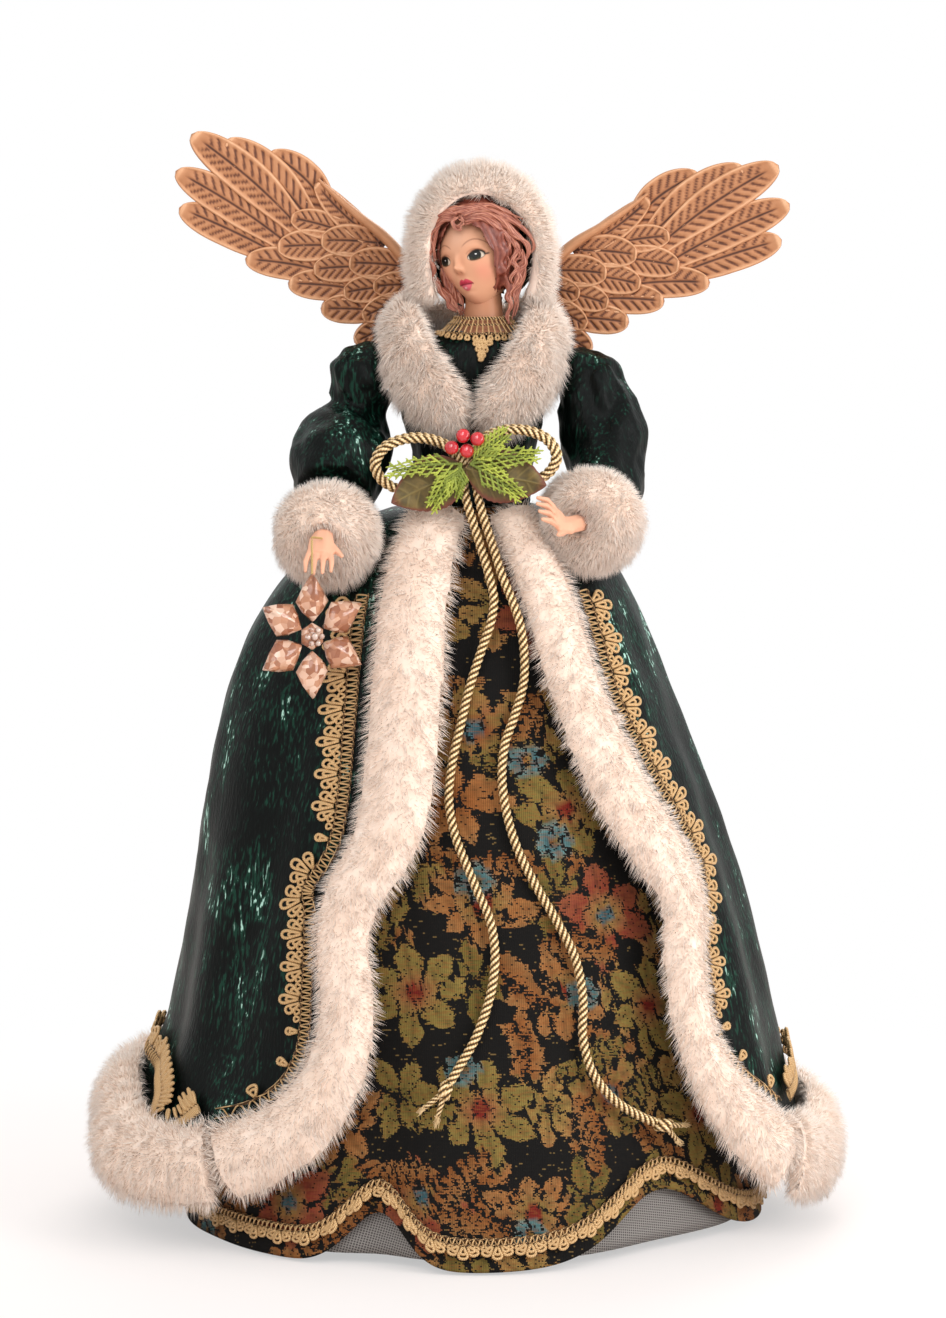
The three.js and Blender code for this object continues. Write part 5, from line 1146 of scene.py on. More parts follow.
def trim_points(radius_at, route, share, side, lift, ring=False):
    """Points on a trim: share along its route, distance to the side and height above the cloth, in millimetres."""
    at = curve_through(route, 3000, ring=False)
    knots = np.linspace(0, 1, len(at))

    def on_route(s):
        s = s % 1.0 if ring else np.clip(s, 0, 1)
        return np.interp(s, knots, at[:, 0]), np.interp(s, knots, at[:, 1])

    step = 1 / 400
    angle, height = on_route(share)
    centre = on_surface(radius_at, angle, height, 0)
    before = on_surface(radius_at, *on_route(np.clip(share - step, 0, 1)), 0)
    ahead = on_surface(radius_at, *on_route(np.clip(share + step, 0, 1)), 0) - before
    ahead /= np.linalg.norm(ahead, axis=-1, keepdims=True)
    outward = on_surface(radius_at, angle, height, 20.6) - centre
    across = np.cross(ahead, outward)
    across /= np.linalg.norm(across, axis=-1, keepdims=True)
    point = centre + across * side[..., None]
    return on_surface(
        radius_at, np.arctan2(point[..., 0], -point[..., 1]), np.minimum(point[..., 2], waist), lift
    )


def thread_tube(path, radius, sides=6):
    """A plain round thread: points, faces and values."""
    angle = 2 * math.pi * np.arange(sides) / sides
    section = np.broadcast_to(
        radius * np.stack([np.cos(angle), np.sin(angle)], axis=-1), (len(path), sides, 2)
    )
    points, faces = sweep(path, section)
    run = np.concatenate([[0], np.cumsum(np.linalg.norm(np.diff(path, axis=0), axis=1))])
    uv = np.stack(
        [
            np.concatenate([np.tile(angle / 6.3, len(path)), [0, 0]]),
            np.concatenate([np.repeat(run, sides), [0, 0]])
        ],
        axis=1
    )
    return points, faces, {"relief": np.zeros(len(points)), "uv": uv}


def gimp(name, node, locate, length, flip=1, header=5.2, reach=8.6, seat=1.2, pitch=13.5):
    """A length of gimp braid. locate turns run, side and lift into points; flip names the side of the loops."""
    clusters = max(round(length / pitch), 2)
    pitch = length / clusters
    start = -7.0
    parts = []
    run = np.linspace(0.3, length - 0.3, int(length / 0.9))
    for offset in (0.6, header - 0.6):
        path = locate(run, flip * (start + offset) + 0 * run, seat + 0.7 + 0 * run)
        parts.append(rope(path, 0.56, 2.4, sides=9, strands=2))
    turns = int(length / 2.3)
    t = np.linspace(0, turns, turns * 8)
    rung = locate(
        np.clip(t * 2.3, 0.3, length - 0.3),
        flip * (start + header / 2 + (header / 2 - 0.6) * np.cos(2 * math.pi * t)),
        seat + 0.6 + 0.55 * np.sin(2 * math.pi * t),
    )
    parts.append(thread_tube(rung, 0.33, 5))
    for k in range(clusters):
        middle = (k + 0.5) * pitch
        # On the inside of a bend there is no room for the outer loops of a cluster
        rim = flip * (start + header + reach)
        low_ends = locate(np.array([middle - 4.0, middle + 4.0]), flip * start * np.ones(2), np.full(2, seat))
        high_ends = locate(np.array([middle - 4.0, middle + 4.0]), rim * np.ones(2), np.full(2, seat))
        room = np.linalg.norm(high_ends[1] - high_ends[0]) / np.linalg.norm(low_ends[1] - low_ends[0])
        loops = [(-0.55, 0.82, 1.0), (0.55, 0.82, 1.0), (0.0, 1.0, 1.0)] if room > 0.75 else [(0.0, 0.6, 0.8)]
        for lean, size, wide in loops:
            for inner in (1.0, 0.62):
                s = np.linspace(0.02, 0.98, 14 if inner == 1.0 else 11)
                out = reach * 0.95 * size * (0.12 + 0.88 * inner) * np.sin(math.pi * s) ** 0.7
                wide_part = 1.55 * wide * inner * np.sin(2 * math.pi * s)
                along = middle + lean * 2.6 + out * math.sin(lean) + wide_part * math.cos(lean)
                side = start + header - 0.6 + out * math.cos(lean) - wide_part * math.sin(lean)
                rise = seat + 0.75 + 0.35 * np.sin(math.pi * s) + (0.45 if lean == 0 else 0)
                keep = (along > 0.2) & (along < length - 0.2)
                if keep.all():
                    parts.append(thread_tube(locate(along, flip * side, rise), 0.62, 5))
        between = (k + 1.0) * pitch
        if between < length - 3 and room > 0.75:
            for shift in (-1.5, 1.5):
                s = np.linspace(0.02, 0.98, 11)
                out = reach * 0.3 * np.sin(math.pi * s) ** 0.85
                along = between + shift + 1.1 * np.sin(2 * math.pi * s)
                parts.append(
                    thread_tube(
                        locate(along, flip * (start + header - 0.6 + out), seat + 0.7 + 0 * s), 0.5, 6
                    )
                )
    points, faces, values = join_parts(parts)
    o = build(
        name,
        points,
        faces,
        uv=values["uv"],
        relief=np.where(values["relief"] == 0, 0.62, values["relief"])
    )
    o.data.materials.append(gimp_thread)
    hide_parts(node)
    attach(o, "figure")
    return o


def beside(route, distances):
    """A trim's route moved sideways by a distance for each of its points."""
    line = curve_through(route, 2000)
    moved = []
    for k, (angle, height) in enumerate(route):
        share = k / (len(route) - 1)
        near = np.linspace(0, 1, len(line))
        step = 1 / (4 * (len(route) - 1))
        before, after = (
            [np.interp(max(min(share + d, 1), 0), near, line[:, j]) for j in (0, 1)] for d in (-step, step)
        )
        centre = on_surface(coat_radius, np.array(angle), np.array(height), 0)
        ahead = on_surface(coat_radius, *map(np.array, after), 0) - on_surface(
            coat_radius, *map(np.array, before), 0
        )
        outward = on_surface(coat_radius, np.array(angle), np.array(height), 20.6) - centre
        across = np.cross(ahead, outward)
        across /= np.linalg.norm(across)
        point = centre + across * distances[k]
        turned = math.atan2(point[0], -point[1])
        turned += round((angle - turned) / (2 * math.pi)) * 2 * math.pi
        moved.append((turned, min(point[2], height + waist)))
    return np.array(moved)


def on_coat(route):
    """A locate function for a braid on the coat, and the route's length."""
    line = curve_through(route, 1500)
    length = route_length(on_surface(coat_radius, line[:, 0], line[:, 1], 0))

    def locate(run, side, lift):
        return trim_points(coat_radius, route, run / length, side, lift + coat_dents_at(route, run / length))

    return locate, length


def coat_dents_at(route, share):
    line = curve_through(route, 800)
    near = np.linspace(0, 1, len(line))
    angle, height = (np.interp(share, near, line[:, k]) for k in (0, 1))
    return coat_dents(on_surface(coat_radius, angle, height, 0)) * 0.8


right_widths = 29 * along_list(
    [0.9, 0.95, 1.03, 1.05, 1, 0.88, 0.82, 0.82, 0.88, 1, 1.12, 1.17], np.linspace(0, 1, 12)
)
left_widths = 29 * along_list(
    [0.76, 0.76, 0.8, 0.95, 0.98, 0.8, 0.68, 0.66, 0.7, 0.9, 1.1, 1.17], np.linspace(0, 1, 12)
)
to_route = np.array([degree, waist])
right_braid_route = beside(right_edge * to_route, (right_widths + 14) / 2 + 2.6)[1:]
left_braid_route = beside(left_edge * to_route, -(left_widths + 14) / 2 - 2.6)[1:]
hem_braid_route = beside(hem_edge * to_route, np.full(len(hem_edge), 24 + 2.6))[1:-1]
locate, length = on_coat(right_braid_route)
gimp("gimp_braid_right", "braid_front_right", locate, length)
locate, length = on_coat(left_braid_route)
gimp("gimp_braid_left", "braid_front_left", locate, length, flip=-1)
locate, length = on_coat(hem_braid_route)
gimp("gimp_braid_hem", "braid_hem", locate, length, seat=2.0)

# The tapestry's hem braid is a narrower gimp whose loops point down over the last of the cloth
hem_turn = np.linspace(-math.pi, math.pi, 2001)
hem_line = on_surface(tapestry_radius, hem_turn, tapestry_hem(hem_turn) + 9, 1.0)
hem_run = np.concatenate([[0], np.cumsum(np.linalg.norm(np.diff(hem_line, axis=0), axis=1))])


def locate_hem(run, side, lift):
    angle = np.interp(run, hem_run, hem_turn)
    return on_surface(tapestry_radius, angle, tapestry_hem(angle) + 7.5 - side * 0.64, lift)


gimp(
    "gimp_braid_tapestry_hem",
    "tapestry_hem_braid",
    locate_hem,
    hem_run[-1],
    seat=1.0,
    header=4.6,
    reach=7.6,
    pitch=12.0
)

# The neck braid is a collar of the same thread: three cords, rungs between them that spread over the chest,
# loops, and a drop
parts = []
chest = bpy.data.objects["velvet_bodice"]
chest_tree = BVHTree.FromPolygons(
    mesh_points(chest).tolist(), [tuple(p.vertices) for p in chest.data.polygons]
)


def on_chest(angle, down, lift):
    """Points on the chest at an angle round the neck, 0 in front, and a distance down from the collar's upper edge."""
    reach = 10.4 + np.minimum(down, 6.4) * 0.85 + 0.5 * np.maximum(down - 6.4, 0)
    height = 337.6 - 0.85 * np.minimum(down, 6.4) - 0.95 * np.maximum(down - 6.4, 0)
    guess = np.stack([3.6 + reach * np.sin(angle), -0.6 - reach * np.cos(angle), height], axis=1)
    seated = []
    for point in guess:
        near, normal, _, gap = chest_tree.find_nearest(Vector(point))
        seated.append(np.array(near) + np.array(normal) * lift)
    shift = np.array(seated) - guess
    smooth = np.stack(
        [np.convolve(np.pad(shift[:, k], 3, mode="edge"), np.ones(7) / 7, mode="valid") for k in range(3)],
        axis=1
    )
    return guess + smooth * smooth_step(5.5, 7.5, down)[:, None]


def picot(angle, down, width, length):
    s = np.linspace(0.02, 0.98, 15)
    side = angle + width * np.sin(2 * math.pi * s) / (11.6 + down)
    parts.append(thread_tube(on_chest(side, down + length * np.sin(math.pi * s) ** 0.8, 1.4), 0.5))


front_turn = np.linspace(-1.9, 1.9, 120)
for down, size in ((0.0, 0.8), (2.6, 0.5), (6.4, 0.65)):
    parts.append(rope(on_chest(front_turn, np.full(120, down), 1.6), size, 2.2, sides=9, strands=2))
for angle in np.linspace(-1.85, 1.85, 25):
    parts.append(thread_tube(on_chest(np.full(9, angle), np.linspace(0, 6.4, 9), 1.5), 0.3, 6))
for angle in np.linspace(-1.6, 1.6, 19):
    picot(angle, 6.2, 0.9, 2.3)
for down, sides in (
    (7.6, (-3.0, -1.0, 1.0, 3.0)), (9.8, (-1.9, 0.0, 1.9)), (12.0, (-0.8, 0.8)), (13.6, (0.0,))
):
    for side in sides:
        picot(side / (11.6 + down), down, 0.95, 2.8)
        picot(side / (11.6 + down), down, 0.35, 1.9)
back_turn = np.linspace(1.9, 2 * math.pi - 1.9, 60)
back_ring = np.stack(
    [3.6 + 10.4 * np.sin(back_turn), -0.6 - 10.4 * np.cos(back_turn), np.full(60, 337.6)], axis=1
)
parts.append(rope(back_ring, 0.8, 2.4, sides=9, strands=2))
points, faces, values = join_parts(parts)
neck_gimp = build(
    "gimp_braid_neck",
    points,
    faces,
    uv=values["uv"],
    relief=np.where(values["relief"] == 0, 0.62, values["relief"])
)
neck_gimp.data.materials.append(gimp_thread)
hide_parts("neck_braid")
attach(neck_gimp, "figure")

# The head and neck are one hollow casting, turned to her right and tilted, and painted by hand.
# The paint is a matt peach skin with pink cheeks, small rosy lips, dark green-brown eyes and thin arched brows.
# It is glued on the trunk by its neck plate. Every colour is a value on the head's own points.
head_centre = np.array([1.8, -1.0, 360.6])


def turned_head(points):
    turn = Euler((math.radians(-7), math.radians(-11.5), math.radians(-30)), "XYZ").to_matrix()
    return points @ np.array(turn).T + head_centre


def head_surface(direction, swell=0.0):
    """A point of the head for each direction from its middle: x to her left, -y forward, z up."""
    x, y, z = direction[..., 0], direction[..., 1], direction[..., 2]
    ax = np.abs(x)
    lower = smooth_step(0.0, 1.0, -z)
    front = np.clip(-y, 0, 1) ** 0.8
    nose = x + 0.05
    bridge = 1.1 * bump(nose, 0, 0.1) * smooth_step(0.04, -0.2, z) * smooth_step(-0.46, -0.36, z)
    tip = 2.0 * bump(nose, 0, 0.1) * bump(z, -0.345, 0.08)
    wings = 0.75 * bump(np.abs(nose), 0.115, 0.05) * bump(z, -0.375, 0.05)
    under = -0.6 * bump(nose, 0, 0.13) * bump(z, -0.46, 0.04)
    upper_lip = 0.9 * bump(ax, 0.06, 0.13) * bump(z, -0.585, 0.045)
    lower_lip = 1.0 * bump(x, 0, 0.14) * bump(z, -0.69, 0.045)
    line = -0.5 * bump(x, 0, 0.17) * bump(z, -0.635, 0.018)
    chin = 1.3 * bump(x, 0, 0.26) * bump(z, -0.87, 0.12) - 0.4 * bump(x, 0, 0.25) * bump(z, -0.77, 0.035)
    sockets = -1.3 * bump(ax, 0.46, 0.2) * bump(z, -0.1, 0.13)
    ball = 0.7 * bump(ax, 0.485, 0.17) * bump(z, -0.15, 0.09)
    brow = 0.4 * bump(ax, 0.42, 0.25) * bump(z, 0.06, 0.1)
    cheeks = 0.8 * bump(ax, 0.58, 0.22) * bump(z, -0.42, 0.18)
    relief = front * (
        bridge + tip + wings + under + upper_lip + lower_lip + line + chin + sockets + ball + brow + cheeks
    )
    across = (13.9 + swell) * x * (1 - 0.33 * lower)
    depth = (15.4 + swell) * y * (1 - 0.1 * lower) - relief
    return np.stack([across, depth, (18.2 + swell) * z * (1 + 0.05 * lower)], axis=-1)


rows, columns = 180, 250
polar = math.pi * (np.arange(rows + 1) + 0.1) / (rows + 0.2)
even = 2 * math.pi * (np.arange(columns) + 0.5) / columns
around = even - 0.5 * np.sin(even)
polar, around = np.meshgrid(polar, around, indexing="ij")
directions = np.stack(
    [np.sin(polar) * np.sin(around), -np.sin(polar) * np.cos(around), np.cos(polar)], axis=-1
)
u = directions[..., 0]
v = directions[..., 2]
ax = np.abs(u)
front = (directions[..., 1] < 0).astype(float)
paint = np.empty(u.shape + (4,))
# The skin here is painted darker than the hands: painted shade from the hood.
paint[:] = linear("#cf9878")


def brush(amount, colour):
    global paint
    amount = np.clip(amount, 0, 1)[..., None] * front[..., None]
    paint = paint * (1 - amount) + np.array(linear(colour)) * amount


# Painted shade: a brown tone in the eye sockets, under the nose, down one side of the nose and under the chin. Painted
# light: a paler forehead. The pink on the cheeks is blush in the paint.
brush(0.35 * bump(ax, 0.48, 0.24) * bump(v, -0.05, 0.09), "#a9694a")
brush(0.45 * bump(u + 0.05, 0.0, 0.13) * bump(v, -0.46, 0.06), "#b0694c")
brush(0.25 * bump(u + 0.05, 0.17, 0.09) * bump(v, -0.2, 0.14), "#b0694c")
brush(0.35 * bump(ax, 0.62, 0.22) * bump(v, -0.44, 0.17), "#cf6f62")
brush(0.3 * bump(u, 0.0, 0.3) * bump(v, -0.93, 0.1), "#c8806a")
brush(0.3 * bump(u, 0.0, 0.35) * bump(v, 0.3, 0.25), "#f0c9b0")
# Eyes: narrow almonds, big nearly black irises with a catchlight, a dark upper lash line and a thin lower one
eye_x, eye_z = 0.485, -0.15
across = (ax - eye_x) / 0.215
upper = eye_z + 0.115 * np.clip(1 - np.abs(across) ** 2.0, 0, 1) ** 0.75 + 0.022 * across
lower = eye_z - 0.075 * np.clip(1 - np.abs(across) ** 2.4, 0, 1) ** 0.8 + 0.022 * across
opened = smooth_step(0.006, -0.006, v - upper) * smooth_step(-0.006, 0.006, v - lower) * (np.abs(across) < 1)
brush(opened, "#cbbcaa")
iris = np.hypot((u - np.sign(u) * eye_x + 0.025) / 0.15, (v - eye_z - 0.012) / 0.125)
brush(opened * smooth_step(1.06, 0.94, iris), "#0b0b07")
brush(
    opened * smooth_step(0.9, 0.74, iris) * smooth_step(0.5, 0.6, iris) * smooth_step(0.0, -0.04, v - eye_z),
    "#2e3019"
)
glint = np.hypot((u - np.sign(u) * eye_x + 0.005) / 0.018, (v - eye_z - 0.045) / 0.016)
brush(opened * smooth_step(1.1, 0.8, glint), "#ffffff")
lash = bump(v, upper + 0.006, 0.02 + 0.012 * np.clip(across, 0, 1)) * (np.abs(across) < 1.0)
brush(1.4 * lash, "#140d09")
wing = bump(
    v, eye_z + 0.03 + 0.05 * (across - 1), 0.016
) * smooth_step(0.75, 0.95, across) * smooth_step(1.45, 1.2, across)
brush(1.3 * wing, "#140d09")
brush(0.8 * bump(v, lower, 0.01) * (np.abs(across) < 1.0), "#4a2a1c")
crease = eye_z + 0.15 * np.clip(1 - (across * 0.8) ** 2, 0, 1) ** 0.6
brush(0.6 * bump(v, crease, 0.014) * (np.abs(across) < 1.15), "#8a543a")
# Brows: one thin arch over each eye
brow_share = np.clip((ax - 0.16) / 0.66, 0, 1)
brow_line = 0.05 + 0.16 * np.sin(math.pi * np.clip(brow_share * 0.94 + 0.02, 0, 1)) ** 0.9 - 0.02 * brow_share
brow_ends = smooth_step(0.13, 0.24, ax) * smooth_step(0.86, 0.74, ax)
brush(0.8 * bump(v, brow_line, 0.013) * brow_ends, "#7a4630")
# Lips: a bowed upper lip, a fuller lighter lower lip with a wet highlight, and the dark line between
mouth = -0.635
reach = np.clip(1 - (ax / 0.28) ** 2, 0, 1)
top = mouth + 0.1 * reach**0.8 - 0.03 * bump(ax, 0, 0.045)
bottom = mouth - 0.115 * np.clip(1 - (ax / 0.22) ** 2, 0, 1) ** 0.8
lips = smooth_step(0.008, -0.008, v - top) * smooth_step(-0.01, 0.01, v - bottom) * (reach > 0)
brush(lips, "#b8394c")
brush(lips * smooth_step(mouth + 0.005, mouth - 0.02, v) * 0.8, "#c9606a")
brush(0.75 * bump(u, -0.03, 0.05) * bump(v, mouth - 0.065, 0.016), "#f8d2cd")
brush(1.1 * bump(v, mouth, 0.01) * (ax < 0.27), "#661a26")
brush(0.6 * bump(np.abs(u + 0.05), 0.07, 0.024) * bump(v, -0.425, 0.014), "#7d3f2c")
face_points = turned_head(head_surface(directions))
faces = [grid_faces(rows + 1, columns, wrap_columns=True)]
flat = face_points.reshape(-1, 3)
flat = np.vstack([flat, face_points[0].mean(0), face_points[-1].mean(0)])
k = np.arange(columns)
faces.append(np.stack([np.full(columns, len(flat) - 2), k, (k + 1) % columns], axis=1))
base = rows * columns
faces.append(np.stack([np.full(columns, len(flat) - 1), base + (k + 1) % columns, base + k], axis=1))
colours = np.vstack([paint.reshape(-1, 4), paint[0, 0], paint[-1, 0]])
skull = (flat, faces, {"paint": colours})
neck_line = curve_through(
    [
        (4, 330.7, 10.9),
        (4, 332.6, 10.9),
        (4, 334, 9.2),
        (4, 337.5, 7.6),
        (4, 343, 6.9),
        (3.4, 350, 6.9),
        (3, 356, 6.8)
    ],
    60
)
angle = 2 * math.pi * np.arange(64) / 64
section = neck_line[:, 2][:, None, None] * np.stack([np.cos(angle), np.sin(angle)], axis=-1)[None]
neck_path = np.stack([neck_line[:, 0], np.full(60, -1.0), neck_line[:, 1]], axis=1)
neck_points, neck_faces = sweep(neck_path, section, up=(0, 1, 0))
# The neck is painted darker still: painted shade under the chin.
neck_shaded_paint = np.tile(np.array(linear("#b57f60")), (len(neck_points), 1))
points, faces, values = join_parts([skull, (neck_points, neck_faces, {"paint": neck_shaded_paint})])
painted_head = build("painted_head", points, faces, paint=values["paint"])
skin, skin_out = new_material("painted porcelain skin")
skin_paint = add_node(skin, "Attribute", attribute_name="paint")
skin_shader = add_node(
    skin,
    "BsdfPrincipled",
    {
        "Base Color": skin_paint.outputs["Color"],
        "Roughness": 0.45,
        "Specular IOR Level": 0.22,
        "Coat Weight": 0.03,
        "Coat Roughness": 0.3
    },
)
skin.node_tree.links.new(skin_shader.outputs[0], skin_out.inputs[0])
painted_head.data.materials.append(skin)
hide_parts("head")
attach(painted_head, "figure")

# The hair is part of the casting: a close cap, and ridged auburn locks and curls laid over it and round the face.
# They are drawn back from the brow in waves, curl at the temples, and one lock hangs down her left side.
# The hair's colour follows the relief value: painted shade in the grooves and painted highlights on the ridges; a fine
# noise adds real streaks of tone.
auburn, auburn_out = new_material("painted auburn hair")
hair_relief_shade = add_node(auburn, "Attribute", attribute_name="relief")
hair_spot = add_node(auburn, "TexCoord")
hair_noise = add_node(
    auburn, "TexNoise", {"Vector": hair_spot.outputs["Object"], "Scale": 500.0, "Detail": 2.0}
)
hair_part = add_node(auburn, "MapRange", {0: hair_noise.outputs[0], 3: -0.2, 4: 0.2})
hair_sum = add_node(auburn, "Math", {0: hair_relief_shade.outputs["Fac"], 1: hair_part.outputs[0]}, operation="ADD")
hair_ramp = add_node(
    auburn,
    "ValToRGB",
    {0: hair_sum.outputs[0]},
    [(0.0, "#34110a"), (0.95, "#c08269"), (0.35, "#703224"), (0.65, "#965543")]
)
hair_shader = add_node(
    auburn, "BsdfPrincipled", {"Base Color": hair_ramp.outputs[0], "Roughness": 0.42, "Coat Weight": 0.1}
)
auburn.node_tree.links.new(hair_shader.outputs[0], auburn_out.inputs[0])

hair_cap = from_solid("hair_cap", "hair", 0.8, 5, 0.4)
cap_points, cap_normals = mesh_points(hair_cap), mesh_normals(hair_cap)
streak = np.sin(cap_points @ np.array([2.1, 1.5, 0.8]) + 1.6 * wobble(cap_points, 9, 71))
set_points(hair_cap, cap_points + cap_normals * (0.28 * streak)[:, None])
# The cap is lighter on its raised streaks and darker in the hollows: painted light and painted shade.
cap_layer = hair_cap.data.attributes.new("relief", "FLOAT", "POINT")
cap_layer.data.foreach_set("value", (0.42 + 0.14 * streak).astype(np.float32))
hair_cap.data.materials.append(auburn)
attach(hair_cap, "figure")

curls = np.random.default_rng(77)
parts = []
# Each lock's points from root to tip, and its half width
hair_routes = [
    ([(-11.5, -3.2, 357.0), (-9.0, -2.6, 351.5), (-7.2, -2.2, 346.5), (-5.8, -2.4, 341.5)], 2.2),
    ([(-9.5, -1.6, 353.0), (-6.4, -1.2, 348.0), (-4.6, -1.4, 343.0), (-4.0, -1.8, 339.0)], 2.0),
    (
        [
            (-3.4, -12.9, 375.7),
            (2.6, -12.3, 378.1),
            (10.2, -11.4, 376.5),
            (16.3, -10.4, 372.7),
            (21.0, -9.4, 368.3),
            (22.4, -9.0, 364.0),
            (19.6, -9.0, 360.5)
        ],
        1.5
    ),
    (
        [
            (-2.9, -13.9, 374.2),
            (3.7, -13.9, 375.7),
            (10.2, -12.9, 373.2),
            (15.2, -11.3, 368.9),
            (19.4, -10.3, 364.5),
            (20.2, -9.6, 360.1),
            (16.8, -9.3, 358.0)
        ],
        1.5
    ),
    (
        [
            (-3.4, -14.3, 373.2),
            (2.6, -15.0, 374.8),
            (8.0, -14.4, 372.4),
            (12.0, -13.0, 368.3),
            (15.4, -11.7, 364.6),
            (17.0, -10.6, 361.0),
            (14.6, -10.8, 358.4)
        ],
        1.2
    ),
    (
        [
            (8.6, -13.6, 371.4),
            (12.4, -12.6, 368.4),
            (13.4, -12.2, 364.6),
            (12.0, -12.6, 361.7),
            (13.4, -11.8, 358.1),
            (12.0, -12.0, 355.0)
        ],
        0.9
    ),
    (
        [
            (13.9, -11.9, 367.3),
            (16.1, -10.9, 362.9),
            (14.6, -11.3, 359.1),
            (16.1, -10.4, 355.8),
            (13.9, -10.8, 352.6),
            (14.6, -9.6, 350.0)
        ],
        1.2
    ),
    (
        [
            (17.9, -9.5, 362.9),
            (19.2, -8.9, 358.0),
            (16.8, -8.9, 354.7),
            (17.9, -8.5, 350.9),
            (15.2, -8.3, 347.6),
            (15.5, -8.3, 343.8)
        ],
        1.4
    ),
    (
        [
            (16.8, -9.0, 356.3),
            (15.2, -8.9, 350.9),
            (13.9, -8.5, 346.5),
            (14.4, -8.5, 342.2),
            (12.7, -9.0, 338.3),
            (13.6, -9.5, 335.2)
        ],
        1.3
    ),
    (
        [
            (18.4, -7.5, 358.5),
            (18.1, -7.5, 353.1),
            (16.6, -7.3, 347.6),
            (16.0, -7.5, 342.2),
            (14.9, -8.0, 337.8)
        ],
        1.3
    ),
    (
        [
            (-5.9, -13.6, 375.2),
            (-7.4, -14.4, 373.2),
            (-6.4, -14.9, 371.2),
            (-4.8, -15.4, 370.8),
            (-4.4, -15.2, 372.4)
        ],
        0.7
    ),
    ([(-4.5, -14.2, 375.3), (-3.7, -15.0, 373.1), (-4.8, -15.3, 371.7), (-5.9, -15.0, 372.5)], 0.6),
    (
        [
            (-5.9, -12.3, 375.7),
            (-10.0, -11.2, 376.4),
            (-13.4, -9.2, 373.8),
            (-15.4, -7.8, 369.9),
            (-15.8, -7.2, 365.0),
            (-14.9, -7.2, 361.0)
        ],
        1.3
    ),
    (
        [
            (-6.7, -13.0, 374.6),
            (-10.1, -12.0, 374.2),
            (-12.7, -10.6, 371.8),
            (-14.2, -9.2, 367.6),
            (-14.7, -8.6, 362.9),
            (-14.2, -8.2, 358.6)
        ],
        0.9
    ),
    (
        [
            (-15.0, -7.6, 365.0),
            (-15.8, -7.4, 360.1),
            (-14.6, -7.2, 356.3),
            (-15.4, -7.0, 352.5),
            (-13.6, -6.8, 349.8),
            (-12.3, -6.6, 347.6)
        ],
        1.1
    ),
    (
        [
            (-13.8, -5.5, 351.9),
            (-12.2, -5.0, 348.1),
            (-9.6, -4.5, 345.4),
            (-8.8, -4.2, 342.1),
            (-6.4, -4.2, 340.2)
        ],
        1.5
    ),
    ([(-11.6, -3.9, 348.7), (-8.9, -3.5, 345.4), (-7.0, -3.2, 343.2), (-5.5, -3.2, 339.9)], 1.5),
    (
        [
            (-12.7, -8.7, 375.0),
            (-7.2, -10.7, 377.8),
            (-0.7, -11.7, 379.3),
            (5.9, -11.4, 379.1),
            (12.4, -10.0, 377.0),
            (17.9, -8.7, 373.4)
        ],
        1.7
    ),
    (
        [
            (-11.1, -10.2, 374.3),
            (-5.9, -12.0, 376.8),
            (0.4, -12.8, 378.0),
            (7.0, -12.4, 377.5),
            (13.5, -11.0, 374.8),
            (19.0, -9.6, 370.8)
        ],
        1.5
    ),
]
for route, thick in hair_routes:
    for strand in range(4):
        moved = np.array(route) + curls.normal(0, 0.28 + 0.2 * thick, (len(route), 3)) * (0.9, 0.35, 0.9)
        moved[0] = np.array(route[0]) + curls.normal(0, 0.5, 3)
        path = curve_through(moved, 52)
        share = np.linspace(0, 1, 52)
        squeeze = np.interp(share, [0, 0.12, 0.55, 1], [0.5, 1, 0.85, 0.2])
        points, faces, values = rope(
            path, thick * curls.uniform(0.55, 0.75), 17 * thick, sides=15, strands=5, squeeze=squeeze
        )
        # Each strand's relief gives painted shade in its grooves; a random offset gives each strand its own tone.
        parts.append((points, faces, {"relief": 0.85 * values["relief"] + 0.1 * curls.uniform(-1, 1)}))
points, faces, values = join_parts(parts)
hair_locks = build("hair_locks", points, faces, relief=values["relief"])
hair_locks.data.materials.append(auburn)
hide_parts("hair")
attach(hair_locks, "figure")

# The hands are small castings in the same painted skin, each pushed on its wire with the cuff round the wrist.
for side in ("right", "left"):
    hand = from_solid("painted_hand_" + side, "hand_" + side, 0.42, 5)
    layer = hand.data.attributes.new("paint", "FLOAT_COLOR", "POINT")
    layer.data.foreach_set(
        "color", np.tile(np.array(linear("#e3ab8d")), (len(hand.data.vertices), 1)).astype(np.float32).ravel()
    )
    hand.data.materials.append(skin)
    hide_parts("hand_" + side)
    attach(hand, side + "_arm")

# The wings are moulded in one piece each with their feathers, rims, quills and barbs raised, and painted matt copper.
# Each is screwed by its root to the bracket behind the trunk, and leans forward towards its tip.
# The relief value sets painted shade in the hollows and painted highlights on the raised rims; a noise adds real
# unevenness to the paint.
copper, copper_out = new_material("matt copper paint")
copper_relief_shade = add_node(copper, "Attribute", attribute_name="relief")
copper_spot = add_node(copper, "TexCoord")
copper_noise = add_node(
    copper, "TexNoise", {"Vector": copper_spot.outputs["Object"], "Scale": 160.0, "Detail": 4.0}
)
copper_part = add_node(copper, "MapRange", {0: copper_noise.outputs[0], 3: -0.14, 4: 0.14})
copper_sum = add_node(
    copper, "Math", {0: copper_relief_shade.outputs["Fac"], 1: copper_part.outputs[0]}, operation="ADD"
)
copper_ramp = add_node(
    copper, "ValToRGB", {0: copper_sum.outputs[0]}, [
        (0.0, "#31180b"), (1.0, "#e8bb95"), (0.22, "#683a22"), (0.5, "#a87049"), (0.75, "#c69068")
    ]
)
copper_shader = add_node(
    copper, "BsdfPrincipled", {"Base Color": copper_ramp.outputs[0], "Metallic": 0.2, "Roughness": 0.5}
)
copper.node_tree.links.new(copper_shader.outputs[0], copper_out.inputs[0])


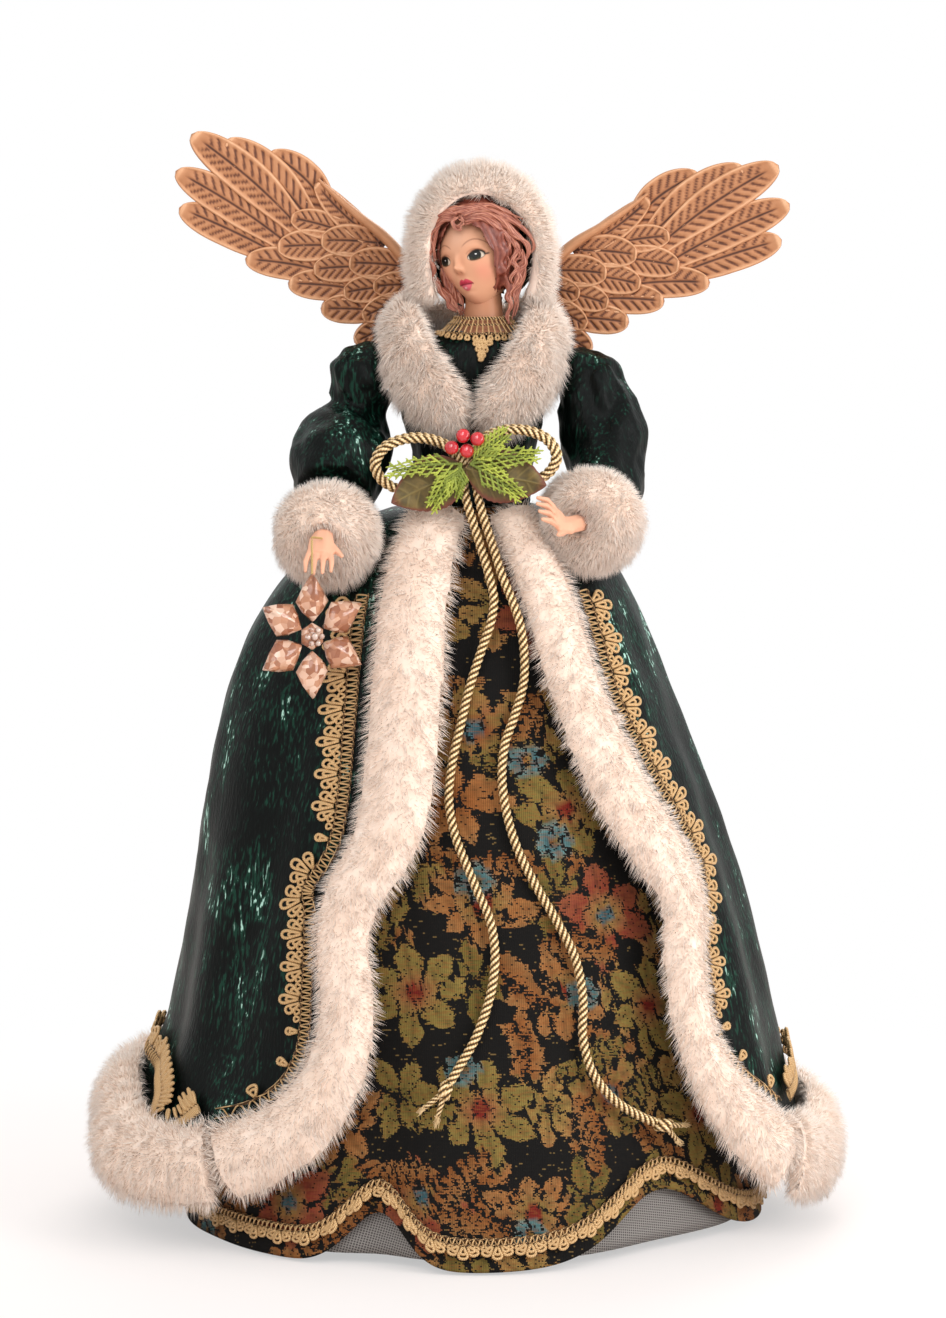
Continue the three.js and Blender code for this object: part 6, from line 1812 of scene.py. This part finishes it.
def feather(base, tip, width, bow, lift, blunt=0.62, taper=0.5, pitch=3.9):
    """One moulded feather between two (across, up) points of its wing: points in the wing's sheet, faces and relief."""
    rows, columns = 62, 20
    s = np.linspace(0, 1, rows + 1)[:, None]
    t = np.linspace(-1, 1, columns + 1)[None, :]
    base, tip = np.array(base, float), np.array(tip, float)
    length = np.linalg.norm(tip - base)
    ahead = (tip - base) / length
    across = np.array([-ahead[1], ahead[0]])
    rounded = np.sqrt(np.clip(1 - (np.clip(s - blunt, 0, 1) / (1 - blunt)) ** 2.2, 0, 1))
    half = np.maximum(width / 2 * mix(taper, 1, smooth_step(0, 0.55, s)) * rounded, 0.12)
    place_u = base[0] + ahead[0] * s * length + across[0] * (bow * np.sin(math.pi * s) + t * half)
    place_v = base[1] + ahead[1] * s * length + across[1] * (bow * np.sin(math.pi * s) + t * half)
    edge = np.maximum(bump(np.abs(t), 0.9, 0.1), bump(s, 0.975, 0.02))
    quill = bump(t * half, 0, 0.45) * smooth_step(0.94, 0.86, s)
    phase = 2 * math.pi * (s * length - np.abs(t) * half * 1.0) / pitch
    strokes = smooth_step(
        0.1, 0.9, np.cos(phase)
    ) * smooth_step(0.08, 0.2, np.abs(t)) * smooth_step(0.84, 0.7, np.abs(t)) * smooth_step(0.93, 0.86, s)
    height = 0.7 * (1 - t**2 * 0.5) + 0.42 * edge - 0.5 * quill - 0.4 * strokes
    # Painted shade: darker in the sunken quill and barb strokes and at the base, where each feather lies under the
    # next; painted highlight on the raised rims.
    value = 0.56 + 0.3 * edge - 0.55 * quill - 0.42 * strokes - 0.12 * smooth_step(0.2, 0.0, s)
    outer = -(lift + height)
    inner = np.full_like(outer, 0.8)
    ring_u = np.hstack([place_u, place_u[:, ::-1]])
    ring_v = np.hstack([place_v, place_v[:, ::-1]])
    ring_d = np.hstack([outer, inner])
    ring_value = np.hstack([value, 0 * value + 0.42])
    count = 2 * (columns + 1)
    flat = np.stack([ring_u, ring_d, ring_v], axis=-1).reshape(-1, 3)
    flat = np.vstack([flat, flat[:count].mean(0), flat[-count:].mean(0)])
    k = np.arange(count)
    last = rows * count
    caps = [
        np.stack([np.full(count, len(flat) - 2), k, (k + 1) % count], axis=1),
        np.stack([np.full(count, len(flat) - 1), last + (k + 1) % count, last + k], axis=1),
    ]
    relief = np.append(ring_value.ravel(), [0.42, 0.42])
    return flat, [grid_faces(rows + 1, count, wrap_columns=True)] + caps, {"relief": relief}


# Tips, bases and widths of the feathers in millimetres across and up from the wing's root, and each one's bow and lift
feather_table = [
    ((95.7, 52.3), (50.0, 30.0), 13.5, 1.0, 0.9),
    ((96.9, 66.1), (50.0, 35.0), 13.8, 1.5, 1.4),
    ((90.9, 79.9), (46.0, 40.0), 14.8, 2.0, 2.1),
    ((78.3, 77.6), (43.0, 43.0), 14.8, 2.5, 1.5),
    ((61.6, 73.2), (36.0, 46.0), 13.6, 3.0, 0.9),
    ((70.8, 33.1), (30.0, 25.0), 12.5, 1.5, 1.7),
    ((54.6, 23.9), (22.0, 20.0), 12.0, 1.0, 2.0),
    ((42.2, 14.3), (15.0, 13.0), 11.5, 0.5, 2.3),
    ((29.4, 1.4), (10.0, 10.0), 10.0, 0.5, 2.5),
    ((53.8, 48.6), (33.0, 43.0), 11.0, 0.5, 2.7),
    ((58.9, 37.6), (35.0, 38.0), 12.6, 0.5, 2.6),
    ((44.4, 61.4), (18.0, 38.0), 10.0, -1.5, 3.0),
    ((42.5, 40.0), (20.0, 39.0), 13.0, 0.5, 3.3),
    ((45.3, 29.1), (24.0, 30.0), 12.0, 0.5, 3.1),
    ((32.0, 31.6), (10.0, 30.0), 13.0, 0.5, 3.7),
    ((34.0, 20.2), (15.0, 22.5), 11.0, 0.5, 3.5),
    ((22.8, 22.6), (5.0, 23.0), 10.5, 0.5, 4.0),
    ((26.8, 10.8), (9.0, 18.0), 10.0, 0.5, 3.8),
    ((17.5, 9.0), (4.0, 15.0), 8.5, 0.5, 4.1),
]
for name, side, node, drop in (
    ("moulded_wing_right", -1, "wing_right", 0), ("moulded_wing_left", 1, "wing_left", 7)
):
    parts = [
        feather(
            base, tip, width, bow, lift, *((0.62, 0.5) if k < 9 else (0.45, 0.8)), 3.9 if k < 9 else 3.0
        ) for k, (tip, base, width, bow, lift) in enumerate(feather_table)
    ]
    arm_line = curve_through(
        [
            (43.5, -3.2, 63.2),
            (36.2, -3.6, 56.2),
            (27.4, -4.0, 48.6),
            (18.6, -4.3, 41.6),
            (10.6, -4.5, 32.6),
            (5.6, -4.5, 24.4),
            (2.6, -4.4, 14),
            (1, -3, 4)
        ],
        80
    )
    angle = 2 * math.pi * np.arange(20) / 20
    arm_size = np.interp(np.linspace(0, 1, 80), [0, 0.15, 0.45, 1], [0.8, 2.2, 3.3, 4.2])[:, None]
    section = np.stack([arm_size * np.cos(angle), arm_size * 0.62 * np.sin(angle)], axis=-1)
    arm_points, arm_faces = sweep(arm_line, section, up=(0, -1, 0))
    parts.append((arm_points, arm_faces, {"relief": np.full(len(arm_points), 0.66)}))
    root_line = np.array([(2 + 0.4 * k, 0.2 * (k % 2), -4 + 3.6 * k) for k in range(9)], float)
    root_size = 6.5 * np.sin(np.linspace(0.35, math.pi - 0.6, 9))[:, None]
    section = np.stack([root_size * np.cos(angle), root_size * 0.42 * np.sin(angle)], axis=-1)
    root_points, root_faces = sweep(root_line, section, up=(0, -1, 0))
    parts.append((root_points, root_faces, {"relief": np.full(len(root_points), 0.5)}))
    points, faces, values = join_parts(parts)
    turn = np.array(Euler((0, drop * degree, 0)).to_matrix()) @ np.array(
        Euler((0, 0, -side * 8 * degree)).to_matrix()
    )
    points = points * (side, 1, 1) @ turn.T + (side * 16, 33, 326)
    if side > 0:
        faces = [np.asarray(f)[:, ::-1] for f in faces]
    wing = build(name, points, faces, relief=values["relief"])
    wing.data.materials.append(copper)
    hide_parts(node)
    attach(wing, "figure")

# The bow's two loops are the same gold cord, each wound twice round and held by the wire at the knot.
# The turns lie one in front of the other, and shrink a little inwards, as a cord wound by hand does.
loop_table = {"right": (-1, -20.7, 285.1), "left": (1, 15.5, 288.1)}
for side, (sign, centre_x, centre_z) in loop_table.items():
    share = np.arange(21) / 20
    turns = 2 * math.pi * np.arange(21) / 10
    size = 1 - 0.12 * share
    wound = np.stack(
        [
            centre_x - sign * np.cos(turns) * 16 * size,
            -43 + (0.5 - share) * 4,
            centre_z + np.sin(turns) * 10.5 * size
        ],
        axis=1
    )
    path = curve_through(wound, 620)
    loop = gold_rope("gold_loop_" + side, [rope(path, cord_radius, 7.5)])
    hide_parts("bow_loop_" + side)
    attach(loop, "figure")

# The middle of the bow, in millimetres across and up.
BOW_X, BOW_Z = -2.6, 286

# The knot is three tight turns of the cord over the crossing, bound behind by the wire.
parts = []
for k, tilt in enumerate((-0.35, 0.1, 0.5)):
    turns = np.linspace(0, 2 * math.pi, 13)[:-1]
    knot_x = BOW_X + (k - 1) * 1.9 + math.sin(tilt) * 2.0 * np.cos(turns)
    ring = np.stack([knot_x, -43.4 + 2.4 * np.sin(turns), BOW_Z + 3.9 * np.cos(turns)], axis=1)
    parts.append(rope(curve_through(ring, 110, ring=True), 1.5, 7.5, ring=True))
knot = gold_rope("gold_bow_knot", parts)
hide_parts("bow_knot")
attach(knot, "figure")

# Two stiffened cloth leaves lie behind the berries, stamped with a midrib and side veins.
# They are olive brown with reddish edges, and glued to the knot by their bases.
leaf_cloth, leaf_out = new_material("stamped olive leaf cloth")
leaf_relief = add_node(leaf_cloth, "Attribute", attribute_name="relief")
leaf_edge = add_node(leaf_cloth, "Attribute", attribute_name="edge")
leaf_spot = add_node(leaf_cloth, "TexCoord")
leaf_noise = add_node(
    leaf_cloth, "TexNoise", {"Vector": leaf_spot.outputs["Object"], "Scale": 300.0, "Detail": 4.0}
)
leaf_patch = add_node(
    leaf_cloth, "ValToRGB", {0: leaf_noise.outputs[0]}, [(0.3, "#463a15"), (0.7, "#6f5a26"), (0.5, "#5b4b1c")]
)
leaf_rib = add_node(
    leaf_cloth,
    "Mix",
    {0: leaf_relief.outputs["Fac"], 6: leaf_patch.outputs[0], 7: linear("#75642f")},
    data_type="RGBA"
)
leaf_tone = add_node(
    leaf_cloth,
    "Mix",
    {0: leaf_edge.outputs["Fac"], 6: leaf_rib.outputs[2], 7: linear("#6b2f1c")},
    data_type="RGBA"
)
leaf_shader = add_node(
    leaf_cloth, "BsdfPrincipled", {"Base Color": leaf_tone.outputs[2], "Roughness": 0.6, "Sheen Weight": 0.25}
)
leaf_cloth.node_tree.links.new(leaf_shader.outputs[0], leaf_out.inputs[0])
for side, turned, depth in (("right", 205 * degree, -46.6), ("left", -12 * degree, -47.6)):
    rows, columns = 90, 60
    s = np.linspace(0, 1, rows + 1)[:, None]
    t = np.linspace(-1, 1, columns + 1)[None, :]
    serration = 0.5 * np.abs(np.sin(s * 13 * math.pi)) ** 0.7
    half = (9.6 * np.sin(math.pi * s**0.82) ** 0.85 + 0.2) * np.ones_like(t) + serration * np.sin(math.pi * s)
    along, across = s * 30 * np.ones_like(t), t * half
    vein_phase = (along - np.abs(across) * 0.75) / 4.1
    vein = bump(
        (vein_phase % 1) - 0.5, 0, 0.09
    ) * smooth_step(0.0, 0.12, np.abs(t)) * smooth_step(0.98, 0.85, np.abs(t))
    rib = np.maximum(bump(across, 0, 0.35), 0.75 * vein)
    curl = 1.6 * np.sin(math.pi * s) * t**2 * -1 + 2.2 * (s - 0.4) ** 2 + 0.5 * np.sin(along * 0.5 + 3 * t)
    outer = -0.5 + 0.35 * -rib - curl
    x = along * math.cos(turned) - across * math.sin(turned)
    z = along * math.sin(turned) + across * math.cos(turned)
    front = np.stack([-2.6 + x, depth + outer, 284.3 + z], axis=-1)
    back = np.stack([-2.6 + x, depth + outer + 0.5, 284.3 + z], axis=-1)
    grid = np.hstack([front, back[:, ::-1]])
    count = grid.shape[1]
    flat = grid.reshape(-1, 3)
    flat = np.vstack([flat, flat[:count].mean(0), flat[-count:].mean(0)])
    k = np.arange(count)
    last = rows * count
    caps = [np.stack([np.full(count, len(flat) - 2), k, (k + 1) % count], axis=1)]
    caps.append(np.stack([np.full(count, len(flat) - 1), last + (k + 1) % count, last + k], axis=1))
    relief = np.append(np.hstack([rib, rib[:, ::-1]]).ravel(), [0, 0])
    border = np.clip(smooth_step(0.72, 1.0, np.abs(t)) + smooth_step(0.85, 1, s), 0, 1)
    border = np.append(np.hstack([border, border[:, ::-1]]).ravel(), [0, 1])
    leaf = build(
        "stamped_leaf_" + side,
        flat,
        [grid_faces(rows + 1, count, wrap_columns=True)] + caps,
        relief=relief,
        edge=border
    )
    leaf.data.materials.append(leaf_cloth)
    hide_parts("leaf_" + side)
    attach(leaf, "figure")

# Six cedar sprigs in two sprays: a soft plastic stem each, with flat fans of short scaly twigs, pale green.
# Their stems are twisted together behind the knot.
cedar, cedar_out = new_material("moulded cedar plastic")
cedar_tint = add_node(cedar, "Attribute", attribute_name="tint")
cedar_ramp = add_node(
    cedar, "ValToRGB", {0: cedar_tint.outputs["Fac"]}, [(0.0, "#3c4612"), (1.0, "#b3bd4a"), (0.5, "#75832a")]
)
cedar_shader = add_node(
    cedar,
    "BsdfPrincipled",
    {
        "Base Color": cedar_ramp.outputs[0],
        "Roughness": 0.55,
        "Subsurface Weight": 0.05,
        "Subsurface Radius": (0.001, 0.001, 0.0006)
    }
)
cedar.node_tree.links.new(cedar_shader.outputs[0], cedar_out.inputs[0])
twigs = np.random.default_rng(31)


def scaly_twig(path, radius, tint):
    """A twig of overlapping scales: its width swells at every scale."""
    run = np.concatenate([[0], np.cumsum(np.linalg.norm(np.diff(path, axis=0), axis=1))])
    angle = 2 * math.pi * np.arange(6) / 6
    swell = 1 - 0.45 * ((run / 0.9) % 1)
    size = (radius * swell * np.interp(run / run[-1], [0, 0.8, 1], [1, 0.9, 0.4]))[:, None]
    section = np.stack([size * np.cos(angle), size * np.sin(angle)], axis=-1)
    points, faces = sweep(path, section, up=(0, -1, 0))
    # Each scale is lighter where it swells and darker where it narrows under the next: painted shade. The tint of each
    # twig is its own.
    value = np.clip(tint + 0.35 * (swell[:, None] - 0.8) + np.zeros((1, 6)), 0, 1).ravel()
    return points, faces, {"tint": np.append(value, np.full(len(points) - len(value), tint))}


spray_tips = {
    "right": (-1, -48.6, [(-1.05, -0.12), (-0.42, -0.62), (-0.1, -0.4)]),
    "left": (1, -49.6, [(0.5, 0.42), (0.98, 0.12), (0.72, -0.48)]),
}
for side, (sign, depth, tips) in spray_tips.items():
    parts = []
    for tip_x, tip_z in tips:
        start = np.array([BOW_X + sign * 1.68, depth, BOW_Z])
        tip = start + 24 * np.array([tip_x, 0, tip_z])
        stem = curve_through([start, (start + tip) / 2 + (0, -1.2, 1.0), tip + (0, 0.6, 0)], 60)
        parts.append(scaly_twig(stem, 0.8, 0.35))
        ahead = (tip - start) / np.linalg.norm(tip - start)
        across = np.cross(ahead, (0, -1, 0))
        for k in range(15):
            place_share = 0.12 + 0.84 * k / 14
            root = stem[int(place_share * 59)]
            hand = 1 if k % 2 else -1
            reach = 7.5 * (1 - 0.62 * place_share) * twigs.uniform(0.8, 1.1)
            direction = ahead * 0.75 + across * hand * 0.75 + (0, twigs.uniform(-0.25, 0.05), 0)
            direction /= np.linalg.norm(direction)
            end = root + direction * reach + ahead * 0.8
            side_path = curve_through([root, root + direction * reach * 0.5 + (0, -0.25, 0), end], 16)
            tint = twigs.uniform(0.4, 0.85)
            parts.append(scaly_twig(side_path, 0.62, tint))
            for j in range(3):
                base = side_path[5 + 3 * j]
                little = direction * 0.6 + ahead * 0.5 * (1 if j % 2 else 1.2) + across * hand * (
                    0.6 if j % 2 else -0.5
                )
                little /= np.linalg.norm(little)
                small = curve_through([base, base + little * 1.3 + (0, -0.15, 0), base + little * 2.6], 9)
                parts.append(scaly_twig(small, 0.5, tint + 0.1))
    points, faces, values = join_parts(parts)
    spray = build("cedar_sprigs_" + side, points, faces, tint=values["tint"])
    spray.data.materials.append(cedar)
    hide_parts("cedar_spray_" + side)
    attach(spray, "figure")

# Four lacquered berries are pressed on wires in front of the knot, each with a small dimple.
lacquer, lacquer_out = new_material("red berry lacquer")
lacquer_spot = add_node(lacquer, "TexCoord")
lacquer_noise = add_node(lacquer, "TexNoise", {"Vector": lacquer_spot.outputs["Object"], "Scale": 250.0})
lacquer_ramp = add_node(
    lacquer, "ValToRGB", {0: lacquer_noise.outputs[0]}, [(0.3, "#a50f1c"), (0.7, "#d0202c")]
)
lacquer_shader = add_node(
    lacquer,
    "BsdfPrincipled",
    {"Base Color": lacquer_ramp.outputs[0], "Roughness": 0.12, "Coat Weight": 0.6, "Coat Roughness": 0.05}
)
lacquer.node_tree.links.new(lacquer_shader.outputs[0], lacquer_out.inputs[0])
for k, (across, up) in enumerate([(-0.38, 3.96), (1.62, 3.54), (-2.0, 2.3), (0.15, 1.85)]):
    centre = np.array([BOW_X + 2.6 * across, -52.4 if k == 1 else -50.9, BOW_Z + 2.6 * up])
    bpy.ops.mesh.primitive_uv_sphere_add(
        segments=40,
        ring_count=24,
        radius=2.6 * mm,
        location=place(centre),
        rotation=(math.radians(70), 0, 0.3 * k)
    )
    berry = bpy.context.object
    berry.name = "red_berry_%d" % (k + 1)
    bpy.ops.object.transform_apply(location=True, rotation=True, scale=True)
    points, normals = mesh_points(berry), mesh_normals(berry)
    front = (points - centre) @ np.array([0.25, -0.9, 0.3])
    set_points(berry, points - normals * (0.5 * smooth_step(2.2, 2.55, front))[:, None])
    bpy.ops.object.shade_smooth()
    berry.data.materials.append(lacquer)
    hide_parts("berry_%d" % (k + 1))
    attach(berry, "figure")

# The ornament is a snowflake of clear amber acrylic: six faceted kite petals glued to a six-sided hub.
# Small clear crystals are set in the hub, and it hangs from a loop of fine thread through the top petal.
amber, amber_out = new_material("amber acrylic")
amber_spot = add_node(amber, "TexCoord")
amber_cells = add_node(amber, "TexVoronoi", {"Vector": amber_spot.outputs["Object"], "Scale": 420.0})
amber_ramp = add_node(
    amber,
    "ValToRGB",
    {0: amber_cells.outputs["Color"]},
    [(0.2, "#a5684a"), (0.8, "#ffdec6"), (0.5, "#d39a77")]
)
amber_shader = add_node(
    amber,
    "BsdfPrincipled",
    {
        "Base Color": amber_ramp.outputs[0],
        "Roughness": 0.12,
        "IOR": 1.49,
        "Transmission Weight": 0.35,
        "Coat Weight": 0.3
    },
)
amber.node_tree.links.new(amber_shader.outputs[0], amber_out.inputs[0])
snow_centre = np.array([-58.0, -70.1, 225.0])
snow_turn = np.array(Euler((0, 0, 28 * degree)).to_matrix())


def faceted(name, outline, thick, ridge, material):
    """A cut stone: an outline in its own plane, bevelled to a smaller flat or a ridge line in front and behind."""
    outline = np.array(outline, float)
    inner = np.array(ridge, float)
    count = len(outline)
    layers = []
    for depth, loop in (
        (-thick, inner),
        (-thick * 0.45, mix(outline, inner, 0.28)),
        (0, outline),
        (thick * 0.45, mix(outline, inner, 0.28)),
        (thick, inner)
    ):
        layers.append(np.stack([loop[:, 0], np.full(count, depth), loop[:, 1]], axis=1))
    points = np.vstack(layers)
    k = np.arange(count)
    faces = [grid_faces(5, count, wrap_columns=True), k[::-1][None, :], (4 * count + k)[None, :]]
    return build(name, points @ snow_turn.T + snow_centre, faces, smooth=False)


hexagon = np.stack(
    [np.cos(np.arange(6) * math.pi / 3 + math.pi / 6), np.sin(np.arange(6) * math.pi / 3 + math.pi / 6)],
    axis=1
)
snow_pieces = []
hub = faceted("amber_hub", hexagon * 5.0, 1.8, hexagon * 3.4, amber)
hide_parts("snowflake_hub")
snow_pieces.append(hub)
for k in range(6):
    angle = (90 + 60 * k) * degree
    ahead = np.array([math.cos(angle), math.sin(angle)])
    across = np.array([-ahead[1], ahead[0]])
    kite = [(0, 0), (0.2, 0.62), (0.42, 1), (0.72, 0.58), (1, 0), (0.72, -0.58), (0.42, -1), (0.2, -0.62)]
    outline = [ahead * (5.3 + 17.5 * a) + across * 6.6 * b for a, b in kite]
    ridge = [ahead * (5.3 + 17.5 * (0.08 + 0.8 * a)) + across * 6.6 * b * 0.16 for a, b in kite]
    petal = faceted("amber_petal_%d" % (k + 1), outline, 3.3, ridge, amber)
    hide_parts("snowflake_petal_%d" % (k + 1))
    snow_pieces.append(petal)
for piece in snow_pieces:
    piece.data.materials.append(amber)
    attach(piece, "snowflake")

# Seven round-cut clear crystals are glued in the front of the hub, one in the middle and six round it.
crystal, crystal_out = new_material("clear cut crystal")
crystal_spot = add_node(crystal, "TexCoord")
crystal_cells = add_node(crystal, "TexVoronoi", {"Vector": crystal_spot.outputs["Object"], "Scale": 900.0})
crystal_ramp = add_node(
    crystal, "ValToRGB", {0: crystal_cells.outputs["Color"]}, [(0.1, "#b98468"), (0.9, "#ffeee2")]
)
crystal_shader = add_node(
    crystal, "BsdfPrincipled", {
        "Base Color": crystal_ramp.outputs[0],
        "Roughness": 0.04,
        "IOR": 1.7,
        "Transmission Weight": 0.4,
        "Coat Weight": 0.5
    }
)
crystal.node_tree.links.new(crystal_shader.outputs[0], crystal_out.inputs[0])
parts = []
octagon = np.arange(8) * math.pi / 4
for k in range(7):
    spot = np.zeros(2) if k == 6 else 2.75 * np.array([math.cos(k * math.pi / 3), math.sin(k * math.pi / 3)])
    size = 1.5 if k == 6 else 1.15
    loops = []
    for depth, grow in ((-1.4, 0.5), (-2.1, 1.0), (-2.75, 0.82), (-3.1, 0.5)):
        loops.append(
            np.stack(
                [
                    spot[0] + size * grow * np.cos(octagon),
                    np.full(8, depth),
                    spot[1] + size * grow * np.sin(octagon)
                ],
                axis=1
            )
        )
    points = np.vstack(loops)
    faces = [grid_faces(4, 8, wrap_columns=True), np.arange(8)[::-1][None, :], (24 + np.arange(8))[None, :]]
    parts.append((points @ snow_turn.T + snow_centre, faces, {}))
points, faces, values = join_parts(parts)
crystals = build("hub_crystals", points, faces, smooth=False)
crystals.data.materials.append(crystal)
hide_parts("snowflake_hub")
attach(crystals, "snowflake")

# A fine gold thread: a loop tied round her right fingers, and a doubled length down to the top petal.
# Its darkest stop is painted shade in the grooves and its palest a painted highlight on the crowns.
fine_thread = thread_material(
    "fine gold thread", [(0.0, "#7d5c22"), (1.0, "#e8cf95"), (0.4, "#b58f45")], 0.3, 0.5
)
for name, route, node, body in (
    (
        "hanging_gold_thread",
        [(-58, -70.1, 247.6), (-58, -70.1, 252), (-58, -70.1, 256), (-58, -70.1, 260)],
        "hanging_thread",
        "thread"
    ),
    (
        "tied_gold_thread",
        [(-58, -70.1, 260.6), (-57.2, -68.2, 260.6), (-55.9, -64.8, 260.2), (-54.7, -61.5, 259.7)],
        "thread_loop",
        "right_arm"
    ),
):
    thread_path = curve_through(route, 160)
    fine = gold_rope(name, [rope(thread_path, 0.42, 2.2, sides=12)], fine_thread)
    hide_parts(node)
    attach(fine, body)

# The hidden frame of the figure: a card cone, a foam trunk, steel arm wires, and the wings' wooden block.
# They are carried over from the solid model, and each gets its own plain material.
for name, nodes, stops, scale, metallic, roughness in (
    ("pressed grey card", ["base_cone"], [(0.3, "#a89a86"), (0.7, "#c4b7a2")], 300.0, 0.0, 0.85),
    ("white modelling foam", ["torso_form"], [(0.3, "#dcdad2"), (0.7, "#f2f0ea")], 600.0, 0.0, 0.9),
    (
        "annealed steel wire",
        ["shoulder_wire", "arm_wire_right", "arm_wire_left", "bow_wire"],
        [(0.3, "#6d6a66"), (0.7, "#918e89")],
        500.0,
        0.9,
        0.4
    ),
    ("painted lime wood", ["wing_bracket"], [(0.3, "#8d6a48"), (0.7, "#a98460")], 120.0, 0.0, 0.7),
):
    plain, plain_out = new_material(name)
    plain_spot = add_node(plain, "TexCoord")
    plain_noise = add_node(
        plain, "TexNoise", {"Vector": plain_spot.outputs["Object"], "Scale": scale, "Detail": 4.0}
    )
    plain_ramp = add_node(plain, "ValToRGB", {0: plain_noise.outputs[0]}, stops)
    plain_shader = add_node(
        plain,
        "BsdfPrincipled",
        {"Base Color": plain_ramp.outputs[0], "Metallic": metallic, "Roughness": roughness}
    )
    plain.node_tree.links.new(plain_shader.outputs[0], plain_out.inputs[0])
    for node in nodes:
        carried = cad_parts[node]
        carried.data.materials.clear()
        carried.data.materials.append(plain)
